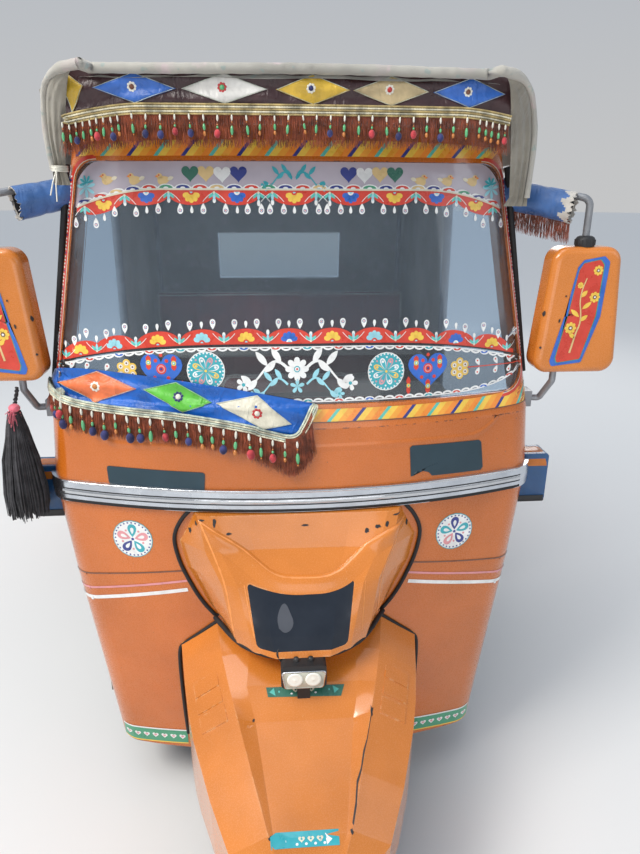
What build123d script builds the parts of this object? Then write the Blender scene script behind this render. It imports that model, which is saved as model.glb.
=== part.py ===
"""A three-wheeled auto rickshaw: curved front, canvas hood, open sides and a handlebar-steered front wheel.

Millimetres.  +Z is up, the front faces -Y and +X is the vehicle's own left.
The origin is on the floor, under the middle of the whole vehicle.
"""
from build123d import *
import math
import os

os.makedirs("parts", exist_ok=True)

# Clearances
SEAT = 0.3              # gap where curved faces of two pieces meet
PLAY = 1.0              # gap round a shaft in its bore
RUN = 6.0               # gap round anything that moves

# Whole vehicle
LENGTH = 2760.0
WHEELBASE = 1990.0
REAR_TRACK = 1140.0
NOSE_OVERHANG = 315.0   # front axle to the tip of the nose
NOSE_Y = -LENGTH / 2
TAIL_Y = LENGTH / 2
FRONT_AXLE_Y = NOSE_Y + NOSE_OVERHANG
REAR_AXLE_Y = FRONT_AXLE_Y + WHEELBASE
MIRROR_TIP_X = 765.0    # half the width over the mirrors
TOOL_X = MIRROR_TIP_X + 35.0    # cuts that go right across reach to here

# Wheels
TYRE_R = 207.0
TYRE_W = 104.0
RIM_R = 102.0           # bead seat
RIM_W = 82.0
BEAD_W = 72.0
RIM_WALL = 5.0
FLANGE_H = 11.0
HUB_R = 30.0
DRUM_R = 82.0
DRUM_W = 44.0
DISC_R = 86.0
DISC_T = 4.0
SHAFT_R = 12.0

# Front body
WALL = 22.0             # outer skin with its inner lining
FRONT_ARC = 1600.0      # plan radius of the front
CORNER_R = 80.0         # plan radius where the front turns into the side
SILL_Z = 1075.0         # the windscreen frame stands here
WAIST_LOW = 881.0
WAIST_HIGH = 934.0
TRIM_T = 9.0
TRIM_END_Y = FRONT_AXLE_Y + 295.0
# Levels of the front body: height, half width, front face and rear edge behind the front axle
FRONT_LEVELS = [
    (158.0, 492.0, 160.0, 375.0),
    (676.0, 558.0, 140.0, 375.0),
    (906.0, 587.0, 145.0, 375.0),
    (SILL_Z, 573.0, 151.0, 375.0),
    (1640.0, 486.0, 262.0, 465.0),
    (1700.0, 477.0, 274.0, 475.0),
]
GLASS_LOW = 1128.0
GLASS_HIGH = 1631.0
GLASS_HALF_LOW = 545.0
GLASS_HALF_HIGH = 461.0
GLASS_CORNER = 48.0
GLASS_SET = 6.0         # how deep the glass sits in the frame
GLASS_T = 5.0

# Arch for the front wheel
ARCH_R = 200.0
ARCH_SPRING = 420.0     # height where the arch turns round
LINER_T = 4.0
LINER_BACK_Y = FRONT_AXLE_Y + 279.0

# Steering
RAKE = math.radians(22.0)
FORK_LEAD = 45.0        # the axle stands this far ahead of the steering axis
STEM_R = 18.0
HEAD_R = 28.0
HEAD_LOW = 645.0
HEAD_HIGH = 800.0
BAR_Z = 930.0
BAR_R = 11.0
BAR_HALF = 285.0
BAR_SWEEP = 95.0
GRIP_R = 16.0
GRIP_L = 115.0
LEG_X = 88.0
LEG_R = 17.0
LINK_Y = 100.0          # link pivot behind the axle
LINK_Z = 30.0           # link pivot above the axle
DISC_X = 60.0           # the front disc stands beside the wheel

# Floor and frame
FLOOR_Z = 282.0
FLOOR_T = 20.0
SILL_BOTTOM = 200.0
RAIL_X = 280.0
RAIL_W = 40.0
RAIL_H = 60.0

# Rear tub
TUB_FRONT = REAR_AXLE_Y - 525.0
TUB_SPLIT = TAIL_Y - 165.0      # side panels end, rear panel begins
TUB_R = 120.0
TUB_TOP = 820.0
# Levels of the rear tub: height, half width, y of the rear face
TUB_LEVELS = [(240.0, 645.0, TAIL_Y - 45.0), (560.0, 660.0, TAIL_Y - 33.0), (TUB_TOP, 652.0, TAIL_Y - 48.0)]
WELL_R = 250.0          # wheel opening in the side
TUB_NOSE_R = 170.0      # rounded foot of the side panel's front edge
LID_HALF = 330.0
LID_LOW = 340.0
LID_HIGH = 690.0
HINGE_Y = TAIL_Y - 19.0
HINGE_Z = LID_HIGH + 22.0
HINGE_X = 210.0
PIN_R = 4.0
BARREL_R = 8.0
BUMPER_R = 16.0
BUMPER_Z = 285.0
BUMPER_HALF = 590.0

# Seats
DECK_Z = 560.0
DECK_T = 16.0
SHELF_Z = 800.0
DECK_FRONT = REAR_AXLE_Y - 485.0
DECK_BACK = REAR_AXLE_Y + 40.0
BULKHEAD_Y = FRONT_AXLE_Y + 1025.0
BULKHEAD_T = 22.0
BULKHEAD_TOP = 930.0
SEAT_TOP = 640.0        # driver's cushion
CUSHION_T = 90.0

# Hood
HOOD_T = 10.0
HOOD_SPLIT = 1625.0     # side curtains end above the doors
HOOD_FRONT = FRONT_AXLE_Y + 207.0   # front edge at the corners
HOOD_BOW = 28.0         # how far the front edge bows forward
HOOD_DOOR_Y = REAR_AXLE_Y - 495.0   # front edge of the rear quarter
HOOD_LIP = 1775.0       # lower edge of the hood over the windscreen
HOOD_MOUTH = 445.0      # half width of the cut over the windscreen
# Levels of the hood: height, inset of the sides, inset of the front edge, y of the rear edge
HOOD_LEVELS = [
    (HOOD_SPLIT, 0.0, 0.0, TAIL_Y - 148.0),
    (1700.0, 6.0, 4.0, TAIL_Y - 165.0),
    (1765.0, 30.0, 10.0, TAIL_Y - 210.0),
    (1800.0, 110.0, 50.0, TAIL_Y - 300.0),
    (1818.0, 280.0, 170.0, TAIL_Y - 480.0),
]
HOOD_HALF_FRONT = 552.0
HOOD_HALF_REAR = 645.0
HOOD_R = 110.0
TUBE_R = 11.0


def axis_y(z):
    """The y of the steering axis at height z."""
    return FRONT_AXLE_Y + FORK_LEAD + (z - TYRE_R) * math.tan(RAKE)


def steer_plane(z):
    """A plane square to the steering axis where it passes height z."""
    return Plane(origin=(0, axis_y(z), z), x_dir=(1, 0, 0), z_dir=(0, math.sin(RAKE), math.cos(RAKE)))


def front_solid(inset, low=FRONT_LEVELS[0][0], high=FRONT_LEVELS[-1][0], back_extra=0.0):
    """The front body as a solid, drawn in by an inset, between two heights."""
    heights = [low] + [level[0] for level in FRONT_LEVELS if low < level[0] < high] + [high]
    with BuildPart() as body:
        for height in heights:
            half, face, back = front_level(height)
            half, face, back = half - inset, FRONT_AXLE_Y + face + inset, FRONT_AXLE_Y + back + back_extra
            big, small = FRONT_ARC - inset, CORNER_R - inset
            turn = math.asin((half - small) / (big - small))
            centre_y = face + big - (big - small) * math.cos(turn)
            tangent_x, tangent_y = big * math.sin(turn), face + big - big * math.cos(turn)
            bend = (turn + math.pi / 2) / 2
            middle_x = half - small + small * math.sin(bend)
            middle_y = centre_y - small * math.cos(bend)
            with BuildSketch(Plane.XY.offset(height)):
                with BuildLine():
                    ThreePointArc((-tangent_x, tangent_y), (0, face), (tangent_x, tangent_y))
                    ThreePointArc((tangent_x, tangent_y), (middle_x, middle_y), (half, centre_y))
                    Polyline((half, centre_y), (half, back), (-half, back), (-half, centre_y))
                    ThreePointArc((-half, centre_y), (-middle_x, middle_y), (-tangent_x, tangent_y))
                make_face()
        loft(ruled=True)
    return body.part


def front_level(height):
    """Half width, front face and rear edge of the front body at a height."""
    for lower, upper in zip(FRONT_LEVELS, FRONT_LEVELS[1:]):
        if height <= upper[0]:
            share = (height - lower[0]) / (upper[0] - lower[0])
            return [a + (b - a) * share for a, b in zip(lower[1:], upper[1:])]
    return list(FRONT_LEVELS[-1][1:])


def window_prism(shrink):
    """The windscreen opening as a prism along y, drawn in by a little for the glass."""
    with BuildPart() as prism:
        with BuildSketch(Plane.XZ.offset(-FRONT_AXLE_Y - 465)):
            with BuildLine():
                Polyline(
                    (-GLASS_HALF_LOW + shrink, GLASS_LOW + shrink),
                    (GLASS_HALF_LOW - shrink, GLASS_LOW + shrink),
                    (GLASS_HALF_HIGH - shrink, GLASS_HIGH - shrink),
                    (-GLASS_HALF_HIGH + shrink, GLASS_HIGH - shrink),
                    close=True,
                )
            make_face()
            fillet(vertices(), GLASS_CORNER)
        extrude(amount=400)
    return prism.part


def arch_prism(radius, near, far):
    """The wheel arch as a prism along y between two y values."""
    with BuildPart() as prism:
        with BuildSketch(Plane.XZ.offset(-far)):
            with BuildLine():
                Line((-radius, ARCH_SPRING), (-radius, 0))
                Line((-radius, 0), (radius, 0))
                Line((radius, 0), (radius, ARCH_SPRING))
                ThreePointArc((radius, ARCH_SPRING), (0, ARCH_SPRING + radius), (-radius, ARCH_SPRING))
            make_face()
        extrude(amount=far - near)
    return prism.part


def tube(points, bends, radius):
    """A round tube along straight runs joined by arcs."""
    with BuildLine() as path:
        if bends:
            FilletPolyline(*points, radius=bends)
        else:
            Polyline(*points)
    with BuildPart() as piece:
        for run in path.line.edges():
            with BuildSketch(Plane(origin=run @ 0, z_dir=run % 0)):
                Circle(radius)
            if run.geom_type == GeomType.CIRCLE:
                turn = (run % 0).cross(run % 1)
                revolve(axis=Axis(run.arc_center, turn), revolution_arc=math.degrees(run.length / run.radius))
            else:
                extrude(amount=run.length)
    return piece.part


def block(x_range, y_range, z_range):
    """A box from its ranges."""
    with BuildPart() as piece:
        middle = [sum(pair) / 2 for pair in (x_range, y_range, z_range)]
        size = [abs(pair[1] - pair[0]) for pair in (x_range, y_range, z_range)]
        with Locations(tuple(middle)):
            Box(*size)
    return piece.part


# Front panel, below the windscreen
skin_tool = front_solid(-SEAT, back_extra=200.0)
cabin_tool = front_solid(WALL + SEAT, back_extra=200.0)
cabin_core = front_solid(WALL, back_extra=200.0)
with BuildPart() as front_panel:
    add(front_solid(0.0, high=SILL_Z))
    add(cabin_core, mode=Mode.SUBTRACT)
    add(arch_prism(ARCH_R, FRONT_AXLE_Y + 85, FRONT_AXLE_Y + 265), mode=Mode.SUBTRACT)

# Windscreen frame and glass
with BuildPart() as windscreen_frame:
    add(front_solid(0.0, low=SILL_Z))
    add(cabin_core, mode=Mode.SUBTRACT)
    add(window_prism(0.0), mode=Mode.SUBTRACT)

with BuildPart() as windscreen:
    add(front_solid(GLASS_SET, low=SILL_Z))
    add(front_solid(GLASS_SET + GLASS_T, low=SILL_Z, back_extra=200.0), mode=Mode.SUBTRACT)
    add(window_prism(SEAT), mode=Mode.INTERSECT)

# Metal trim along the waist
with BuildPart() as waist_trim:
    add(front_solid(-TRIM_T - SEAT, low=WAIST_LOW, high=WAIST_HIGH))
    add(skin_tool, mode=Mode.SUBTRACT)
    add(block((-TOOL_X, TOOL_X), (NOSE_Y, TRIM_END_Y), (WAIST_LOW, WAIST_HIGH)), mode=Mode.INTERSECT)

# Head cowl: height and x of its edge, then x and how far behind the front axle for the outer
# ridge, inner ridge and middle
COWL_EDGE_Y = FRONT_AXLE_Y + 175.0
COWL_LEVELS = [
    (600.0, 204.0, 148.0, 43.0, 108.0, 7.0, 60.0, -19.0),
    (640.0, 232.0, 160.0, 49.0, 118.0, 21.0, 70.0, 5.0),
    (735.0, 277.0, 180.0, 75.0, 142.0, 61.0, 80.0, 67.0),
    (800.0, 288.0, 215.0, 109.0, 180.0, 102.0, 105.0, 113.0),
    (WAIST_LOW - 3.0, 246.0, 232.0, 139.0, 205.0, 132.0, 120.0, 131.0),
]
LAMP_HALF_TOP = 122.0
LAMP_HALF_LOW = 102.0
LAMP_TOP = 742.0
LAMP_LOW = 612.0
LAMP_SMILE = 28.0       # how far the lamp's upper edge dips in the middle
LAMP_BACK_Y = FRONT_AXLE_Y + 110.0


def cowl_solid():
    """The faceted head cowl, from behind the front skin outwards."""
    with BuildPart() as cowl:
        for z, edge, x_out, y_out, x_in, y_in, x_mid, y_mid in COWL_LEVELS:
            ridges = [(x, FRONT_AXLE_Y + y) for x, y in ((x_out, y_out), (x_in, y_in), (x_mid, y_mid))]
            right = [(edge, COWL_EDGE_Y), *ridges]
            left = [(-x, y) for x, y in reversed(right)]
            with BuildSketch(Plane.XY.offset(z)):
                with BuildLine():
                    Polyline(*right, *left, close=True)
                make_face()
        loft(ruled=True)
    return cowl.part


def lamp_prism(shrink):
    """The headlamp's outline as a prism along y."""
    with BuildPart() as prism:
        with BuildSketch(Plane.XZ.offset(-LAMP_BACK_Y + shrink)):
            with BuildLine():
                low, high = LAMP_LOW + shrink, LAMP_TOP - shrink
                Polyline((-LAMP_HALF_TOP + shrink, high), (-LAMP_HALF_LOW + shrink, low),
                         (LAMP_HALF_LOW - shrink, low), (LAMP_HALF_TOP - shrink, high))
                ThreePointArc((LAMP_HALF_TOP - shrink, high), (0, high - LAMP_SMILE),
                              (-LAMP_HALF_TOP + shrink, high))
            make_face()
            fillet(vertices().group_by(Axis.Y)[0], 12.0)
            fillet(vertices().group_by(Axis.Y)[-1], 5.0)
        extrude(amount=200)
    return prism.part


with BuildPart() as head_cowl:
    add(cowl_solid())
    add(skin_tool, mode=Mode.SUBTRACT)
    add(lamp_prism(0.0), mode=Mode.SUBTRACT)

with BuildPart() as headlamp:
    add(cowl_solid())
    add(lamp_prism(SEAT), mode=Mode.INTERSECT)

# Nose cowl over the front wheel.  Each row is a cross-section: y, then x and z of the
# lower edge, shoulder, rib and recess floor
NOSE_WALL = 4.0
NOSE_LEVELS = [
    (FRONT_AXLE_Y + 190.0, 292.0, 215.0, 298.0, 512.0, 210.0, 592.0, 120.0, 597.0),
    (FRONT_AXLE_Y + 65.0, 274.0, 217.0, 277.0, 480.0, 186.0, 548.0, 122.0, 556.0),
    (FRONT_AXLE_Y - 10.0, 258.0, 219.0, 262.0, 455.0, 166.0, 517.0, 127.0, 523.0),
    (FRONT_AXLE_Y - 70.0, 240.0, 221.0, 245.0, 430.0, 147.0, 490.0, 108.0, 474.0),
    (NOSE_Y + 130.0, 198.0, 226.0, 203.0, 388.0, 112.0, 440.0, 88.0, 429.0),
    (NOSE_Y + 35.0, 152.0, 236.0, 160.0, 350.0, 82.0, 396.0, 72.0, 391.0),
    (NOSE_Y, 104.0, 262.0, 112.0, 318.0, 62.0, 352.0, 50.0, 351.0),
]
# Pressed louvres on the nose's flanks, stepped from one cross-section to the next
LOUVRE_YS = [FRONT_AXLE_Y + 10.0, FRONT_AXLE_Y - 26.0, FRONT_AXLE_Y - 66.0]
LOUVRE_REACH = (0.22, 0.80)     # from the shoulder towards the rib
LOUVRE_RISE = 5.0
LOUVRE_RUN = 34.0


def nose_solid(wall):
    """The nose drawn in by a wall, open below when the wall is not zero."""
    drop = 60.0 if wall else 0.0
    with BuildPart() as nose:
        for row, (y, x_low, z_low, x_side, z_side, x_rib, z_rib, x_mid, z_mid) in enumerate(NOSE_LEVELS):
            last = row == len(NOSE_LEVELS) - 1
            station = y + (wall if last else 0.0)
            right = [
                (x_low - wall, z_low - drop),
                (x_side - wall, z_side - wall / 2),
                (x_rib - wall / 2, z_rib - wall),
                (x_mid - wall / 2, z_mid - wall),
            ]
            left = [(-x, z) for x, z in reversed(right)]
            with BuildSketch(Plane.XZ.offset(-station)):
                with BuildLine():
                    Polyline(*right, *left, close=True)
                make_face()
        loft(ruled=True)
    return nose.part


def flank_point(side, y, share):
    """A point on the nose's flank: at a y, and a share of the way from the shoulder to the rib."""
    for behind, ahead in zip(NOSE_LEVELS, NOSE_LEVELS[1:]):
        if y >= ahead[0]:
            along = (y - behind[0]) / (ahead[0] - behind[0])
            x_side, z_side, x_rib, z_rib = [a + (b - a) * along for a, b in zip(behind[3:7], ahead[3:7])]
            return Vector(side * (x_side + (x_rib - x_side) * share), y, z_side + (z_rib - z_side) * share)
    return Vector(side * NOSE_LEVELS[-1][3], y, NOSE_LEVELS[-1][4])


def louvre(side, y):
    """A wedge pressed out of the flank: a step in front that runs out towards the back."""
    start, end = [flank_point(side, y, share) for share in LOUVRE_REACH]
    along = (end - start).normalized()
    outward = along.cross(Vector(0, side, 0)).normalized()
    back = flank_point(side, y + LOUVRE_RUN, LOUVRE_REACH[0]) - start
    with BuildPart() as wedge:
        with BuildSketch(Plane(origin=start, x_dir=outward, z_dir=along)) as section:
            rise, run = back.dot(outward), back.dot(section.workplanes[0].y_dir)
            with BuildLine():
                Polyline((-NOSE_WALL / 2, 0), (LOUVRE_RISE, 0), (rise, run), (rise - NOSE_WALL / 2, run), close=True)
            make_face()
        extrude(amount=(end - start).length)
    return wedge.part


with BuildPart() as nose_cowl:
    add(nose_solid(0.0))
    add(nose_solid(NOSE_WALL), mode=Mode.SUBTRACT)
    for side in (-1, 1):
        for louvre_y in LOUVRE_YS:
            add(louvre(side, louvre_y))
    add(skin_tool, mode=Mode.SUBTRACT)

# Spot lamp on its foot between cowl and nose
FOG_HALF = 50.0
FOG_Y = FRONT_AXLE_Y - 47.0
with BuildPart() as fog_lamp:
    with BuildSketch(Plane.XZ.offset(-FOG_Y)):
        with Locations((0, 571)):
            RectangleRounded(2 * FOG_HALF, 58, 10)
    extrude(amount=-44)
    fillet(faces().sort_by(Axis.Y)[-1].edges(), 8)
    add(block((-14, 14), (FOG_Y + 12, FOG_Y + 36), (500, 545)))
    add(nose_solid(0.0), mode=Mode.SUBTRACT)

# Wheel arch liner with the hole for the steering stem
with BuildPart() as wheel_liner:
    add(arch_prism(ARCH_R + LINER_T, FRONT_AXLE_Y + 85, LINER_BACK_Y))
    add(arch_prism(ARCH_R, FRONT_AXLE_Y + 75, LINER_BACK_Y - LINER_T), mode=Mode.SUBTRACT)
    add(cabin_tool, mode=Mode.INTERSECT)
    with BuildSketch(steer_plane(560.0)):
        Circle(STEM_R + RUN)
    extrude(amount=120, mode=Mode.SUBTRACT)

# Steering head: tube and the plate that ties it to the front panel
with BuildPart() as steering_head:
    add(block((-130, 130), (FRONT_AXLE_Y + 135, FRONT_AXLE_Y + 265), (HEAD_HIGH - 28, HEAD_HIGH - 10)))
    add(block((-8, 8), (FRONT_AXLE_Y + 135, FRONT_AXLE_Y + 225), (HEAD_LOW + 15, HEAD_HIGH - 28)))
    add(cabin_tool, mode=Mode.INTERSECT)
    with BuildSketch(steer_plane(HEAD_LOW)):
        Circle(HEAD_R)
    extrude(amount=(HEAD_HIGH - HEAD_LOW) / math.cos(RAKE))
    with BuildSketch(steer_plane(HEAD_LOW - 60)):
        Circle(STEM_R + PLAY)
    extrude(amount=(HEAD_HIGH - HEAD_LOW + 200) / math.cos(RAKE), mode=Mode.SUBTRACT)

# Fork: stem, offset leg and leading link
AXLE = (0.0, FRONT_AXLE_Y, TYRE_R)
STEM_FOOT = 520.0
PIVOT = (LEG_X, FRONT_AXLE_Y + LINK_Y, TYRE_R + LINK_Z)
with BuildPart() as fork:
    add(tube(
        [
            (0, axis_y(BAR_Z), BAR_Z),
            (0, axis_y(STEM_FOOT), STEM_FOOT),
            (LEG_X, axis_y(STEM_FOOT) - 25, STEM_FOOT - 75),
            PIVOT,
        ],
        28.0, LEG_R))
    with BuildSketch(steer_plane(HEAD_LOW - 25)):
        Circle(STEM_R)
    extrude(amount=(BAR_Z - HEAD_LOW + 25) / math.cos(RAKE))
    with BuildSketch(Plane.YZ.offset(LEG_X - 12)):
        with BuildLine():
            Polyline((PIVOT[1], PIVOT[2]), (AXLE[1], AXLE[2]))
        trace(line_width=34)
    extrude(amount=24)
    for centre in (PIVOT[1:], AXLE[1:]):
        with BuildSketch(Plane.YZ.offset(LEG_X - 16)):
            with Locations(centre):
                Circle(21)
        extrude(amount=32)
    with BuildSketch(Plane.YZ.offset(-34)):
        with Locations(AXLE[1:]):
            Circle(8)
    extrude(amount=LEG_X + 34)
    add(block((LEG_X - 9, LEG_X + 9), (FRONT_AXLE_Y + 20, axis_y(STEM_FOOT) - 10),
              (STEM_FOOT - 65, STEM_FOOT - 45)))
    # brake caliper over the disc
    with BuildPart(mode=Mode.PRIVATE) as caliper:
        add(block((DISC_X - 18, DISC_X + 22), (FRONT_AXLE_Y - 96, FRONT_AXLE_Y - 50),
                  (TYRE_R - 62, TYRE_R - 4)))
        with BuildSketch(Plane.YZ.offset(DISC_X - DISC_T / 2 - 5)):
            with Locations(AXLE[1:]):
                Circle(DISC_R + 5)
        extrude(amount=DISC_T + 10, mode=Mode.SUBTRACT)
        add(block((DISC_X + 12, LEG_X + 4), (FRONT_AXLE_Y - 60, FRONT_AXLE_Y - 10),
                  (TYRE_R - 20, TYRE_R - 8)))
    add(caliper.part)

# Front spring and damper
DAMPER_TOP = (LEG_X, FRONT_AXLE_Y + 30.0, STEM_FOOT - 66.0)
DAMPER_LOW = (LEG_X, FRONT_AXLE_Y - 4.0, TYRE_R + 22.0)
with BuildPart() as front_damper:
    add(tube([DAMPER_LOW, DAMPER_TOP], None, 10.0))
    spring_low = tuple(a + (b - a) * 0.22 for a, b in zip(DAMPER_LOW, DAMPER_TOP))
    spring_top = tuple(a + (b - a) * 0.92 for a, b in zip(DAMPER_LOW, DAMPER_TOP))
    add(tube([spring_low, spring_top], None, 20.0))
    add(fork.part, mode=Mode.SUBTRACT)

# Handlebar and grips
BAR_Y = axis_y(BAR_Z)
GRIP_IN = (BAR_HALF - GRIP_L, BAR_Y + BAR_SWEEP * 0.62, BAR_Z + 12)
GRIP_OUT = (BAR_HALF, BAR_Y + BAR_SWEEP, BAR_Z + 12)
with BuildPart() as handlebar:
    add(tube(
        [(-GRIP_OUT[0], *GRIP_OUT[1:]), (-GRIP_IN[0], *GRIP_IN[1:]), (-60, BAR_Y, BAR_Z + 20),
         (60, BAR_Y, BAR_Z + 20), GRIP_IN, GRIP_OUT],
        26.0, BAR_R))
    add(block((-70, 70), (BAR_Y - 55, BAR_Y + 42), (BAR_Z + 5, BAR_Z + 62)))
    fillet(edges().filter_by(Axis.Z), 14)
    add(fork.part, mode=Mode.SUBTRACT)

with BuildPart() as grips:
    for side in (-1, 1):
        start = (side * GRIP_IN[0], GRIP_IN[1], GRIP_IN[2])
        end = (side * GRIP_OUT[0], GRIP_OUT[1], GRIP_OUT[2])
        reach = tuple(a + (b - a) * 0.12 for a, b in zip(start, end))
        tip = tuple(a + (b - a) * 1.06 for a, b in zip(start, end))
        add(tube([reach, tip], None, GRIP_R))
    add(handlebar.part, mode=Mode.SUBTRACT)

# Wheels: name, x, y, side the drum or disc is on
ENGINE_HALF = 205.0
WHEELS = [
    ("front", 0.0, FRONT_AXLE_Y, 1),
    ("rear_left", REAR_TRACK / 2, REAR_AXLE_Y, -1),
    ("rear_right", -REAR_TRACK / 2, REAR_AXLE_Y, 1),
]
# Half of the tyre's section: half width and radius, from the bead to the middle of the tread
TYRE_PROFILE = [
    (BEAD_W / 2, RIM_R + SEAT), (BEAD_W / 2, RIM_R + FLANGE_H + 1), (TYRE_W / 2 - 5, 132.0), (TYRE_W / 2, 158.0),
    (TYRE_W / 2 - 3, 182.0), (TYRE_W / 2 - 10, TYRE_R - 9), (TYRE_W / 4, TYRE_R - 2), (5.0, TYRE_R),
]
wheel_pieces = {}
for wheel, wheel_x, wheel_y, side in WHEELS:
    flat = Plane(origin=(wheel_x, wheel_y, TYRE_R), x_dir=(1, 0, 0), z_dir=(0, -1, 0))
    axle_line = Axis((wheel_x, wheel_y, TYRE_R), (1, 0, 0))
    with BuildPart() as tyre:
        with BuildSketch(flat):
            with BuildLine():
                outer = [(half, radius) for half, radius in TYRE_PROFILE]
                inner = [(-half, radius) for half, radius in reversed(TYRE_PROFILE)]
                Polyline(*outer, *inner, close=True)
            make_face()
        revolve(axis=axle_line)
    with BuildPart() as rim:
        with BuildSketch(flat):
            with BuildLine():
                Polyline(
                    (-RIM_W / 2, RIM_R - RIM_WALL), (RIM_W / 2, RIM_R - RIM_WALL),
                    (RIM_W / 2, RIM_R + FLANGE_H), (BEAD_W / 2 + SEAT, RIM_R + FLANGE_H),
                    (BEAD_W / 2 + SEAT, RIM_R), (-BEAD_W / 2 - SEAT, RIM_R),
                    (-BEAD_W / 2 - SEAT, RIM_R + FLANGE_H), (-RIM_W / 2, RIM_R + FLANGE_H),
                    close=True)
            make_face()
            with BuildLine():
                Polyline((-3, HUB_R - 8), (3, HUB_R - 8), (3, RIM_R - RIM_WALL + 1),
                         (-3, RIM_R - RIM_WALL + 1), close=True)
            make_face()
            with BuildLine():
                if wheel == "front":
                    Polyline((-32, 8 + PLAY), (DISC_X + DISC_T / 2, 8 + PLAY),
                             (DISC_X + DISC_T / 2, DISC_R), (DISC_X - DISC_T / 2, DISC_R),
                             (DISC_X - DISC_T / 2, HUB_R - 6), (-32, HUB_R - 6), close=True)
                else:
                    Polyline((-side * 26, 0), (side * (DRUM_W + 4), 0), (side * (DRUM_W + 4), DRUM_R),
                             (side * 4, DRUM_R), (side * 4, HUB_R), (-side * 26, HUB_R - 8), close=True)
            make_face()
            if wheel != "front":
                with BuildLine():
                    inner = side * (REAR_TRACK / 2 - ENGINE_HALF - 14)
                    Polyline((0, 0), (inner, 0), (inner, 30), (inner - side * 40, 30),
                             (inner - side * 40, SHAFT_R), (0, SHAFT_R), close=True)
                make_face()
        revolve(axis=axle_line)
        with BuildSketch(Plane.YZ.offset(wheel_x - 10)):
            with Locations((wheel_y, TYRE_R)):
                with PolarLocations(68, 8):
                    Circle(8)
        extrude(amount=20, mode=Mode.SUBTRACT)
    wheel_pieces[wheel + "_tyre"] = tyre
    wheel_pieces[wheel + "_wheel"] = rim

# Floor with its down-turned sills
with BuildPart() as floor_pan:
    panel_back = FRONT_AXLE_Y + FRONT_LEVELS[0][3] + SEAT
    floor_half = [(232, panel_back - 82), (232, panel_back - 136), (380, panel_back - 136), (440, panel_back - 70),
                  (468, panel_back - 10), (468, panel_back), (540, panel_back), (600, panel_back + 390),
                  (618, TUB_FRONT - SEAT), (618, DECK_FRONT - SEAT)]
    with BuildSketch(Plane.XY.offset(SILL_BOTTOM)) as floor_plan:
        with BuildLine():
            Polyline(*floor_half, *[(-x, y) for x, y in reversed(floor_half)], close=True)
        make_face()
    extrude(amount=FLOOR_Z - SILL_BOTTOM)
    with BuildSketch(Plane.XY.offset(SILL_BOTTOM)):
        add(floor_plan.sketch)
        offset(amount=-18)
    extrude(amount=FLOOR_Z - FLOOR_T - SILL_BOTTOM, mode=Mode.SUBTRACT)
    add(block((-RAIL_X - 20, RAIL_X + 20), (panel_back - 210, TUB_FRONT + 100), (SILL_BOTTOM - 50, FLOOR_Z - FLOOR_T)),
        mode=Mode.SUBTRACT)

# Chassis: rails under the floor that step up over the rear axle
RAIL_TOP = FLOOR_Z - FLOOR_T
RAIL_LOW = RAIL_TOP - RAIL_H
KICK_Y = REAR_AXLE_Y - 365.0
KICK_TOP = 480.0
TUB_FOOT_Y = TUB_LEVELS[0][2] - WALL
with BuildPart() as chassis:
    for side in (-1, 1):
        across = (side * (RAIL_X - RAIL_W), side * RAIL_X)
        add(block(across, (FRONT_AXLE_Y + 185, KICK_Y + 20), (RAIL_LOW, RAIL_TOP)))
        add(block(across, (KICK_Y - 20, KICK_Y + 20), (RAIL_LOW, KICK_TOP)))
        add(block(across, (KICK_Y - 20, TUB_FOOT_Y), (KICK_TOP - RAIL_H, KICK_TOP)))
    for cross_y in (FRONT_AXLE_Y + 425, BULKHEAD_Y):
        add(block((-RAIL_X, RAIL_X), (cross_y - 20, cross_y + 20), (RAIL_LOW + 8, RAIL_TOP)))
    for cross_y in (KICK_Y, TAIL_Y - 200):
        add(block((-RAIL_X, RAIL_X), (cross_y - 20, cross_y + 20), (KICK_TOP - RAIL_H + 8, KICK_TOP)))
    add(skin_tool - cabin_tool, mode=Mode.SUBTRACT)


def tub_solid(inset, front):
    """The rear tub as a solid, drawn in by an inset."""
    with BuildPart() as tub:
        for z, half, rear in TUB_LEVELS:
            with BuildSketch(Plane.XY.offset(z)):
                with BuildLine():
                    x, y, r = half - inset, rear - inset, TUB_R - inset
                    turn = r * (1 - math.sqrt(0.5))
                    Polyline((-x, y - r), (-x, front), (x, front), (x, y - r))
                    ThreePointArc((x, y - r), (x - turn, y - turn), (x - r, y))
                    Line((x - r, y), (-x + r, y))
                    ThreePointArc((-x + r, y), (-x + turn, y - turn), (-x, y - r))
                make_face()
        loft(ruled=True)
    return tub.part


tub_shell = tub_solid(0.0, TUB_FRONT) - tub_solid(WALL, TUB_FRONT - 50)
with BuildPart() as side_profile:
    with BuildSketch(Plane.YZ.offset(-TOOL_X)):
        with BuildLine():
            Polyline((TUB_FRONT, SILL_BOTTOM), (TUB_FRONT, TUB_TOP), (TUB_SPLIT, TUB_TOP),
                     (TUB_SPLIT, SILL_BOTTOM), close=True)
        make_face()
        fillet(vertices().group_by(Axis.Y)[0].sort_by(Axis.X)[0], TUB_NOSE_R)
        with Locations((REAR_AXLE_Y, TYRE_R)):
            Circle(WELL_R, mode=Mode.SUBTRACT)
    extrude(amount=2 * TOOL_X)

with BuildPart() as body_sides:
    add(tub_shell)
    add(side_profile.part, mode=Mode.INTERSECT)

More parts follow.
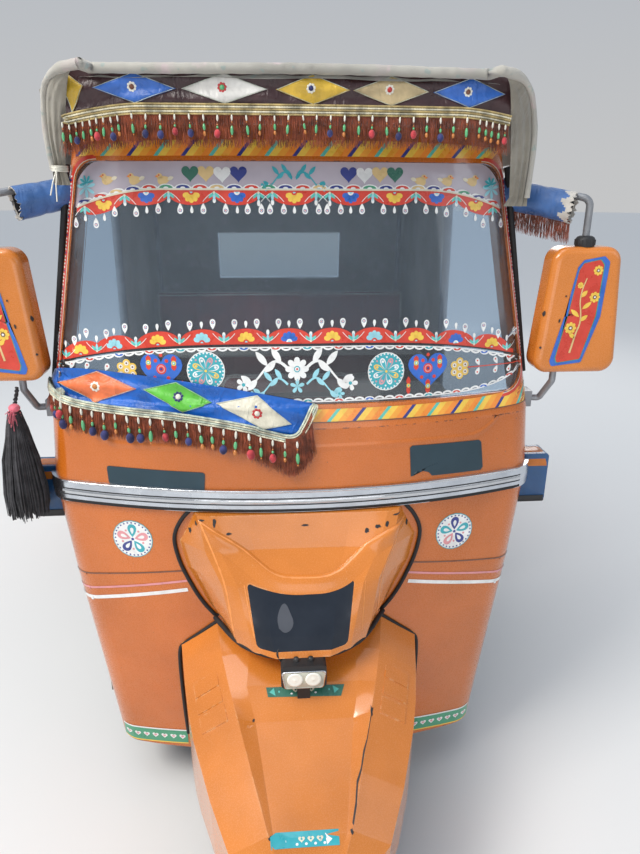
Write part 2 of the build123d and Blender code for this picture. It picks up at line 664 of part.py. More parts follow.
with BuildPart() as rear_panel:
    add(tub_shell)
    add(block((-TOOL_X, TOOL_X), (TUB_SPLIT, TAIL_Y + 20), (SILL_BOTTOM, TUB_TOP)), mode=Mode.INTERSECT)
    add(block((-LID_HALF, LID_HALF), (TAIL_Y - 130, TAIL_Y + 20), (LID_LOW, LID_HIGH)), mode=Mode.SUBTRACT)
    for x in (-HINGE_X, HINGE_X):
        for end in (-1, 1):
            add(block((x + end * 18, x + end * 30), (TAIL_Y - 55, HINGE_Y + BARREL_R), (HINGE_Z - 8, HINGE_Z + 8)))
        with BuildSketch(Plane.YZ.offset(x - 24)):
            with Locations((HINGE_Y, HINGE_Z)):
                Circle(PIN_R)
        extrude(amount=48)
    add(tub_solid(WALL, TUB_FRONT - 50), mode=Mode.SUBTRACT)

LID_GAP = 6.0
VENT_COUNT = 6
VENT_PITCH = 30.0
VENT_HALF = 200.0
with BuildPart() as engine_lid:
    add(tub_shell)
    add(block((-LID_HALF + LID_GAP, LID_HALF - LID_GAP), (TAIL_Y - 130, TAIL_Y + 20),
              (LID_LOW + LID_GAP, LID_HIGH - LID_GAP)), mode=Mode.INTERSECT)
    for row in range(VENT_COUNT):
        vent_z = LID_LOW + 110 + row * VENT_PITCH
        add(block((-VENT_HALF, VENT_HALF), (TAIL_Y - 80, TAIL_Y + 20), (vent_z, vent_z + 12)), mode=Mode.SUBTRACT)
    for x in (-HINGE_X, HINGE_X):
        add(block((x - 13, x + 13), (HINGE_Y - 25, HINGE_Y - 9), (LID_HIGH - 35, LID_HIGH - LID_GAP - 1)))
        add(block((x - 13, x + 13), (HINGE_Y - 14, HINGE_Y - 9), (LID_HIGH - 35, HINGE_Z)))
        with BuildSketch(Plane.YZ.offset(x - 13)):
            with Locations((HINGE_Y, HINGE_Z)):
                Circle(BARREL_R)
        extrude(amount=26)
        add(block((x - 13, x + 13), (HINGE_Y - 13, HINGE_Y), (HINGE_Z - 8, HINGE_Z)))
        with BuildSketch(Plane.YZ.offset(x - 40)):
            with Locations((HINGE_Y, HINGE_Z)):
                Circle(PIN_R + 0.6)
        extrude(amount=80, mode=Mode.SUBTRACT)

# Rear deck: seat box front, seat base, riser and luggage shelf
with BuildPart() as rear_deck:
    inside = 628.0
    add(block((-inside, inside), (DECK_FRONT, DECK_FRONT + DECK_T), (SILL_BOTTOM, DECK_Z)))
    add(block((-inside, inside), (DECK_FRONT, DECK_BACK + DECK_T), (DECK_Z, DECK_Z + DECK_T)))
    add(block((-inside, inside), (DECK_BACK, DECK_BACK + DECK_T), (DECK_Z, SHELF_Z)))
    add(block((-inside, inside), (DECK_BACK, TAIL_Y - 50), (SHELF_Z - DECK_T, SHELF_Z)))
    add(tub_solid(WALL + SEAT, TUB_FRONT - 50), mode=Mode.INTERSECT)
    add(block((-RAIL_X - 2, RAIL_X + 2), (DECK_FRONT - 40, DECK_FRONT + 40), (SILL_BOTTOM - 50, RAIL_TOP + SEAT)),
        mode=Mode.SUBTRACT)

# Bulkhead behind the driver, with its grab rail
RAIL_BAR_Z = 1040.0
with BuildPart() as bulkhead:
    with BuildSketch(Plane.XZ.offset(-BULKHEAD_Y)):
        with BuildLine():
            Polyline((-585, FLOOR_Z), (585, FLOOR_Z), (575, BULKHEAD_TOP), (-575, BULKHEAD_TOP), close=True)
        make_face()
        fillet(vertices().group_by(Axis.Y)[-1], 60)
    extrude(amount=-BULKHEAD_T)

    bar_y = BULKHEAD_Y + BULKHEAD_T / 2
    add(tube([(-480, bar_y, BULKHEAD_TOP - 20), (-480, bar_y, RAIL_BAR_Z), (480, bar_y, RAIL_BAR_Z),
              (480, bar_y, BULKHEAD_TOP - 20)], 40.0, 11.0))

# Driver's seat on its box, passenger bench
with BuildPart() as seat_box:
    add(block((-230, 230), (BULKHEAD_Y - 460, BULKHEAD_Y - 1), (FLOOR_Z, SEAT_TOP - CUSHION_T)))
    fillet(edges().filter_by(Axis.Z), 25)
    add(block((-216, 216), (BULKHEAD_Y - 446, BULKHEAD_Y - 14), (FLOOR_Z, SEAT_TOP - CUSHION_T - 14)), mode=Mode.SUBTRACT)

with BuildPart() as driver_cushion:
    add(block((-245, 245), (BULKHEAD_Y - 475, BULKHEAD_Y - 72), (SEAT_TOP - CUSHION_T + SEAT, SEAT_TOP)))
    fillet(edges(), 22)

with BuildPart() as driver_back:
    add(block((-235, 235), (BULKHEAD_Y - 66, BULKHEAD_Y - SEAT), (SEAT_TOP + 8, 985)))
    fillet(edges().filter_by(Axis.Y), 40)
    fillet(faces().sort_by(Axis.Y)[0].edges(), 18)

with BuildPart() as bench_cushion:
    add(block((-600, 600), (DECK_FRONT - 30, DECK_BACK - 105), (DECK_Z + DECK_T + SEAT, DECK_Z + DECK_T + 115)))
    fillet(edges(), 26)

BENCH_LEAN = 10.0
with BuildPart() as bench_back:
    with BuildSketch(Plane.YZ.offset(-600)):
        with BuildLine():
            Polyline((DECK_BACK - 97, DECK_Z + DECK_T + 122), (DECK_BACK - 6, DECK_Z + DECK_T + 122),
                     (DECK_BACK - SEAT, SHELF_Z), (DECK_BACK + 35, 1120), (DECK_BACK - 50, 1130), close=True)
        make_face()
    extrude(amount=1200)
    fillet(edges().filter_by(Axis.X), 16)

# Dashboard shelf with the instrument pod
with BuildPart() as dashboard:
    add(block((-TOOL_X, TOOL_X), (FRONT_AXLE_Y + 135, FRONT_AXLE_Y + 295), (SILL_Z - 39, SILL_Z - 19)))
    add(block((-115, 115), (FRONT_AXLE_Y + 195, FRONT_AXLE_Y + 290), (SILL_Z - 19, SILL_Z + 45)))
    add(cabin_tool, mode=Mode.INTERSECT)

# Brake pedal
with BuildPart() as brake_pedal:
    pedal_y = FRONT_AXLE_Y + 400.0
    add(block((-170, -100), (pedal_y - 25, pedal_y + 25), (FLOOR_Z + 70, FLOOR_Z + 82)))
    add(tube([(-135, pedal_y + 65, FLOOR_Z), (-135, pedal_y, FLOOR_Z + 76)], None, 8.0))
    add(block((-300, 0), (pedal_y - 50, pedal_y + 150), (FLOOR_Z - 50, FLOOR_Z)), mode=Mode.SUBTRACT)

# Engine and gearbox
ENGINE_BACK_Y = REAR_AXLE_Y + 155.0
with BuildPart() as engine:
    add(block((-ENGINE_HALF, ENGINE_HALF), (REAR_AXLE_Y - 305, ENGINE_BACK_Y), (150, 500)))
    fillet(edges(), 30)
    ear_x = RAIL_X - RAIL_W - SEAT
    for ear_y in (REAR_AXLE_Y - 225, REAR_AXLE_Y + 75):
        add(block((-ear_x, ear_x), (ear_y, ear_y + 40), (KICK_TOP - RAIL_H + 10, KICK_TOP - 12)))
    with BuildSketch(Plane.YZ.offset(-ENGINE_HALF - 8)):
        with Locations((REAR_AXLE_Y, TYRE_R)):
            Circle(38)
    extrude(amount=2 * ENGINE_HALF + 16)

# Exhaust: pipe, silencer, hanger and tail
SILENCER = (-120.0, TAIL_Y - 270.0, 300.0)
SILENCER_L = 180.0
SILENCER_R = 50.0
with BuildPart() as exhaust:
    with BuildSketch(Plane.XZ.offset(-SILENCER[1])):
        with Locations((SILENCER[0], SILENCER[2])):
            Circle(SILENCER_R)
    extrude(amount=-SILENCER_L)
    add(tube([(SILENCER[0], ENGINE_BACK_Y + SEAT, SILENCER[2]), (SILENCER[0], SILENCER[1] + 10, SILENCER[2])],
             None, 18))
    outlet_y = SILENCER[1] + SILENCER_L - 60
    add(tube([(SILENCER[0], outlet_y, SILENCER[2]), (SILENCER[0], outlet_y, SILENCER[2] - 100),
              (SILENCER[0], outlet_y + 120, SILENCER[2] - 110)], 34.0, 16))
    add(block((SILENCER[0] - 12, SILENCER[0] + 12), (TAIL_Y - 210, TAIL_Y - 190),
              (SILENCER[2] + SILENCER_R - 6, KICK_TOP - RAIL_H + 8 - SEAT)))

# Trailing arms, rear springs
HUB_FACE = REAR_TRACK / 2 - 60.0    # inner side of the drum, where the arm's plate stands
ARM_X = HUB_FACE - 80.0
PIVOT_Z = 236.0
with BuildPart() as rear_arms:
    for side in (-1, 1):
        add(tube([(side * ARM_X, KICK_Y, PIVOT_Z), (side * ARM_X, REAR_AXLE_Y - 60, TYRE_R + 8),
                  (side * (HUB_FACE - 20), REAR_AXLE_Y - 46, TYRE_R + 6)], 40.0, 20.0))
        with BuildSketch(Plane.YZ.offset(side * (HUB_FACE - 40))):
            with Locations((REAR_AXLE_Y, TYRE_R)):
                Circle(60)
        extrude(amount=side * 40)
        with BuildSketch(Plane.YZ.offset(side * (HUB_FACE - 50))):
            with Locations((REAR_AXLE_Y, TYRE_R)):
                Circle(SHAFT_R + PLAY)
        extrude(amount=side * 60, mode=Mode.SUBTRACT)
        add(tube([(side * (RAIL_X + SEAT), KICK_Y, PIVOT_Z), (side * (ARM_X + 25), KICK_Y, PIVOT_Z)], None, 14))

with BuildPart() as rear_springs:
    for side in (-1, 1):
        low = (side * ARM_X, REAR_AXLE_Y - 125, PIVOT_Z + 2)
        top = (side * ARM_X, REAR_AXLE_Y - 165, DECK_Z)
        add(tube([low, top], None, 12))
        add(tube([tuple(a + (b - a) * 0.25 for a, b in zip(low, top)),
                  tuple(a + (b - a) * 0.93 for a, b in zip(low, top))], None, 30))
    add(block((-TOOL_X, TOOL_X), (DECK_FRONT, DECK_BACK), (DECK_Z - SEAT, DECK_Z + 60)), mode=Mode.SUBTRACT)
    add(rear_arms.part, mode=Mode.SUBTRACT)

# Rear bumper and tail lamps
with BuildPart() as rear_bumper:
    bumper_y = TAIL_Y - BUMPER_R
    add(tube([(-BUMPER_HALF, bumper_y - 95, BUMPER_Z), (-BUMPER_HALF + 70, bumper_y, BUMPER_Z),
              (BUMPER_HALF - 70, bumper_y, BUMPER_Z), (BUMPER_HALF, bumper_y - 95, BUMPER_Z)], 60.0, BUMPER_R))
    for side in (-1, 1):
        add(block((side * 380 - 15, side * 380 + 15), (TAIL_Y - 80, bumper_y), (BUMPER_Z - 7, BUMPER_Z + 7)))
    add(tub_solid(-SEAT, TUB_FRONT), mode=Mode.SUBTRACT)

with BuildPart() as tail_lamps:
    for side in (-1, 1):
        add(block((side * 470 - 45, side * 470 + 45), (TAIL_Y - 80, TAIL_Y - 12), (590, 720)))
    fillet(edges().filter_by(Axis.Y), 14)
    add(tub_solid(-SEAT, TUB_FRONT), mode=Mode.SUBTRACT)

# Side lamps on the corners of the front
with BuildPart() as side_lamps:
    for side in (-1, 1):
        add(block((side * 560, side * 650), (FRONT_AXLE_Y + 300, FRONT_AXLE_Y + 360), (WAIST_LOW - 72, WAIST_HIGH + 8)))
    fillet(edges().filter_by(Axis.Y), 10)
    add(skin_tool, mode=Mode.SUBTRACT)

# Mirrors
MIRROR_Y = FRONT_AXLE_Y + 285.0
MIRROR_D = 58.0
MIRROR_LOW = 1165.0
MIRROR_HIGH = 1456.0
MIRROR_X = 664.0
MIRROR_HALF_LOW = MIRROR_TIP_X - MIRROR_X
MIRROR_HALF_HIGH = 78.0


def mirror_outline(shrink):
    """The mirror's outline, wider at the foot, about its own middle."""
    Polyline((-MIRROR_HALF_LOW + shrink, MIRROR_LOW + shrink), (MIRROR_HALF_LOW - shrink, MIRROR_LOW + shrink),
             (MIRROR_HALF_HIGH - shrink, MIRROR_HIGH - shrink), (-MIRROR_HALF_HIGH + shrink, MIRROR_HIGH - shrink),
             close=True)


with BuildPart() as mirror_housings:
    for side in (-1, 1):
        middle = Plane(origin=(side * MIRROR_X, MIRROR_Y + MIRROR_D / 2, 0), x_dir=(1, 0, 0), z_dir=(0, -1, 0))
        with BuildPart() as housing:
            with BuildSketch(middle):
                with BuildLine():
                    mirror_outline(0.0)
                make_face()
                fillet(vertices(), 34)
            extrude(amount=MIRROR_D)
            fillet(faces().sort_by(Axis.Y)[0].edges(), 16)
            with BuildSketch(middle):
                with BuildLine():
                    mirror_outline(8.0)
                make_face()
                fillet(vertices(), 26)
            extrude(amount=8, mode=Mode.SUBTRACT)

with BuildPart() as mirror_glasses:
    for side in (-1, 1):
        middle = Plane(origin=(side * MIRROR_X, MIRROR_Y + MIRROR_D / 2 - 4, 0), x_dir=(1, 0, 0), z_dir=(0, -1, 0))
        with BuildSketch(middle):
            with BuildLine():
                mirror_outline(8.0 + SEAT)
            make_face()
            fillet(vertices(), 26)
        extrude(amount=4)

ARM_R = 8.0
FOOT_X = 625.0          # the mirror's foot stands on the bracket here
ARM_ROOT = (492.0, FRONT_AXLE_Y + 393.0, 1590.0)
ARM_KNEE = (MIRROR_X - 2, MIRROR_Y, 1558.0)
with BuildPart() as mirror_arms:
    for side in (-1, 1):
        add(tube([(side * (ARM_ROOT[0] - 12), ARM_ROOT[1] + 6, ARM_ROOT[2] + 2),
                  (side * ARM_ROOT[0] + side * 20, ARM_ROOT[1] - 12, ARM_ROOT[2]),
                  (side * ARM_KNEE[0], ARM_KNEE[1], ARM_KNEE[2]),
                  (side * ARM_KNEE[0], MIRROR_Y, MIRROR_HIGH - 3)], 20.0, ARM_R))
        add(tube([(side * 560, MIRROR_Y + 45, SILL_Z + 11), (side * 612, MIRROR_Y + 35, SILL_Z + 11),
                  (side * FOOT_X, MIRROR_Y, MIRROR_LOW - 25), (side * FOOT_X, MIRROR_Y, MIRROR_LOW + 3)], 10.0, ARM_R))
        add(block((side * 560, side * 590), (MIRROR_Y + 25, MIRROR_Y + 68), (SILL_Z - 9, SILL_Z + 31)))
    add(skin_tool, mode=Mode.SUBTRACT)
    add(mirror_housings.part, mode=Mode.SUBTRACT)

# Cloth sleeves on the upper mirror arms
SLEEVE_R = 25.0
with BuildPart() as arm_sleeves:
    for side in (-1, 1):
        start = (side * (ARM_ROOT[0] + 24), ARM_ROOT[1] - 14, ARM_ROOT[2] - 1)
        end = (side * (ARM_KNEE[0] - 22), ARM_KNEE[1] + 14, ARM_KNEE[2] + 5)
        add(tube([start, end], None, SLEEVE_R))
    for side in (-1, 1):
        add(tube([(side * (ARM_ROOT[0] + 20), ARM_ROOT[1] - 12, ARM_ROOT[2]),
                  (side * ARM_KNEE[0], *ARM_KNEE[1:])], None, ARM_R + SEAT), mode=Mode.SUBTRACT)

# Yarn tassel tied to the foot of the right-hand mirror: radius at each height
TASSEL_X = -642.0
TASSEL_Y = MIRROR_Y - 32.0
TASSEL_ROWS = [(10.0, 1112.0), (17.0, 1065.0), (30.0, 1000.0), (42.0, 870.0), (38.0, 838.0)]
with BuildPart() as tassel:
    with BuildSketch(Plane(origin=(TASSEL_X, TASSEL_Y, 0), x_dir=(1, 0, 0), z_dir=(0, -1, 0))):
        with BuildLine():
            Polyline((0, TASSEL_ROWS[0][1]), *TASSEL_ROWS, (0, TASSEL_ROWS[-1][1]), close=True)
        make_face()
    revolve(axis=Axis((TASSEL_X, TASSEL_Y, 0), (0, 0, 1)))
    tie_y = MIRROR_Y - ARM_R - 5.0 - SEAT
    add(tube([(-FOOT_X, tie_y, MIRROR_LOW - 10), (-FOOT_X, tie_y, 1130), (TASSEL_X, TASSEL_Y, 1100)], 8.0, 5.0))

# Hood


def hood_plan(inset, front_inset, rear):
    """Lines of the hood's plan at one level."""
    front_half = HOOD_HALF_FRONT - inset
    rear_half = HOOD_HALF_REAR - inset
    front = HOOD_FRONT + front_inset
    ThreePointArc((-front_half, front), (0, front - HOOD_BOW), (front_half, front))
    Polyline((front_half, front), (rear_half, rear), (-rear_half, rear), (-front_half, front))


def hood_solid(inset, drop):
    """The roof of the hood, drawn in by an inset."""
    with BuildPart() as roof:
        for z, edge, front_edge, rear in HOOD_LEVELS:
            height = z if z == HOOD_SPLIT else z - drop
            with BuildSketch(Plane.XY.offset(height)):
                with BuildLine():
                    hood_plan(edge + inset, front_edge + inset, rear - inset)
                make_face()
                fillet(vertices(), HOOD_R - inset)
        loft(ruled=True)
    return roof.part


def quarter_solid(inset):
    """The rear quarters and back of the hood, drawn in by an inset."""
    with BuildPart() as quarter:
        for z, half, rear in ((TUB_TOP + SEAT, 648.0, TAIL_Y - 52.0), (HOOD_SPLIT, HOOD_HALF_REAR, HOOD_LEVELS[0][3])):
            with BuildSketch(Plane.XY.offset(z)):
                with BuildLine():
                    x, y, r = half - inset, rear - inset, HOOD_R
                    turn = r * (1 - math.sqrt(0.5))
                    front = HOOD_DOOR_Y - (60 if inset else 0)
                    Polyline((-x, y - r), (-x, front), (x, front), (x, y - r))
                    ThreePointArc((x, y - r), (x - turn, y - turn), (x - r, y))
                    Line((x - r, y), (-x + r, y))
                    ThreePointArc((-x + r, y), (-x + turn, y - turn), (-x, y - r))
                make_face()
        loft(ruled=True)
    return quarter.part


with BuildPart() as hood:
    add(hood_solid(0.0, 0.0))
    add(hood_solid(HOOD_T, HOOD_T), mode=Mode.SUBTRACT)
    add(block((-HOOD_MOUTH, HOOD_MOUTH), (HOOD_FRONT - 142, HOOD_FRONT + 158), (HOOD_SPLIT - 125, HOOD_LIP)),
        mode=Mode.SUBTRACT)

with BuildPart() as hood_curtain:
    add(quarter_solid(0.0) - quarter_solid(HOOD_T))
    with BuildSketch(Plane.XZ.offset(230 - TAIL_Y)):
        with Locations((0, 1260)):
            RectangleRounded(620, 230, 40)
    extrude(amount=-250, mode=Mode.SUBTRACT)

# Hood frame: side rails, bows and posts
def frame_x(y):
    """How far out the hood frame stands at a y, inside the hood's side."""
    share = (y - HOOD_FRONT) / (HOOD_LEVELS[0][3] - HOOD_FRONT)
    half = HOOD_HALF_FRONT + (HOOD_HALF_REAR - HOOD_HALF_FRONT) * share
    return half - HOOD_LEVELS[1][1] - HOOD_T - TUBE_R - 14.0


POST_Y = BULKHEAD_Y + 51.0
with BuildPart() as hood_frame:
    rail_z = HOOD_LEVELS[1][0]
    front_bow, last_bow = FRONT_AXLE_Y + 765, TAIL_Y - 270
    rail_points = [(462, FRONT_AXLE_Y + 476, rail_z - 14), (frame_x(front_bow + 50), front_bow + 50, rail_z),
                   (frame_x(last_bow + 20), last_bow + 20, rail_z)]
    for side in (-1, 1):
        add(tube([(side * x, y, z) for x, y, z in rail_points], 300.0, TUBE_R))
        add(tube([(side * 562, POST_Y, FLOOR_Z + 0.5), (side * frame_x(POST_Y), POST_Y, rail_z)],
                 None, TUBE_R + 3))
        add(tube([(side * 596, last_bow + 20, SHELF_Z + 0.5), (side * frame_x(last_bow), last_bow + 2, rail_z)],
                 None, TUBE_R))
    for bow_y in (front_bow, POST_Y, HOOD_DOOR_Y - 10, last_bow):
        bow_half = frame_x(bow_y)
        add(tube([(-bow_half, bow_y, rail_z), (-bow_half * 0.72, bow_y, rail_z + 56),
                  (bow_half * 0.72, bow_y, rail_z + 56), (bow_half, bow_y, rail_z)], 120.0, TUBE_R))
    add(windscreen_frame.part, mode=Mode.SUBTRACT)
    add(rear_deck.part, mode=Mode.SUBTRACT)

# Satin valance under the front edge of the hood
VALANCE_LOW = 1645.0
VALANCE_T = 4.0
VALANCE_SET = 24.0      # behind the hood's front edge, so that it hangs from the middle of the lip
with BuildPart() as front_valance:
    valance_drop = max(HOOD_LIP, HOOD_SPLIT) - SEAT - VALANCE_LOW
    for depth, mode in ((0.0, Mode.ADD), (VALANCE_T, Mode.SUBTRACT)):
        with BuildSketch(Plane.XY.offset(VALANCE_LOW)):
            with BuildLine():
                hood_plan(VALANCE_SET + depth, VALANCE_SET + depth, HOOD_LEVELS[2][3] - depth)
            make_face()
        extrude(amount=valance_drop, mode=mode)
    add(block((-HOOD_MOUTH + 2, HOOD_MOUTH - 2), (HOOD_FRONT - 142, HOOD_FRONT + 38),
              (VALANCE_LOW, VALANCE_LOW + valance_drop)), mode=Mode.INTERSECT)

# Satin valance draped across one half of the front below the glass
with BuildPart() as lower_valance:
    add(front_solid(-7.0, low=900.0, high=1300.0))
    add(skin_tool, mode=Mode.SUBTRACT)
    add(block((-TOOL_X, TOOL_X), (NOSE_Y, TRIM_END_Y - 5), (WAIST_LOW, GLASS_HIGH)), mode=Mode.INTERSECT)
    with BuildPart(mode=Mode.INTERSECT):
        with BuildSketch(Plane.XZ.offset(-FRONT_AXLE_Y - 365)):
            with BuildLine():
                Polyline((-600, 1180), (-430, 1197), (-320, 1187), (-210, 1175), (-80, 1155), (25, 1133),
                         (25, 975), (-40, 980), (-110, 992), (-220, 1013), (-450, 1018), (-520, 1028),
                         (-600, 1040), close=True)
            make_face()
        extrude(amount=400)

PIECES = {
    "front_panel": front_panel, "windscreen_frame": windscreen_frame, "windscreen": windscreen,
    "waist_trim": waist_trim, "head_cowl": head_cowl, "headlamp": headlamp, "nose_cowl": nose_cowl,
    "fog_lamp": fog_lamp, "wheel_liner": wheel_liner, "steering_head": steering_head, "fork": fork,
    "front_damper": front_damper, "handlebar": handlebar, "grips": grips,
    "floor_pan": floor_pan, "chassis": chassis, "body_sides": body_sides,
    "rear_panel": rear_panel, "engine_lid": engine_lid,
    "rear_deck": rear_deck, "bulkhead": bulkhead, "seat_box": seat_box,
    "driver_cushion": driver_cushion, "driver_back": driver_back, "bench_cushion": bench_cushion,
    "bench_back": bench_back, "dashboard": dashboard, "brake_pedal": brake_pedal, "engine": engine,
    "exhaust": exhaust, "rear_arms": rear_arms, "rear_springs": rear_springs,
    "rear_bumper": rear_bumper, "tail_lamps": tail_lamps, "side_lamps": side_lamps,
    "mirror_housings": mirror_housings, "mirror_glasses": mirror_glasses, "mirror_arms": mirror_arms,
    "arm_sleeves": arm_sleeves, "tassel": tassel, "hood": hood,
    "hood_curtain": hood_curtain, "hood_frame": hood_frame,
    "front_valance": front_valance, "lower_valance": lower_valance, **wheel_pieces,
}
for label, piece in PIECES.items():
    piece.part.label = label
    export_step(piece.part, "parts/" + label + ".step")
    print(label, len(piece.part.solids()), round(piece.part.volume / 1e6, 3))
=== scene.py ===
"""Dresses the auto rickshaw: paint, glass, ornament, satin, fringes, seats, hood cloth, tyres and light.

Metres.  +Z is up, the front faces -Y and +X is the vehicle's own left.
"""
import math
import random

import bmesh
import bpy
from bpy.props import FloatProperty, FloatVectorProperty, IntProperty, PointerProperty
from mathutils import Matrix, Vector
from mathutils.bvhtree import BVHTree


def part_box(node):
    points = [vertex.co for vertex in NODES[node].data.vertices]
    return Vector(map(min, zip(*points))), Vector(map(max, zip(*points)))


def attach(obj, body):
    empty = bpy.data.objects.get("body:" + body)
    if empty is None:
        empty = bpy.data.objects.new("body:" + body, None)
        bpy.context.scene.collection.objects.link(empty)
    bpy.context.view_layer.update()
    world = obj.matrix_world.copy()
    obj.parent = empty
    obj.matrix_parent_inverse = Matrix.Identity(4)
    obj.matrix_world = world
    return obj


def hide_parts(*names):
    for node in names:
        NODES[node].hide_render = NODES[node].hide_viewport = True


bl_info = {
    "name": "Auto Rickshaw Dressing",
    "version": (1, 0, 0),
    "blender": (4, 5, 0),
    "location": "View3D > Sidebar > Rickshaw",
    "description": "Builds the finish, ornament and soft goods of a decorated auto rickshaw",
    "category": "Object",
}

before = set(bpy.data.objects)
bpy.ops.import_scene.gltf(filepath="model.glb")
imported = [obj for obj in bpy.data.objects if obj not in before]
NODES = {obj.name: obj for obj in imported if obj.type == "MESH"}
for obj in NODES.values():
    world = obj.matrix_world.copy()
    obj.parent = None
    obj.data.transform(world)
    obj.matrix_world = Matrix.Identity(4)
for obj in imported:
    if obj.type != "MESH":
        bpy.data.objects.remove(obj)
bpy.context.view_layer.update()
BODY = "body"
STEERING = "steering"
# Width of the camera's sensor in millimetres
SENSOR = 36.0


# Settings

def colour_setting(name, description, value):
    return FloatVectorProperty(
        name=name, description=description, default=value, subtype="COLOR", size=3, min=0.0, max=1.0)


def length_setting(name, description, value):
    return FloatProperty(name=name, description=description, default=value, subtype="DISTANCE", unit="LENGTH")


class RickshawPaint(bpy.types.PropertyGroup):
    """Colours of the paint, plastic and glass."""

    body: colour_setting("Body paint", "Orange enamel of the body", (0.52, 0.122, 0.005))
    nose: colour_setting("Nose plastic", "Orange of the nose and head cowl", (0.58, 0.176, 0.018))
    lining: colour_setting("Lining", "Inner panels", (0.55, 0.50, 0.42))
    chip: colour_setting("Primer", "What shows where paint is chipped", (0.02, 0.02, 0.022))
    visor: colour_setting("Visor band", "Film across the top of the glass", (0.52, 0.46, 0.52))
    trim: colour_setting("Trim strip", "Metal strip along the waist", (0.66, 0.69, 0.74))
    plate: colour_setting("Blank plates", "Dark blank plates on the front", (0.012, 0.035, 0.05))


class RickshawCloth(bpy.types.PropertyGroup):
    """Colours and sizes of the hood, satin, fringes and seats."""

    hood: colour_setting("Hood cloth", "Faded canvas of the hood", (0.47, 0.45, 0.40))
    upper_satin: colour_setting("Upper satin", "Satin of the valance under the hood", (0.045, 0.016, 0.018))
    lower_satin: colour_setting("Lower satin", "Satin of the draped valance", (0.002, 0.105, 0.46))
    sleeve: colour_setting("Sleeve cloth", "Cloth round the mirror arms", (0.045, 0.125, 0.33))
    fringe: colour_setting("Fringe", "Rust-brown yarn", (0.26, 0.055, 0.018))
    seat: colour_setting("Seat cover", "Vinyl of the seats", (0.20, 0.028, 0.022))
    fringe_length: length_setting("Fringe length", "How far the fringe hangs below its braid", 0.058)
    drop_pitch: length_setting("Drop pitch", "Distance between two bead drops", 0.0275)
    hood_sag: length_setting("Hood sag", "How far the cloth sinks between two bows", 0.011)


class RickshawOrnament(bpy.types.PropertyGroup):
    """Sizes of the painted ornament."""

    wave: length_setting("Wave pitch", "Width of one small white scallop", 0.023)
    heart: length_setting("Heart width", "Width of a small heart", 0.036)
    big_heart: length_setting("Large heart width", "Width of a large blue heart", 0.094)
    disc: length_setting("Disc diameter", "Diameter of a round petal disc", 0.084)
    stripe: length_setting("Stripe pitch", "Distance between the slanted border stripes", 0.0145)


class RickshawView(bpy.types.PropertyGroup):
    """The camera, solved from the photograph."""

    place: FloatVectorProperty(
        name="Camera place", description="Where the camera stands", default=(-0.0568, -2.2840, 1.5720),
        subtype="TRANSLATION", unit="LENGTH", size=3)
    yaw: FloatProperty(name="Yaw", description="Turn to the right", default=math.radians(4.390),
                       subtype="ANGLE")
    pitch: FloatProperty(name="Pitch", description="Tilt down", default=math.radians(19.685), subtype="ANGLE")
    roll: FloatProperty(name="Roll", description="Roll about the line of sight", default=math.radians(-0.209),
                        subtype="ANGLE")
    lens: FloatProperty(name="Lens", description="Focal length on a 36 mm long side, in millimetres",
                        default=659.08 / 854 * SENSOR, min=5.0)


# Node trees

def supply(tree, socket, value):
    """Feeds a socket from another one, or sets its value."""
    if isinstance(value, bpy.types.NodeSocket):
        tree.links.new(value, socket)
    else:
        socket.default_value = value


def named(sockets, key):
    """The socket of a keyword: its name with underlines for spaces, or an underline and its index."""
    return sockets[int(key[1:])] if key[0] == "_" else sockets[key.replace("_", " ")]


def node(tree, kind, settings=None, **inputs):
    """A node with its settings and inputs.  An input is a value or a socket."""
    made = tree.nodes.new(kind)
    for key, value in (settings or {}).items():
        setattr(made, key, value)
    for key, value in inputs.items():
        supply(tree, named(made.inputs, key), value)
    return made


def maths(tree, operation, first, second=0.0, clamp=False):
    settings = {"operation": operation, "use_clamp": clamp}
    return node(tree, "ShaderNodeMath", settings, _0=first, _1=second).outputs[0]


def times(tree, first, second, clamp=False):
    return maths(tree, "MULTIPLY", first, second, clamp)


def blend_colour(tree, factor, first, second):
    made = node(tree, "ShaderNodeMix", {"data_type": "RGBA"}, _0=factor)
    for value, socket in ((first, made.inputs[6]), (second, made.inputs[7])):
        supply(tree, socket, value if isinstance(value, bpy.types.NodeSocket) else (*tuple(value)[:3], 1.0))
    return made.outputs[2]


def step(tree, value, low, high, out_low=0.0, out_high=1.0):
    """Value taken smoothly from one range to another."""
    settings = {"interpolation_type": "SMOOTHSTEP"}
    return node(tree, "ShaderNodeMapRange", settings, Value=value, _1=low, _2=high, _3=out_low,
                _4=out_high).outputs[0]


def position(tree):
    return node(tree, "ShaderNodeTexCoord").outputs["Object"]


def facing_of(tree):
    return node(tree, "ShaderNodeNewGeometry").outputs["Normal"]


def parts_of(tree, vector):
    return node(tree, "ShaderNodeSeparateXYZ", Vector=vector).outputs


def scaled(tree, vector, factors):
    return node(tree, "ShaderNodeVectorMath", {"operation": "MULTIPLY"}, _0=vector, _1=factors).outputs[0]


def noise(tree, scale, detail, roughness=0.5, distortion=0.0, place=None):
    """The height of a noise pattern."""
    place = position(tree) if place is None else place
    return node(tree, "ShaderNodeTexNoise", Vector=place, Scale=scale, Detail=detail, Roughness=roughness,
                Distortion=distortion).outputs["Fac"]


def waves(tree, direction, scale, distortion, detail, place):
    """The height of parallel waves across one axis."""
    settings = {"wave_type": "BANDS", "bands_direction": direction, "wave_profile": "SIN"}
    return node(tree, "ShaderNodeTexWave", settings, Vector=place, Scale=scale, Distortion=distortion,
                Detail=detail).outputs["Fac"]


def feed(tree, sockets, **sources):
    for key, source in sources.items():
        tree.links.new(source, named(sockets, key))


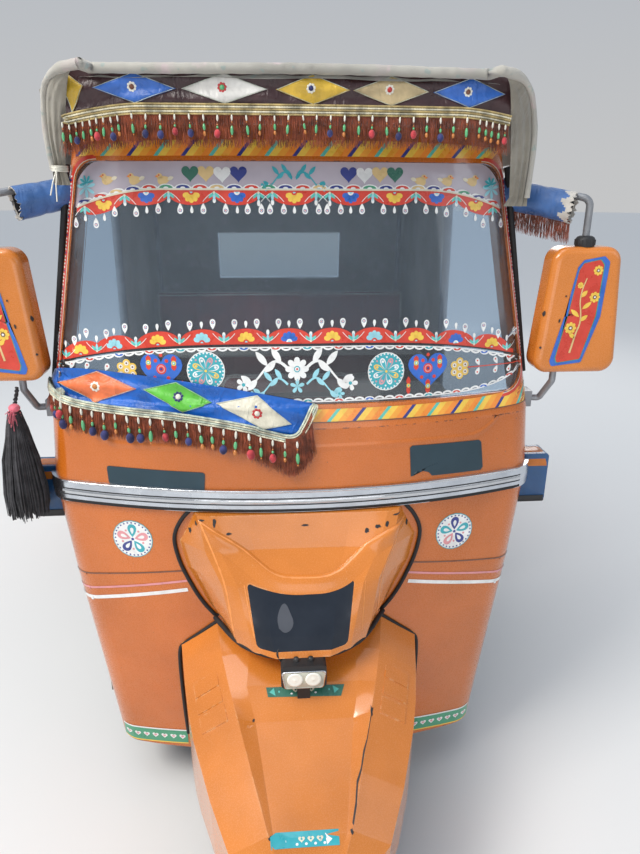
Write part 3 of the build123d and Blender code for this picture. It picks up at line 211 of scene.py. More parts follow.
def group(name, inputs, outputs):
    """An empty shader node group, and the sockets of its input and output nodes."""
    tree = bpy.data.node_groups.new(name, "ShaderNodeTree")
    for label, default in inputs.items():
        kind = "NodeSocketFloat" if isinstance(default, float) else "NodeSocketVector"
        tree.interface.new_socket(name=label, in_out="INPUT", socket_type=kind).default_value = default
    for label in outputs:
        tree.interface.new_socket(name=label, in_out="OUTPUT", socket_type="NodeSocketFloat")
    return tree, tree.nodes.new("NodeGroupInput").outputs, tree.nodes.new("NodeGroupOutput").inputs


def build_grain():
    """Fine grain: a mask and a height."""
    tree, given, out = group("Grain", {"Scale": 900.0}, ("Mask", "Height"))
    height = noise(tree, given["Scale"], 3.0)
    feed(tree, out, Mask=step(tree, height, 0.35, 0.65), Height=height)


def build_mottle():
    """Soft uneven patches, such as fading and handling."""
    tree, given, out = group("Mottle", {"Scale": 4.0, "Contrast": 0.5}, ("Mask",))
    centred = maths(tree, "SUBTRACT", noise(tree, given["Scale"], 4.0, 0.6), 0.5)
    spread = times(tree, centred, times(tree, given["Contrast"], 4.0))
    feed(tree, out, Mask=maths(tree, "ADD", spread, 0.5, clamp=True))


def build_edge_wear_and_highlight():
    """Convex edges, broken up by noise: where they are rubbed, and where a painted highlight lies along them.
    """
    tree, given, out = group("Edge Wear And Highlight", {"Radius": 0.004, "Scale": 60.0, "Amount": 0.5}, ("Mask",))
    bevel = node(tree, "ShaderNodeBevel", {"samples": 4}, Radius=given["Radius"]).outputs[0]
    facing = node(tree, "ShaderNodeVectorMath", {"operation": "DOT_PRODUCT"}, _0=bevel, _1=facing_of(tree))
    edge = step(tree, maths(tree, "SUBTRACT", 1.0, facing.outputs["Value"]), 0.01, 0.12)
    broken = times(tree, edge, step(tree, noise(tree, given["Scale"], 5.0), 0.44, 0.62))
    feed(tree, out, Mask=times(tree, broken, given["Amount"]))


def build_dust():
    """Road dust: thick low down and on top faces, thin higher up."""
    tree, given, out = group("Dust", {"Low": 0.1, "High": 0.8, "Amount": 0.5}, ("Mask",))
    place = position(tree)
    fall = step(tree, parts_of(tree, place)[2], given["Low"], given["High"], 1.0, 0.0)
    settled = times(tree, step(tree, parts_of(tree, facing_of(tree))[2], 0.2, 1.0), 0.35)
    cloud = step(tree, noise(tree, 9.0, 8.0, 0.7, place=place), 0.35, 0.75)
    total = times(tree, maths(tree, "ADD", fall, settled), cloud)
    feed(tree, out, Mask=times(tree, total, given["Amount"], clamp=True))


def build_weave():
    """Crossed threads on a flat cloth: a height and a thread mask."""
    tree, given, out = group("Weave", {"Threads": 900.0}, ("Height", "Mask"))
    place = position(tree)
    across, upright, along = (waves(tree, axis, given["Threads"], 1.5, 1.0, place) for axis in "XZY")
    crossed = maths(tree, "MAXIMUM", times(tree, across, upright), times(tree, along, across))
    feed(tree, out, Height=crossed, Mask=step(tree, crossed, 0.2, 0.7))


def build_creases():
    """Long soft creases that lie on hanging or stretched cloth and vinyl."""
    tree, given, out = group("Creases", {"Scale": 6.0, "Stretch": (1.0, 1.0, 0.25)}, ("Height",))
    place = scaled(tree, position(tree), given["Stretch"])
    height = noise(tree, given["Scale"], 3.0, distortion=0.8, place=place)
    ridge = maths(tree, "ABSOLUTE", maths(tree, "SUBTRACT", height, 0.5))
    feed(tree, out, Height=step(tree, ridge, 0.0, 0.16, 1.0, 0.0))


def build_blossoms():
    """A faded floral print: blossom masks on a jittered layout."""
    tree, given, out = group("Blossoms", {"Scale": 14.0}, ("Petals", "Leaves"))
    place = position(tree)
    warp = node(tree, "ShaderNodeTexNoise", Vector=place, Scale=30.0, Detail=2.0).outputs["Color"]
    offset = scaled(tree, warp, (0.035, 0.035, 0.035))
    moved = node(tree, "ShaderNodeVectorMath", {"operation": "ADD"}, _0=place, _1=offset).outputs[0]
    cells = node(tree, "ShaderNodeTexVoronoi", Vector=moved, Scale=given["Scale"],
                 Randomness=0.8).outputs["Distance"]
    small = node(tree, "ShaderNodeTexVoronoi", Vector=moved, Scale=times(tree, given["Scale"], 3.1),
                 Randomness=1.0).outputs["Distance"]
    petals = times(tree, step(tree, cells, 0.22, 0.34, 1.0, 0.0), step(tree, small, 0.2, 0.5, 1.0, 0.3))
    leaves = times(tree, step(tree, cells, 0.36, 0.46), step(tree, small, 0.18, 0.3, 1.0, 0.0))
    feed(tree, out, Petals=petals, Leaves=leaves)


GROUPS = {
    "Grain": build_grain, "Mottle": build_mottle, "Edge Wear And Highlight": build_edge_wear_and_highlight, "Dust": build_dust,
    "Weave": build_weave, "Creases": build_creases, "Blossoms": build_blossoms,
}


def effect(tree, name, **inputs):
    """A shared effect placed in a material."""
    if name not in bpy.data.node_groups:
        GROUPS[name]()
    return node(tree, "ShaderNodeGroup", {"node_tree": bpy.data.node_groups[name]}, **inputs).outputs


def bump(tree, height, distance, strength=1.0, under=None):
    made = node(tree, "ShaderNodeBump", Height=height, Distance=distance, Strength=strength)
    if under is not None:
        tree.links.new(under, made.inputs["Normal"])
    return made.outputs[0]


def material(name, **constants):
    """A material, its tree and the sockets of its Principled shader; a constant is set on its own socket."""
    made = bpy.data.materials.new(name)
    made.use_nodes = True
    sockets = made.node_tree.nodes["Principled BSDF"].inputs
    for key, value in constants.items():
        socket = named(sockets, key)
        socket.default_value = (*tuple(value), 1.0) if socket.type == "RGBA" else value
    made.diffuse_color = tuple(sockets["Base Color"].default_value)
    return made, made.node_tree, sockets


def mottled(tree, colour, scale, contrast, deep, pale, added=0.0):
    """A mask of soft patches, and a colour that goes with it from a deeper shade to a paler one."""
    mask = effect(tree, "Mottle", Scale=scale, Contrast=contrast)[0]
    paler = [min(1.0, c * pale + added) for c in colour]
    return mask, blend_colour(tree, mask, [c * deep for c in colour], paler)


def creased(tree, scale, stretch):
    return effect(tree, "Creases", Scale=scale, Stretch=stretch)[0]


def dusted(tree, low, high, amount):
    return effect(tree, "Dust", Low=low, High=high, Amount=amount)[0]


def woven(tree, threads, depth, under):
    """Threads on top of a normal: the effect's sockets and the new normal."""
    weave = effect(tree, "Weave", Threads=threads)
    return weave, bump(tree, weave["Height"], depth, under=under)


# Makers of the finishes

def painted(name, colour, chip, rough=0.24, dust=0.3, wear=0.5, coat=0.6):
    """Enamel or coloured plastic with fading, fine scratches, worn edges, road dust and a painted highlight
    along its convex edges.
    """
    made, tree, sockets = material(name, Coat_Roughness=0.08, IOR=1.5)
    base = mottled(tree, colour, 3.2, 0.55, 0.86, 1.22, 0.012)[1]
    # A pale band along the convex edges: a painted highlight, partly rubbed paint.
    rubbed_and_highlight = effect(tree, "Edge Wear And Highlight", Radius=0.010, Scale=9.0, Amount=wear)[0]
    base = blend_colour(tree, times(tree, rubbed_and_highlight, 0.7), base, [min(1.0, c * 0.9 + 0.12) for c in colour])
    worn = effect(tree, "Edge Wear And Highlight", Radius=0.004, Scale=75.0, Amount=wear)[0]
    worn = step(tree, worn, wear * 0.45, wear * 0.8)
    dusty = dusted(tree, 0.05, 0.60, dust)
    chips = times(tree, step(tree, noise(tree, 160.0, 2.0), 0.74, 0.78), min(1.0, wear * 1.4))
    for mask, tone in ((chips, chip), (worn, chip), (dusty, (0.30, 0.245, 0.18))):
        base = blend_colour(tree, mask, base, tone)
    grain = effect(tree, "Grain", Scale=420.0)
    roughness = maths(tree, "ADD", rough, times(tree, grain["Mask"], 0.07))
    roughness = maths(tree, "ADD", roughness, times(tree, dusty, 0.5), clamp=True)
    ripple = bump(tree, noise(tree, 7.0, 1.0), 0.0022)
    normal = bump(tree, grain["Height"], 0.00005, under=ripple)
    clear = times(tree, maths(tree, "SUBTRACT", 1.0, dusty, clamp=True), coat)
    feed(tree, sockets, Base_Color=base, Roughness=roughness, Normal=normal, Coat_Weight=clear)
    return made


def flat_paint(name, colour):
    """Sign-painter's enamel or cut film: brush streaks and slight fading."""
    made, tree, sockets = material(name, Coat_Weight=0.35, Coat_Roughness=0.12)
    streaks = creased(tree, 70.0, (1.0, 1.0, 0.3))
    mottle, base = mottled(tree, colour, 26.0, 0.6, 0.86, 1.1, 0.01)
    specks = step(tree, noise(tree, 240.0, 3.0), 0.70, 0.78, 0.0, 0.6)
    base = blend_colour(tree, specks, base, [c * 0.4 + 0.05 for c in colour])
    roughness = step(tree, mottle, 0.0, 1.0, 0.24, 0.39)
    feed(tree, sockets, Base_Color=base, Roughness=roughness, Normal=bump(tree, streaks, 0.00008))
    return made


def metal(name, colour, rough=0.3, wear=0.3, metallic=1.0, grime=0.35, dust=0.3):
    """Bare or plated metal with brushed streaks, stains and dust."""
    made, tree, sockets = material(name)
    mottle = effect(tree, "Mottle", Scale=9.0, Contrast=0.7)[0]
    streaks = creased(tree, 95.0, (0.08, 1.0, 1.0))
    base = blend_colour(tree, times(tree, mottle, grime), colour, [c * 0.35 for c in colour])
    dusty = dusted(tree, 0.05, 0.5, dust)
    base = blend_colour(tree, dusty, base, (0.25, 0.2, 0.15))
    roughness = step(tree, mottle, 0.0, 1.0, rough * 0.75, rough * 1.5)
    metalness = times(tree, maths(tree, "SUBTRACT", 1.0, dusty, clamp=True), metallic)
    feed(tree, sockets, Base_Color=base, Roughness=roughness, Metallic=metalness,
         Normal=bump(tree, streaks, 0.00006 + 0.0001 * wear))
    return made


def black_paint(name, colour):
    """Black paint on steel, dusty and rubbed at its edges."""
    made, tree, sockets = material(name)
    worn = effect(tree, "Edge Wear And Highlight", Radius=0.003, Scale=90.0, Amount=0.8)[0]
    dusty = dusted(tree, 0.1, 0.9, 0.7)
    base = mottled(tree, colour, 14.0, 0.6, 1.0, 2.2)[1]
    base = blend_colour(tree, worn, base, (0.16, 0.14, 0.125))
    base = blend_colour(tree, dusty, base, (0.16, 0.13, 0.10))
    roughness = maths(tree, "ADD", 0.42, times(tree, dusty, 0.4), clamp=True)
    grain = effect(tree, "Grain", Scale=520.0)["Height"]
    feed(tree, sockets, Base_Color=base, Roughness=roughness, Normal=bump(tree, grain, 0.0001))
    return made


def rubber(name, colour, dust=0.1):
    """Black rubber with dust in its grain."""
    made, tree, sockets = material(name, IOR=1.45)
    dusty = dusted(tree, 0.02, 0.5, dust)
    mottle, base = mottled(tree, colour, 30.0, 0.8, 1.0, 1.9)
    base = blend_colour(tree, dusty, base, (0.15, 0.125, 0.095))
    grain = effect(tree, "Grain", Scale=700.0)["Height"]
    roughness = step(tree, mottle, 0.0, 1.0, 0.55, 0.8)
    feed(tree, sockets, Base_Color=base, Roughness=roughness, Normal=bump(tree, grain, 0.00018))
    return made


def moulded(name, colour, rough=0.5, grain_size=600.0, depth=0.00012):
    """Grained plastic."""
    made, tree, sockets = material(name)
    mottle, base = mottled(tree, colour, 12.0, 0.5, 1.0, 1.35, 0.004)
    grain = effect(tree, "Grain", Scale=grain_size)["Height"]
    roughness = step(tree, mottle, 0.0, 1.0, rough * 0.85, rough * 1.2)
    feed(tree, sockets, Base_Color=base, Roughness=roughness, Normal=bump(tree, grain, depth))
    return made


def clear_glass(name, tint, rough=0.03, weight=0.94):
    """Laminated glass with a film of dust."""
    made, tree, sockets = material(name, Base_Color=tint, Transmission_Weight=weight, IOR=1.5,
                                   Specular_IOR_Level=0.9)
    feed(tree, sockets, Roughness=step(tree, noise(tree, 11.0, 6.0, 0.65), 0.4, 0.8, rough, rough + 0.06))
    made.use_screen_refraction = True
    return made


def film(name, colour, alpha):
    """Tinted film on the glass."""
    made, tree, sockets = material(name, Base_Color=colour, Roughness=0.16, Coat_Weight=0.8,
                                   Coat_Roughness=0.04,
                                   Alpha=alpha)
    feed(tree, sockets, Base_Color=mottled(tree, colour, 5.0, 0.5, 0.85, 1.12)[1])
    return made


def lens(name, colour, ribs=210.0):
    """Ribbed lamp plastic."""
    made, tree, sockets = material(name, Coat_Weight=0.6, Coat_Roughness=0.05, IOR=1.49, Roughness=0.12)
    ribbed = bump(tree, waves(tree, "X", ribs, 0.0, 2.0, position(tree)), 0.0006)
    feed(tree, sockets, Base_Color=mottled(tree, colour, 40.0, 0.5, 0.8, 1.0)[1], Normal=ribbed)
    return made


def satin(name, colour, sheen=0.3):
    """Shiny woven satin with soft creases."""
    made, tree, sockets = material(name, Sheen_Weight=sheen, Sheen_Roughness=0.35, Anisotropic=0.4, IOR=1.5)
    mottle, base = mottled(tree, colour, 16.0, 0.7, 0.72, 1.25, 0.006)
    folds = bump(tree, creased(tree, 24.0, (1.0, 1.0, 0.45)), 0.0016, strength=0.7)
    normal = woven(tree, 420.0, 0.00008, folds)[1]
    roughness = step(tree, mottle, 0.0, 1.0, 0.24, 0.40)
    feed(tree, sockets, Base_Color=base, Roughness=roughness, Normal=normal)
    return made


def cloth(name, colour, crease=0.0012):
    """Plain woven cloth."""
    made, tree, sockets = material(name, Sheen_Weight=0.25, Sheen_Roughness=0.5, Roughness=0.85)
    base = mottled(tree, colour, 10.0, 0.7, 0.78, 1.18, 0.01)[1]
    weave, normal = woven(tree, 300.0, 0.00025, bump(tree, creased(tree, 14.0, (1.0, 1.0, 0.4)), crease))
    base = blend_colour(tree, times(tree, weave["Mask"], 0.25), base, [c * 0.6 for c in colour])
    feed(tree, sockets, Base_Color=base, Normal=normal)
    return made


def printed_canvas(name, colour):
    """Faded canvas with a washed-out floral print and stains."""
    made, tree, sockets = material(name, Roughness=0.88, Sheen_Weight=0.2, Sheen_Roughness=0.5)
    base = mottled(tree, colour, 3.0, 0.75, 0.74, 1.22)[1]
    printed = effect(tree, "Blossoms", Scale=15.0)
    stains = step(tree, noise(tree, 2.2, 7.0, 0.75), 0.5, 0.75, 0.0, 0.5)
    for mask, tone in ((times(tree, printed["Petals"], 0.62), (0.62, 0.48, 0.50)),
                       (times(tree, printed["Leaves"], 0.55), (0.28, 0.38, 0.36)),
                       (stains, (0.23, 0.19, 0.14))):
        base = blend_colour(tree, mask, base, tone)
    folds = bump(tree, creased(tree, 7.0, (1.0, 0.5, 0.7)), 0.0035, strength=0.8)
    feed(tree, sockets, Base_Color=base, Normal=woven(tree, 260.0, 0.0003, folds)[1])
    return made


def yarn(name, colour):
    """Twisted threads."""
    made, tree, sockets = material(name, Roughness=0.75, Sheen_Weight=0.35, Sheen_Roughness=0.4)
    grain = effect(tree, "Grain", Scale=700.0)["Height"]
    feed(tree, sockets, Base_Color=mottled(tree, colour, 45.0, 0.9, 0.55, 1.5, 0.01)[1],
         Normal=bump(tree, grain, 0.0004))
    return made


def vinyl(name, colour):
    """Seat vinyl with a leather grain, creases and shine where it is sat on."""
    made, tree, sockets = material(name, Coat_Weight=0.15, Coat_Roughness=0.3)
    cells = node(tree, "ShaderNodeTexVoronoi", {"feature": "DISTANCE_TO_EDGE"}, Vector=position(tree),
                 Scale=260.0)
    mottle, base = mottled(tree, colour, 6.0, 0.8, 0.7, 1.3, 0.01)
    normal = bump(tree, creased(tree, 12.0, (1.0, 1.0, 1.0)), 0.0012)
    normal = bump(tree, step(tree, cells.outputs["Distance"], 0.0, 0.1), 0.00022, under=normal)
    feed(tree, sockets, Base_Color=base, Roughness=step(tree, mottle, 0.0, 1.0, 0.34, 0.6), Normal=normal)
    return made


def plain(name, colour):
    """A matt colour without any pattern."""
    return material(name, Base_Color=colour, Roughness=0.95, Specular_IOR_Level=0.1)[0]


# Signs and films on the body: finish name and colour
ENAMELS = {
    "Enamel Red": (0.62, 0.045, 0.022), "Enamel Orange": (0.86, 0.26, 0.03),
    "Enamel Yellow": (0.86, 0.56, 0.07),
    "Enamel White": (0.80, 0.80, 0.78), "Enamel Cream": (0.72, 0.66, 0.50),
    "Enamel Navy": (0.022, 0.035, 0.22),
    "Enamel Blue": (0.025, 0.13, 0.52), "Enamel Teal": (0.03, 0.36, 0.42), "Enamel Sea": (0.10, 0.50, 0.42),
    "Enamel Tan": (0.70, 0.50, 0.22), "Enamel Green": (0.03, 0.15, 0.10), "Enamel Pink": (0.70, 0.28, 0.30),
    "Enamel Black": (0.012, 0.012, 0.014), "Enamel Brown": (0.16, 0.06, 0.03),
    "Enamel Sky": (0.30, 0.62, 0.70),
    "Enamel Leaf": (0.05, 0.30, 0.16), "Enamel Amber": (0.86, 0.36, 0.04),
}
# Other finishes: maker, colour and the maker's other values.
# A word stands for the colour setting of that name.
FINISHES = {
    "Body Paint": (painted, "body", dict(chip="chip", dust=0.12)),
    # On the nose the chip colour is a pale orange: its worn edges carry a painted highlight, and its chips
    # show pale.
    "Nose Paint": (painted, "nose", dict(chip=(0.72, 0.36, 0.15), rough=0.22, dust=0.05, wear=0.45)),
    "Mirror Paint": (painted, "nose", dict(chip="chip", dust=0.05)),
    "Lining Paint": (painted, "lining", dict(chip=(0.3, 0.28, 0.25), rough=0.4, wear=0.3, coat=0.1)),
    "Floor Paint": (painted, (0.05, 0.05, 0.05), dict(chip=(0.2, 0.17, 0.14), rough=0.6, dust=1.0, coat=0.0)),
    # Its blue tint darkens the cabin seen through the glass: painted shade for the dim inside.
    "Windscreen Glass": (clear_glass, (0.46, 0.58, 0.70), {}),
    "Window Vinyl": (clear_glass, (0.72, 0.72, 0.66), dict(rough=0.22, weight=0.8)),
    "Visor Film": (film, "visor", dict(alpha=0.9)),
    "Smoked Film": (film, (0.035, 0.04, 0.045), dict(alpha=0.5)),
    "Clear Lens": (lens, (0.62, 0.64, 0.60), dict(ribs=320.0)),
    "Red Lens": (lens, (0.42, 0.010, 0.008), {}),
    "Amber Lens": (lens, (0.72, 0.20, 0.012), {}),
    "Blue Lens": (lens, (0.012, 0.10, 0.28), {}),
    "Trim Metal": (metal, "trim", dict(rough=0.26)),
    "Silver Paint": (metal, (0.42, 0.43, 0.44), dict(rough=0.42, metallic=0.6, grime=0.6, dust=0.9)),
    "Cast Metal": (metal, (0.20, 0.20, 0.205), dict(rough=0.55, grime=0.9, dust=1.0)),
    "Exhaust Steel": (metal, (0.16, 0.11, 0.085), dict(rough=0.55, grime=0.9, dust=0.8)),
    "Grey Tube": (metal, (0.33, 0.34, 0.36), dict(rough=0.4, metallic=0.5, grime=0.6)),
    "Chrome": (metal, (0.62, 0.63, 0.65), dict(rough=0.12, grime=0.2, dust=0.2)),
    "Silvered Glass": (metal, (0.72, 0.74, 0.76), dict(rough=0.03, wear=0.0, grime=0.05, dust=0.0)),
    "Black Steel": (black_paint, (0.014, 0.014, 0.015), {}),
    "Black Beading": (rubber, (0.010, 0.010, 0.011), {}),
    "Tyre Rubber": (rubber, (0.018, 0.018, 0.019), dict(dust=0.8)),
    "Grip Rubber": (rubber, (0.018, 0.018, 0.019), {}),
    "Lamp Cover": (moulded, (0.010, 0.014, 0.022), dict(rough=0.18, depth=0.00003)),
    "Scuffed Cover": (moulded, (0.050, 0.055, 0.068), {}),
    "Black Plastic": (moulded, (0.014, 0.014, 0.015), {}),
    "Blank Plate": (moulded, "plate", dict(rough=0.35)),
    "Dial Face": (moulded, (0.02, 0.02, 0.022), dict(rough=0.25, depth=0.00002)),
    "Fog Lens": (moulded, (0.44, 0.43, 0.35), dict(rough=0.22, grain_size=900.0, depth=0.00005)),
    "Reflector": (moulded, (0.80, 0.78, 0.68), dict(rough=0.12, depth=0.00002)),
    "Primer": (moulded, "chip", dict(rough=0.7)),
    "Rubbed Paint": (moulded, (0.66, 0.24, 0.06), dict(rough=0.35, depth=0.00003)),
    "Bead Brown": (moulded, (0.14, 0.05, 0.025), dict(rough=0.25)),
    "Bead White": (moulded, (0.62, 0.60, 0.52), dict(rough=0.2)),
    "Bead Green": (moulded, (0.10, 0.36, 0.16), dict(rough=0.2)),
    "Bead Navy": (moulded, (0.012, 0.018, 0.10), dict(rough=0.35)),
    "Bead Red": (moulded, (0.42, 0.03, 0.03), dict(rough=0.35)),
    "Bead Amber": (moulded, (0.45, 0.16, 0.04), dict(rough=0.25)),
    "Hood Canvas": (printed_canvas, "hood", {}),
    "Hood Piping": (cloth, (0.40, 0.38, 0.34), {}),
    # The corner flaps: a darker copy of the hood's cloth, that is, painted shade.
    "Flap Cloth": (cloth, (0.30, 0.275, 0.225), dict(crease=0.003)),
    "Torn Backing": (cloth, (0.62, 0.58, 0.52), {}),
    "Upper Satin": (satin, "upper_satin", {}),
    "Lower Satin": (satin, "lower_satin", {}),
    "Sleeve Cloth": (satin, "sleeve", dict(sheen=0.2)),
    "Satin Yellow": (satin, (0.66, 0.42, 0.04), {}),
    "Satin Blue": (satin, (0.03, 0.13, 0.48), {}),
    "Satin White": (satin, (0.66, 0.64, 0.60), {}),
    "Satin Tan": (satin, (0.48, 0.37, 0.20), {}),
    "Satin Orange": (satin, (0.72, 0.16, 0.05), {}),
    "Satin Green": (satin, (0.10, 0.44, 0.04), {}),
    "Satin Cream": (satin, (0.62, 0.58, 0.46), {}),
    "Gold Braid": (yarn, (0.40, 0.30, 0.12), {}),
    "Silver Braid": (yarn, (0.48, 0.53, 0.44), {}),
    "Cream Braid": (yarn, (0.60, 0.56, 0.42), {}),
    "Fringe Yarn": (yarn, "fringe", {}),
    "Navy Yarn": (yarn, (0.02, 0.022, 0.11), {}),
    "Red Yarn": (yarn, (0.45, 0.035, 0.045), {}),
    "Black Yarn": (yarn, (0.026, 0.024, 0.028), {}),
    "Pink Yarn": (yarn, (0.55, 0.12, 0.16), {}),
    "Cushion Vinyl": (vinyl, "seat", {}),
    "Cushion Piping": (vinyl, (0.55, 0.50, 0.42), {}),
    "Floor Pale": (plain, (0.74, 0.735, 0.72), {}),
}


def setting(value):
    """The colour setting of a name, or another value as it is."""
    if not isinstance(value, str):
        return value
    scene = bpy.context.scene
    home = scene.rickshaw_paint if hasattr(scene.rickshaw_paint, value) else scene.rickshaw_cloth
    return tuple(getattr(home, value))


def finish(name):
    """A finish by name, made when it is first asked for."""
    made = bpy.data.materials.get(name)
    if made:
        return made
    if name in ENAMELS:
        return flat_paint(name, ENAMELS[name])
    maker, colour, values = FINISHES[name]
    return maker(name, setting(colour), **{key: setting(value) for key, value in values.items()})


# Shapes

class Shape:
    """Points, faces and finishes gathered for one piece."""

    def __init__(self):
        self.points = []
        self.faces = []
        self.finishes = []

    def add(self, points, faces, name):
        start = len(self.points)
        self.points.extend(tuple(p) for p in points)
        self.faces.extend(tuple(start + i for i in face) for face in faces)
        self.finishes.extend([name] * len(faces))

    def grid(self, rows, name, closed=False):
        """A net of quads over rows of points.  A finish may be a function of row and column."""
        width = len(rows[0])
        start = len(self.points)
        for row in rows:
            self.points.extend(tuple(p) for p in row)
        for j in range(len(rows) - 1):
            for i in range(width if closed else width - 1):
                k = (i + 1) % width
                chosen = name(j, i) if callable(name) else name
                if chosen is None:
                    continue
                self.faces.append((start + j * width + i, start + j * width + k,
                                   start + (j + 1) * width + k, start + (j + 1) * width + i))
                self.finishes.append(chosen)

    def fan(self, centre, rim, name):
        count = len(rim)
        self.add([centre, *rim], [(0, 1 + i, 1 + (i + 1) % count) for i in range(count)], name)

    def tube(self, path, radii, name, sides=8, caps=True):
        """A round tube along points, with a radius at each."""
        path = [Vector(p) for p in path]
        radii = [radii] * len(path) if isinstance(radii, (int, float)) else radii
        rows = []
        normal = None
        for index, point in enumerate(path):
            before, after = path[max(0, index - 1)], path[min(len(path) - 1, index + 1)]
            along = (after - before).normalized()
            if normal is None:
                normal = along.orthogonal().normalized()
            normal = (normal - along * normal.dot(along)).normalized()
            across = along.cross(normal)
            rows.append([point + (normal * math.cos(a) + across * math.sin(a)) * radii[index]
                         for a in (2 * math.pi * k / sides for k in range(sides))])
        self.grid(rows, name, closed=True)
        if caps:
            for row, centre in ((rows[0][::-1], path[0]), (rows[-1], path[-1])):
                self.fan(centre, row, name)

    def hoop(self, path, radius, name, sides):
        """A tube along a closed path."""
        self.tube(path + path[:1], radius, name, sides=sides, caps=False)

    def lathe(self, centre, axis, profile, name, sides=12):
        """A round body: radius and distance along the axis at each profile point."""
        axis = Vector(axis).normalized()
        side = axis.orthogonal().normalized()
        across = axis.cross(side)
        rows = [[Vector(centre) + axis * along + (side * math.cos(a) + across * math.sin(a)) * radius
                 for a in (2 * math.pi * k / sides for k in range(sides))] for radius, along in profile]
        self.grid(rows, name, closed=True)

    def piece(self, name, slot, body=BODY, smooth=True, replaces=()):
        """The finished object, riding on its body."""
        mesh = bpy.data.meshes.new(name)
        mesh.from_pydata(self.points, [], self.faces)
        names = sorted(set(self.finishes))
        for label in names:
            mesh.materials.append(finish(label))
        where = {label: index for index, label in enumerate(names)}
        mesh.polygons.foreach_set("material_index", [where[label] for label in self.finishes])
        mesh.polygons.foreach_set("use_smooth", [smooth] * len(self.faces))
        mesh.validate()
        mesh.update()
        made = bpy.data.objects.new(name, mesh)
        bpy.context.scene.collection.objects.link(made)
        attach(made, body)
        if replaces:
            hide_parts(*replaces)
        return made


def apply_modifiers(piece):
    """Bakes a piece's modifiers into its mesh."""
    graph = bpy.context.evaluated_depsgraph_get()
    mesh = bpy.data.meshes.new_from_object(piece.evaluated_get(graph))
    piece.modifiers.clear()
    piece.data = mesh


def modifier(piece, kind, **settings):
    made = piece.modifiers.new(kind.title(), kind)
    for key, value in settings.items():
        setattr(made, key, value)
    return made


# From how far off a skin is met, and how far along that way its nearest point is looked for if it is missed
CAST_FROM, CAST_NEAR = 3.0, 2.1


class Skin:
    """The outside of some nodes or pieces, seen along one direction."""

    def __init__(self, names, direction=(0, 1, 0)):
        self.direction = Vector(direction)
        points, faces = [], []
        for name in names:
            mesh = (NODES[name] if isinstance(name, str) else name).data
            start = len(points)
            points.extend(v.co.copy() for v in mesh.vertices)
            faces.extend([start + i for i in p.vertices] for p in mesh.polygons)
        self.tree = BVHTree.FromPolygons(points, faces)

    def at(self, x, z, lift=0.0):
        """The point of the surface straight behind (x, z), raised off it by a lift."""
        return self.hit(Vector((x, -CAST_FROM * self.direction.y, z)), lift)

    def hit(self, start, lift=0.0):
        """The point met from a start along the direction, or else the one nearest to the outside there."""
        point, normal, _, _ = self.tree.ray_cast(start, self.direction)
        if point is None:
            point, normal, _, _ = self.tree.find_nearest(start + self.direction * CAST_NEAR)
        if normal.dot(self.direction) > 0:
            normal = -normal
        return point + normal * lift


def steps(first, last, count):
    """Evenly spaced numbers from first to last."""
    return [first + (last - first) * k / (count - 1) for k in range(count)]


def lerp(first, second, share):
    return first + (second - first) * share


def between(table, x):
    """A value read from a table of (x, value) pairs, on straight lines between them."""
    if x <= table[0][0]:
        return table[0][1]
    for (low, first), (high, second) in zip(table, table[1:]):
        if x <= high:
            return lerp(first, second, (x - low) / (high - low))
    return table[-1][1]


def turns(count, start=0.0, share=1.0):
    """Angles round a circle or a share of it."""
    return [start + 2 * math.pi * share * k / count for k in range(count)]


def circle(count, radius=1.0, start=0.0):
    return [(radius * math.cos(a), radius * math.sin(a)) for a in turns(count, start)]


def polar(x, z, reach, angle):
    """The place at a distance and an angle from another."""
    return x + reach * math.cos(angle), z + reach * math.sin(angle)


def way_up(facing):
    """The turn of a motif that stands, or of one that hangs."""
    return 0.0 if facing > 0 else math.pi


def middle_of(points):
    """The mean of points in the plane."""
    return [sum(p[k] for p in points) / len(points) for k in (0, 1)]


ARC_POINTS = 7


def rounded(corners, radius, count=ARC_POINTS):
    """A polygon's outline with round corners, anticlockwise as its corners are."""
    outline = []
    for index, corner in enumerate(corners):
        tip = Vector(corner)
        back = (Vector(corners[index - 1]) - tip).normalized()
        ahead = (Vector(corners[(index + 1) % len(corners)]) - tip).normalized()
        half = back.angle(ahead) / 2
        centre = tip + (back + ahead).normalized() * (radius / math.sin(half))
        first = tip + back * (radius / math.tan(half)) - centre
        sweep = math.pi - 2 * half
        for angle in steps(0.0, sweep, count):
            outline.append((centre.x + first.x * math.cos(angle) - first.y * math.sin(angle),
                            centre.y + first.x * math.sin(angle) + first.y * math.cos(angle)))
    return outline


# Motif outlines, anticlockwise and one unit across.  Tears and leaves stand on their point.
TEAR = [(0.65 * math.sin(a) * abs(math.sin(a / 2)), 0.5 - 0.5 * math.cos(a)) for a in turns(16)]
LEAF = [(0.5 * math.sin(a) * abs(math.sin(a)), 0.5 - 0.5 * math.cos(a)) for a in turns(16)]
DISC = circle(20, 0.5)
DOME = [(0.5 * math.cos(a), math.sin(a)) for a in turns(14, 0.0, 14 / 26)]
HEART = [(0.5 * math.sin(a) ** 3,
          (13 * math.cos(a) - 5 * math.cos(2 * a) - 2 * math.cos(3 * a) - math.cos(4 * a)) / 32)
         for a in reversed(turns(32))]
PENNANT = [(0.0, 0.0), (0.5, 1.0), (-0.5, 0.75)]


def placed(outline, x, z, width, height=None, turn=0.0):
    """A motif scaled, turned and set at a place."""
    height = width if height is None else height
    across, along = math.cos(turn), math.sin(turn)
    return [(x + across * px * width - along * pz * height, z + along * px * width + across * pz * height)
            for px, pz in outline]


def on_edge(first, second, shares):
    """Points between two ends, at shares of the way."""
    return [(lerp(first[0], second[0], share), lerp(first[1], second[1], share)) for share in shares]


def edges_of(outline):
    return zip(outline, outline[1:] + outline[:1])


def divided(outline, pitch=0.012):
    """An outline with more points, at most a pitch apart."""
    points = []
    for first, second in edges_of(outline):
        count = max(1, math.ceil(math.hypot(second[0] - first[0], second[1] - first[1]) / pitch))
        points += on_edge(first, second, [k / count for k in range(count)])
    return points


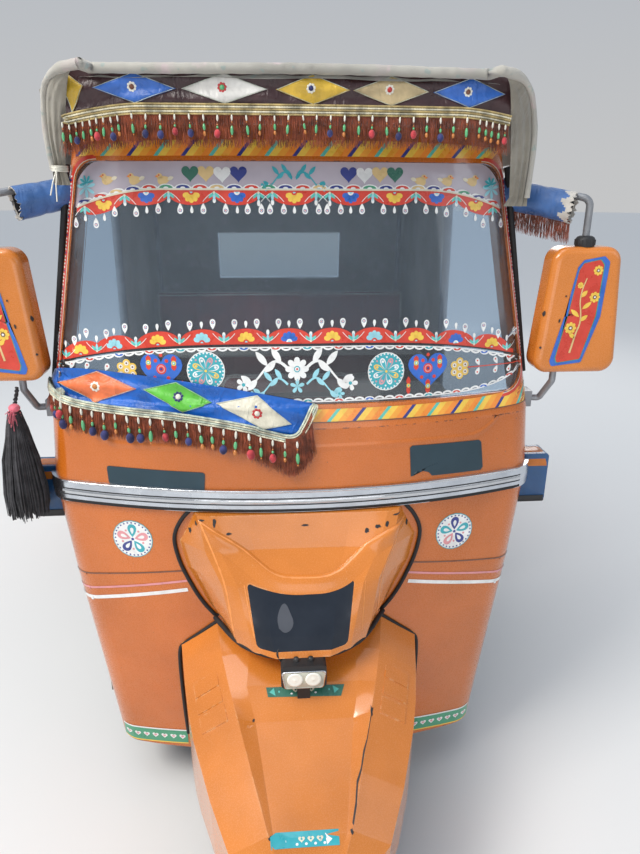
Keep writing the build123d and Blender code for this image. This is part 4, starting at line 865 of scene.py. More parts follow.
def smooth_line(points, rounds=2):
    """Corner-cutting of a line, with its ends kept."""
    for _ in range(rounds):
        cut = [points[0]]
        for first, second in zip(points, points[1:]):
            cut += [tuple(lerp(a, b, share) for a, b in zip(first, second)) for share in (0.25, 0.75)]
        points = cut + [points[-1]]
    return points


class Artwork:
    """Painted motifs and films on a skin, each in a thin layer a little above the one under it."""

    def __init__(self, skin, lift=0.0008, layer=0.00022):
        self.skin, self.lift, self.layer = skin, lift, layer
        self.shape = Shape()

    def on(self, x, z, layer=0):
        return self.skin.at(x, z, self.lift + self.layer * layer)

    def patch(self, outline, name, layer=0, rings=(1.0, 0.5)):
        """A filled outline.  Its long edges are divided so that they follow the skin."""
        outline = divided(outline)
        x, z = middle_of(outline)
        rows = [[self.on(lerp(x, px, share), lerp(z, pz, share), layer) for px, pz in outline]
                for share in rings]
        self.shape.grid(rows, name, closed=True)
        self.shape.fan(self.on(x, z, layer), rows[-1], name)

    def motif(self, outline, x, z, width, name, height=None, turn=0.0, layer=0):
        self.patch(placed(outline, x, z, width, height, turn), name, layer)

    def band(self, low, high, left, right, name, layer=0, pitch=0.006, rows=1):
        """What lies between two curves of x."""
        xs = steps(left, right, max(2, round((right - left) / pitch) + 1))
        self.shape.grid([[self.on(x, lerp(low(x), high(x), share), layer) for x in xs]
                         for share in steps(0.0, 1.0, rows + 1)], name)

    def between_outlines(self, outer, inner, name, layer=0):
        rows = [[self.on(x, z, layer) for x, z in outline] for outline in (outer, inner)]
        self.shape.grid(rows, name, closed=True)

    def line(self, points, width, name, layer=0):
        """A ribbon along points.  Its width is a number or one for each point."""
        widths = [width] * len(points) if isinstance(width, (int, float)) else width
        left, right = [], []
        for index, (x, z) in enumerate(points):
            before, after = points[max(0, index - 1)], points[min(len(points) - 1, index + 1)]
            dx, dz = after[0] - before[0], after[1] - before[1]
            size = math.hypot(dx, dz) or 1.0
            half = widths[index] / 2
            left.append(self.on(x - dz / size * half, z + dx / size * half, layer))
            right.append(self.on(x + dz / size * half, z - dx / size * half, layer))
        self.shape.grid([right, left], name)

    def petals(self, x, z, count, reach, width, name, start=0.0, share=1.0, layer=0):
        """Petals round a centre, or over a share of the circle, from a start angle."""
        for angle in turns(count, start, share):
            self.motif(TEAR, x, z, width, name, reach, angle - math.pi / 2, layer)

    def eye(self, x, z, size, names, layer=0):
        """Discs in each other, the largest first."""
        for index, name in enumerate(names):
            self.motif(DISC, x, z, size * (1.0 - index / len(names)), name, layer=layer + index)


# The nodes that each finish goes on
FINISHED_NODES = {
    "Body Paint": ("front_panel", "windscreen_frame", "body_sides", "rear_panel", "engine_lid"),
    "Nose Paint": ("head_cowl", "nose_cowl"), "Mirror Paint": ("mirror_housings",),
    "Floor Paint": ("floor_pan",),
    "Lining Paint": ("rear_deck", "bulkhead", "seat_box"), "Windscreen Glass": ("windscreen",),
    "Silvered Glass": ("mirror_glasses",), "Trim Metal": ("waist_trim",), "Lamp Cover": ("headlamp",),
    "Red Lens": ("tail_lamps",), "Blue Lens": ("side_lamps",), "Black Plastic": ("fog_lamp", "dashboard"),
    "Black Steel": ("wheel_liner", "steering_head", "fork", "handlebar", "chassis", "brake_pedal",
                    "rear_arms"),
    "Grey Tube": ("front_damper", "rear_springs", "rear_bumper", "mirror_arms", "hood_frame"),
    "Cast Metal": ("engine",), "Exhaust Steel": ("exhaust",), "Grip Rubber": ("grips",),
    "Tyre Rubber": ("front_tyre", "rear_left_tyre", "rear_right_tyre"),
    "Silver Paint": ("front_wheel", "rear_left_wheel", "rear_right_wheel"),
    "Cushion Vinyl": ("driver_cushion", "driver_back", "bench_cushion", "bench_back"),
    "Hood Canvas": ("hood", "hood_curtain"), "Upper Satin": ("front_valance",),
    "Lower Satin": ("lower_valance",),
    "Sleeve Cloth": ("arm_sleeves",), "Black Yarn": ("tassel",),
}


class RICKSHAW_OT_paint(bpy.types.Operator):
    """Give each rigid part its finish"""

    bl_idname = "rickshaw.paint"
    bl_label = "Paint Parts"

    def execute(self, context):
        for chosen, names in FINISHED_NODES.items():
            for name in names:
                mesh = NODES[name].data
                mesh.materials.clear()
                mesh.materials.append(finish(chosen))
                mesh.polygons.foreach_set("material_index", [0] * len(mesh.polygons))
        return {"FINISHED"}


# Ornament of the glass: the visor band above and the long lens-shaped opening below

# Height of the glass's top edge, and how much wider each side gets for every metre below it
GLASS_TOP, GLASS_SPREAD = 1.631, 0.167
GLASS_CORNERS = [(-0.461, GLASS_TOP), (-0.545, 1.128), (0.545, 1.128), (0.461, GLASS_TOP)]
LENS_TIP = 0.548
# Flowers and buds along the two garlands: x, and the finish of a flower
VISOR_FLOWERS = [(0.0, "Enamel Yellow"), (0.120, "Enamel Blue"), (0.216, "Enamel Yellow"),
                 (0.312, "Enamel Blue"),
                 (0.406, "Enamel Yellow")]
VISOR_BUDS = [0.046, 0.075, 0.168, 0.264, 0.359, 0.449]
LENS_FLOWERS = [(-0.480, "Enamel Yellow"), (-0.400, "Enamel Sky"), (-0.302, "Enamel Yellow"),
                (-0.205, "Enamel Sky"), (-0.109, "Enamel Yellow"), (-0.016, "Enamel Blue"),
                (0.078, "Enamel Yellow"), (0.172, "Enamel Sky"), (0.268, "Enamel Yellow"),
                (0.364, "Enamel Blue"),
                (0.456, "Enamel Yellow")]
LENS_BUDS = [-0.517, -0.441, -0.351, -0.254, -0.157, -0.062, 0.031, 0.125, 0.220, 0.316, 0.410, 0.496]
# Small motifs of the visor's two sides: x, height and finish
VISOR_HEARTS = [(0.116, 1.6065, "Enamel Navy"), (0.150, 1.6055, "Enamel White"), (0.184, 1.607, "Enamel Tan"),
                (0.217, 1.607, "Enamel Green")]
VISOR_BIRDS = [0.271, 0.332, 0.392]


def visor_low(x):
    return 1.574 - 1.07 * max(0.0, abs(x) - 0.28) ** 2


def lens_top(x):
    return 1.253 - 0.042 * (abs(x) / 0.5) ** 3


def lens_low(x):
    return 1.133 + 0.055 * (abs(x) / LENS_TIP) ** 8


def garland(art, flowers, buds, base, facing, narrow, deep, reach):
    """Red scallops along a line, with a flower on each, a bud between and white tears beyond them.

    The line is a function of x, facing is 1 for a garland that stands on it and -1 for one that hangs.
    """
    turn = way_up(facing)
    ends = (min(flowers[0][0], buds[0]) - 0.02, max(flowers[-1][0], buds[-1]) + 0.02)

    def edge(x):
        near = min(abs(x - place) for place, _ in flowers)
        return narrow + deep * math.sqrt(max(0.0, 1.0 - (near / 0.047) ** 2))

    low, high = base, lambda x: base(x) + facing * edge(x)
    if facing < 0:
        low, high = high, low
    art.band(low, high, ends[0], ends[1], "Enamel Red", pitch=0.0025, rows=2)
    for x, tone in flowers:
        foot = base(x) + facing * 0.004
        heart = "Enamel White" if tone == "Enamel Blue" else "Enamel Red"
        art.petals(x, foot + facing * 0.004, 5, 0.0185, 0.0105, tone, math.radians(14) * facing,
                   0.53 * facing,
                   layer=1)
        art.motif(DOME, x, foot, 0.013, heart, 0.0065, turn, layer=2)
        art.motif(DOME, x, foot, 0.006, "Enamel Sky", 0.003, turn, layer=3)
    for x in buds:
        foot = base(x) + facing * 0.0045
        for lean in (-0.75, 0.0, 0.75):
            art.motif(LEAF, x, foot, 0.0062, "Enamel Sea" if lean else "Enamel Sky", 0.0175, turn + lean,
                      layer=2)
        art.motif(DISC, x, foot + facing * 0.001, 0.005, "Enamel Cream", layer=3)
        for side in (-1, 1):
            loop = [(x + side * 0.024 * share, foot + facing * (0.001 + 0.018 * share ** 1.6))
                    for share in steps(0.05, 1.0, 6)]
            art.line(loop, 0.0013, "Enamel White", layer=2)
            tip = foot + facing * (reach - 0.004)
            art.motif(TEAR, x + side * 0.0235, tip, 0.0125, "Enamel White", 0.022, turn, layer=1)
            art.eye(x + side * 0.0235, tip + facing * 0.0148, 0.0072,
                    ("Enamel Navy", "Enamel White", "Enamel Red"), 2)
    for x in [place for place, _ in flowers] + list(buds):
        art.motif(TEAR, x, base(x) + facing * (edge(x) + 0.001), 0.0068, "Enamel White", 0.0155, turn,
                  layer=1)


def wavelets(art, curve, left, right, facing, pitch, tall, width, every, tones):
    """A white scalloped line beside a curve, with coloured domes in some of its arches."""
    count = round((right - left) / pitch)
    points = []
    for k in range(count * 6 + 1):
        x = left + (right - left) * k / (count * 6)
        points.append((x, curve(x) + facing * (0.0015 + tall * abs(math.sin(math.pi * k / 6)) ** 0.7)))
    art.line(points, width, "Enamel White", layer=2)
    seam = [(x, curve(x) + facing * 0.001) for x in steps(left, right, count * 3)]
    art.line(seam, width * 0.7, "Enamel White", layer=2)
    for k in range(count):
        if k % every:
            continue
        x = left + (right - left) * (k + 0.5) / count
        tone = tones[(k // every) % len(tones)]
        foot, turn = curve(x) + facing * 0.001, way_up(facing)
        art.motif(DOME, x, foot, pitch * 0.8, tone, tall * 0.95, turn, layer=3)
        art.motif(DOME, x, foot, pitch * 0.3, "Enamel White", tall * 0.45, turn, layer=4)


def scroll(art, x, z, side, size, name):
    """A generic curling leaf scroll that grows outward from the middle."""
    stem = [(x + side * size * (0.06 + 0.9 * share),
             z + size * (0.20 * math.sin(share * 5.2) - 0.10 * share)) for share in steps(0.0, 1.0, 18)]
    art.line(stem, [size * (0.062 - 0.035 * share) for share in steps(0.0, 1.0, 18)], name, 1)
    for share, lean, long in ((0.15, 0.9, 0.34), (0.32, -0.7, 0.30), (0.5, 0.8, 0.36), (0.68, -0.8, 0.28),
                              (0.84, 0.6, 0.26)):
        px, pz = stem[round(share * 17)]
        art.motif(LEAF, px, pz, size * 0.13, name, size * long, -side * (math.pi / 2 - lean * 1.1), 2)
    px, pz = stem[-1]
    art.petals(px, pz, 5, size * 0.15, size * 0.09, name, layer=2)
    art.motif(DISC, px, pz, size * 0.07, "Enamel Teal", layer=3)


def bird(art, x, z, side):
    """A small sitting duck that looks outward."""
    art.motif(TEAR, x - side * 0.014, z + 0.004, 0.018, "Enamel Tan", 0.030, -side * math.radians(102),
              layer=1)
    art.motif(DISC, x + side * 0.011, z + 0.008, 0.013, "Enamel Tan", layer=1)
    art.motif(PENNANT, x + side * 0.021, z + 0.008, 0.005, "Enamel Orange", 0.008, side * math.radians(90),
              layer=2)
    art.motif(LEAF, x - side * 0.006, z + 0.002, 0.008, "Enamel Cream", 0.014, side * math.radians(70),
              layer=2)
    art.motif(DISC, x + side * 0.012, z + 0.0105, 0.0036, "Enamel Red", layer=2)


def petal_disc(art, x, z, size, turn=0.0):
    """A teal disc with a dotted rim and eight petals."""
    art.motif(DISC, x, z, size, "Enamel White")
    art.motif(DISC, x, z, size * 0.95, "Enamel Teal", layer=1)
    for angle in turns(30):
        art.motif(DISC, *polar(x, z, size * 0.45, angle), size * 0.045, "Enamel White", layer=2)
    tones = ("Enamel White", "Enamel Pink", "Enamel White", "Enamel Yellow")
    for k, angle in enumerate(turns(8, turn)):
        foot, tone = polar(x, z, size * 0.04, angle), tones[k % 4]
        art.motif(TEAR, *foot, size * 0.15, tone, size * 0.33, angle - math.pi / 2, layer=2)
        art.motif(TEAR, *foot, size * 0.10, "Enamel Teal", size * 0.29, angle - math.pi / 2, layer=3)
        art.motif(DISC, *polar(x, z, size * 0.27, angle), size * 0.07, tone, layer=4)
        art.motif(DISC, *polar(x, z, size * 0.37, angle + math.pi / 8), size * 0.05,
                  "Enamel White" if k % 2 else "Enamel Pink", layer=2)
    art.motif(DISC, x, z, size * 0.07, "Enamel Yellow", layer=5)


def eyed_heart(art, x, z, width):
    """A blue heart with ringed flame spots."""
    art.motif(HEART, x, z + 0.004, width, "Enamel Blue", width * 0.98, layer=1)
    for dx, dz, tall in ((-0.30, 0.20, 0.34), (0.30, 0.20, 0.34), (0.0, -0.36, 0.34)):
        px, pz = x + dx * width, z + dz * width
        for side in (0.0, math.pi):
            art.motif(LEAF, px, pz, width * 0.13, "Enamel Red", width * tall / 2, side, layer=2)
        art.eye(px, pz, width * 0.12, ("Enamel Yellow", "Enamel Sea", "Enamel White"), 3)
    art.eye(x, z + width * 0.06, width * 0.24, ("Enamel Red", "Enamel Pink", "Enamel Red", "Enamel Navy"), 2)
    for dx, dz in ((-0.13, 0.25), (0.13, 0.25), (0.0, 0.38), (-0.16, -0.14), (0.16, -0.14)):
        art.motif(DISC, x + dx * width, z + dz * width, width * 0.085, "Enamel Red", layer=2)


def ring_cluster(art, x, z):
    """Seven yellow rings, one in the middle of six."""
    for px, pz in [(0.0, 0.0)] + circle(6, 0.0155, math.pi / 6):
        art.eye(x + px, z + pz, 0.0175, ("Enamel Yellow", "Enamel Tan", "Enamel White", "Enamel Brown"), 1)


class RICKSHAW_OT_glass_ornament(bpy.types.Operator):
    """Lay the visor band, the garlands and the motifs on the windscreen"""

    bl_idname = "rickshaw.glass_ornament"
    bl_label = "Glass Ornament"

    def execute(self, context):
        sizes = context.scene.rickshaw_ornament
        skin = Skin(["windscreen", "windscreen_frame"])
        films = Artwork(skin, 0.0006)
        rows = []
        for share in steps(0.0, 1.0, 9):
            row = []
            for column in steps(-1.0, 1.0, 121):
                top = 1.6300 - 0.040 * max(0.0, abs(column) - 0.90) ** 2 * 100
                z = lerp(visor_low(column * 0.468), top, share)
                half = 0.459 + (GLASS_TOP - z) * GLASS_SPREAD
                row.append(films.on(column * half, z))
            rows.append(row)
        films.shape.grid(rows, "Visor Film")
        films.band(lens_low, lens_top, -LENS_TIP + 0.004, LENS_TIP - 0.004, "Smoked Film", pitch=0.008,
                   rows=4)
        films.shape.piece("glass_films", slot="glass")

        art = Artwork(skin, 0.0010)
        mirrored = sorted([(-x, tone) for x, tone in VISOR_FLOWERS[1:]] + VISOR_FLOWERS)
        buds = sorted([-x for x in VISOR_BUDS] + VISOR_BUDS)
        garland(art, mirrored, buds, visor_low, -1, 0.010, 0.0205, 0.026)
        art.line([(x, visor_low(x) + 0.0005) for x in steps(-0.468, 0.468, 120)], 0.0032, "Enamel Cream",
                 layer=4)
        wavelets(art, lambda x: visor_low(x) + 0.002, -0.466, 0.466, 1, 0.036, 0.0068, 0.0032, 1,
                 ("Enamel Navy", "Enamel Red", "Enamel Tan", "Enamel Navy", "Enamel Red", "Enamel Leaf"))
        for side in (-1, 1):
            for x, z, tone in VISOR_HEARTS:
                art.motif(HEART, side * x, z, sizes.heart, tone, layer=1)
            for x in VISOR_BIRDS:
                bird(art, side * x, 1.592, side)
            art.petals(side * 0.444, 1.578, 7, 0.022, 0.007, "Enamel Sky", 0.3, layer=1)
            art.petals(side * 0.442, 1.586, 5, 0.017, 0.005, "Enamel Teal", math.radians(20), 0.6, layer=2)
            scroll(art, 0.0, 1.598, side, 0.064, "Enamel Teal")
            art.motif(LEAF, side * 0.004, 1.594, 0.008, "Enamel Teal", 0.024, -side * 0.5, layer=2)

        garland(art, LENS_FLOWERS, LENS_BUDS, lambda x: lens_top(x) + 0.006, 1, 0.0095, 0.0235, 0.031)
        art.line([(x, lens_top(x) + 0.0045) for x in steps(-LENS_TIP, LENS_TIP, 140)], 0.003, "Enamel Black",
                 layer=4)
        tones = ("Enamel Teal", "Enamel Red", "Enamel Blue", "Enamel Red")
        for curve, facing in ((lens_top, -1), (lens_low, 1)):
            wavelets(art, curve, -0.540, 0.540, facing, sizes.wave, 0.0052, 0.0040, 3, tones)
        for side, rise in ((-1, 0.007), (1, 0.0)):
            petal_disc(art, side * 0.199, 1.194 + rise, sizes.disc, 0.35)
            eyed_heart(art, side * 0.297, 1.190 + rise, sizes.big_heart)
            ring_cluster(art, side * 0.375, 1.190 + rise)
            for turn in (0.0, math.pi):
                art.motif(LEAF, side * 0.251, 1.160, 0.010, "Enamel Red", 0.020, turn, layer=1)
            art.eye(side * 0.251, 1.160, 0.009, ("Enamel Yellow", "Enamel Sea"), 2)
            art.line([(side * x, 1.191) for x in steps(0.395, 0.535, 24)], 0.0022, "Enamel Red", layer=2)
            for x in (0.425, 0.472, 0.508):
                for facing in (-1, 1):
                    turn = way_up(facing) + side * facing * 0.45
                    art.motif(TEAR, side * x, 1.191 + facing * 0.002, 0.011, "Enamel White", 0.018, turn,
                              layer=1)
                    art.motif(DISC, side * (x - 0.005), 1.191 + facing * 0.013, 0.004, "Enamel Red", layer=2)
            scroll(art, side * 0.010, 1.203, side, 0.112, "Enamel White")
            scroll(art, side * 0.016, 1.172, side, 0.080, "Enamel Sky")
        art.petals(0.0, 1.205, 8, 0.026, 0.013, "Enamel White", layer=3)
        art.eye(0.0, 1.205, 0.014, ("Enamel Teal", "Enamel White", "Enamel Red"), 4)
        art.petals(0.0, 1.168, 5, 0.016, 0.008, "Enamel Sky", math.radians(18), layer=3)
        art.shape.piece("glass_ornament", slot="signal_blue")
        return {"FINISHED"}


# Slanted stripes of the frame, in their order along it
STRIPES = ("Enamel Navy", "Enamel Yellow", "Enamel Amber", "Enamel Orange", "Enamel Sea", "Enamel Yellow",
           "Enamel Amber", "Enamel Orange")


def sill_low(x):
    return 1.0905 + 0.006 * (x / 0.55) ** 6


def sill_high(x):
    return 1.1185 + 0.020 * (abs(x) / 0.55) ** 7


def striped_border(art, low, high, left, right, pitch, slant):
    """Slanted stripes between two curves, coloured narrow ones among broad orange and yellow."""
    edges, names = [left], []
    while edges[-1] < right:
        name = STRIPES[len(names) % len(STRIPES)]
        names.append(name)
        edges.append(edges[-1] + pitch * (0.62 if name in ("Enamel Navy", "Enamel Sea") else 1.12))
    rows = []
    for share in steps(0.0, 1.0, 5):
        row = []
        for x in edges:
            place = x + slant * (share - 0.5)
            row.append(art.on(place, lerp(low(place), high(place), share), 1))
        rows.append(row)
    art.shape.grid(rows, lambda j, i: names[i])


class RICKSHAW_OT_frame_ornament(bpy.types.Operator):
    """Paint the striped borders, the red line and the white dots round the glass"""

    bl_idname = "rickshaw.frame_ornament"
    bl_label = "Frame Ornament"

    def execute(self, context):
        pitch = context.scene.rickshaw_ornament.stripe
        art = Artwork(Skin(["windscreen_frame", "windscreen", "front_panel"]))
        grown = []
        for offset in (0.0025, 0.0042, 0.0120):
            corners = [(x + math.copysign(offset, x), z + math.copysign(offset, z - 1.4))
                       for x, z in GLASS_CORNERS]
            grown.append(rounded(corners, 0.048 + offset))
        art.between_outlines(grown[1], grown[0], "Enamel Cream", 2)
        art.between_outlines(grown[2], grown[1], "Enamel Red", 2)
        striped_border(art, lambda x: 1.6405, lambda x: 1.672 - 0.01 * (x / 0.46) ** 4, -0.452, 0.452, pitch,
                       0.026)
        striped_border(art, sill_low, sill_high, -0.560, 0.548, pitch, 0.024)
        art.line([(x, sill_low(x) - 0.0008) for x in steps(-0.565, 0.56, 120)], 0.0022, "Enamel Brown",
                 layer=3)
        for side in (-1, 1):
            for k, z in enumerate(steps(1.215, 1.60, 52)):
                x = side * (0.4655 + (GLASS_TOP - z) * GLASS_SPREAD + 0.0065)
                art.motif(DISC, x, z, 0.0042, "Enamel White" if k % 5 else "Enamel Navy", layer=3)
        art.shape.piece("frame_ornament", slot="body_paint")
        beading = Shape()
        top = 1.625
        for side in (-1, 1):
            path = [(side * (0.4870 + (top - z) * 0.1667), -0.716 - 0.05 * (top - z), z)
                    for z in steps(1.155, top, 20)]
            beading.tube(path, 0.0075, "Black Beading")
        beading.piece("pillar_beading", slot="grip_rubber")
        return {"FINISHED"}


def hem(x):
    """Height of the painted hem at the front panel's foot."""
    return 0.204 - 0.06 * (abs(x) - 0.30)


class RICKSHAW_OT_panel_ornament(bpy.types.Operator):
    """Paint the front panel: discs, stripes, hem with hearts, and the two blank plates"""

    bl_idname = "rickshaw.panel_ornament"
    bl_label = "Panel Ornament"

    def execute(self, context):
        art = Artwork(Skin(["front_panel"]))
        # x, z and the finishes of the five tears, from the top round to the left
        discs = [
            (-0.392, 0.795, ("Enamel Teal", "Enamel Pink", "Enamel Navy", "Enamel Teal", "Enamel Pink")),
            (0.382, 0.788, ("Enamel Navy", "Enamel Teal", "Enamel Pink", "Enamel Navy", "Enamel Teal")),
        ]
        for x, z, tones in discs:
            art.motif(DISC, x, z, 0.097, "Enamel Teal")
            art.motif(DISC, x, z, 0.093, "Enamel White", layer=1)
            for angle in turns(28):
                art.motif(DISC, *polar(x, z, 0.0425, angle), 0.0042, "Enamel Navy", layer=2)
            for angle, tone in zip(turns(5, math.radians(90)), tones):
                foot, turn = polar(x, z, 0.005, angle), angle - math.pi / 2
                art.motif(TEAR, *foot, 0.0215, tone, 0.034, turn, layer=2)
                art.motif(TEAR, *polar(*foot, 0.008, angle), 0.0085, "Enamel White", 0.017, turn, layer=3)
                art.motif(DISC, *polar(x, z, 0.026, angle + math.pi / 5), 0.0055, "Enamel Pink", layer=2)
            art.motif(DISC, x, z, 0.007, "Enamel Navy", layer=3)
        for side in (-1, 1):
            # height at the cowl, drop to the side, width and finish
            for start, drop, width, name in ((0.718, 0.038, 0.0035, "Enamel Brown"),
                                             (0.689, 0.053, 0.0055, "Enamel Pink"),
                                             (0.664, 0.058, 0.0100, "Enamel White")):
                points = [(side * x, start - drop * (x - 0.29) / 0.27) for x in steps(0.268, 0.566, 44)]
                art.line(points if side > 0 else points[::-1], width, name, layer=1)
            left, right = sorted((side * 0.300, side * 0.478))
            art.band(lambda x: hem(x) - 0.030, lambda x: hem(x) + 0.012, left, right, "Enamel Leaf", layer=1)
            for rise, width, name in ((0.013, 0.0045, "Enamel White"), (-0.031, 0.0035, "Enamel Yellow")):
                art.line([(x, hem(x) + rise) for x in steps(left, right, 30)], width, name, layer=2)
            for x in steps(0.315, 0.463, 7):
                for width, name, layer in ((0.017, "Enamel White", 2), (0.008, "Enamel Pink", 3)):
                    art.motif(HEART, side * x, hem(x) - 0.009, width, name, layer=layer)
            crease = [(side * x, 1.0335 + 0.055 * max(0.0, (x - 0.40) / 0.09) ** 2)
                      for x in steps(0.0, 0.487, 60)]
            rows = [[art.skin.at(x, z + dz, rise) for x, z in (crease if side > 0 else crease[::-1])]
                    for dz, rise in ((-0.012, 0.0002), (-0.006, 0.0007), (-0.001, 0.0018), (0.002, 0.0013),
                                     (0.007, 0.0002))]
            art.shape.grid(rows, "Body Paint")
        art.shape.piece("panel_ornament", slot="body_paint")

        plates = Artwork(Skin(["front_panel"]), 0.0013)
        left = [(-0.436, 0.933), (-0.214, 0.929), (-0.210, 0.974), (-0.438, 0.978)]
        right = [(0.262, 0.947), (0.268, 0.9485), (0.272, 0.957), (0.289, 0.959), (0.306, 0.9535),
                 (0.314, 0.944),
                 (0.440, 0.942), (0.4455, 0.949), (0.4365, 1.013), (0.430, 1.0195), (0.262, 1.0235),
                 (0.2565, 1.018)]
        for outline in (rounded(left, 0.007), right):
            plates.patch(outline, "Blank Plate", rings=(1.0, 0.98, 0.7, 0.3))
        plates.shape.piece("blank_plates", slot="black_plastic")
        return {"FINISHED"}


# Trim, lamps and wear of the nose and the waist

# Seams of the head cowl and of the nose on one side: x and z
COWL_EDGE = [(0.198, 0.597), (0.207, 0.602), (0.236, 0.641), (0.262, 0.695), (0.281, 0.740), (0.292, 0.792),
             (0.289, 0.822), (0.272, 0.856), (0.250, 0.8805)]
NOSE_EDGE = [(0.203, 0.580), (0.250, 0.540), (0.291, 0.506), (0.300, 0.490), (0.303, 0.440), (0.301, 0.300),
             (0.297, 0.212)]
# Bare spots of the nose and head cowl: x, z, width and height
CHIPS = [(-0.193, 0.864, 0.010, 0.020), (-0.160, 0.839, 0.016, 0.006), (-0.252, 0.833, 0.008, 0.014),
         (0.155, 0.837, 0.013, 0.012), (0.181, 0.846, 0.018, 0.010), (0.202, 0.849, 0.012, 0.014),
         (0.256, 0.835, 0.008, 0.016), (0.013, 0.852, 0.020, 0.005), (-0.222, 0.868, 0.016, 0.005),
         (0.226, 0.868, 0.020, 0.005), (-0.236, 0.856, 0.006, 0.010), (0.148, 0.489, 0.005, 0.012),
         (-0.112, 0.478, 0.006, 0.005), (-0.079, 0.392, 0.008, 0.005), (0.081, 0.394, 0.006, 0.008)]
# The line of a crack beside the spot lamp
CRACK = [(0.152, 0.492), (0.143, 0.482), (0.131, 0.466), (0.121, 0.455), (0.112, 0.442), (0.101, 0.430),
         (0.094, 0.415), (0.084, 0.400)]
# Ridges of the cowl with a painted highlight along them, laid on as rubbed paint: x and z along each, and its
# width
COWL_RIDGES = [
    ([(-0.225, 0.864), (-0.198, 0.800), (-0.171, 0.740), (-0.160, 0.670), (-0.153, 0.610)], 0.0050),
    ([(0.246, 0.846), (0.214, 0.790), (0.185, 0.741), (0.181, 0.650), (0.178, 0.575)], 0.0050),
    ([(-0.230, 0.868), (-0.156, 0.826), (-0.105, 0.786), (-0.058, 0.752), (-0.002, 0.747), (0.076, 0.748),
      (0.122, 0.782), (0.166, 0.820), (0.252, 0.852)], 0.0026),
    ([(-0.128, 0.738), (-0.117, 0.680), (-0.106, 0.628)], 0.0030),
    ([(0.147, 0.738), (0.141, 0.680), (0.137, 0.628)], 0.0030),
]


def blotch(x, z, width, height, dice):
    """The outline of an irregular spot."""
    return [(x + width * 0.5 * math.cos(a) * dice.uniform(0.55, 1.15),
             z + height * 0.5 * math.sin(a) * dice.uniform(0.55, 1.15)) for a in turns(11)]


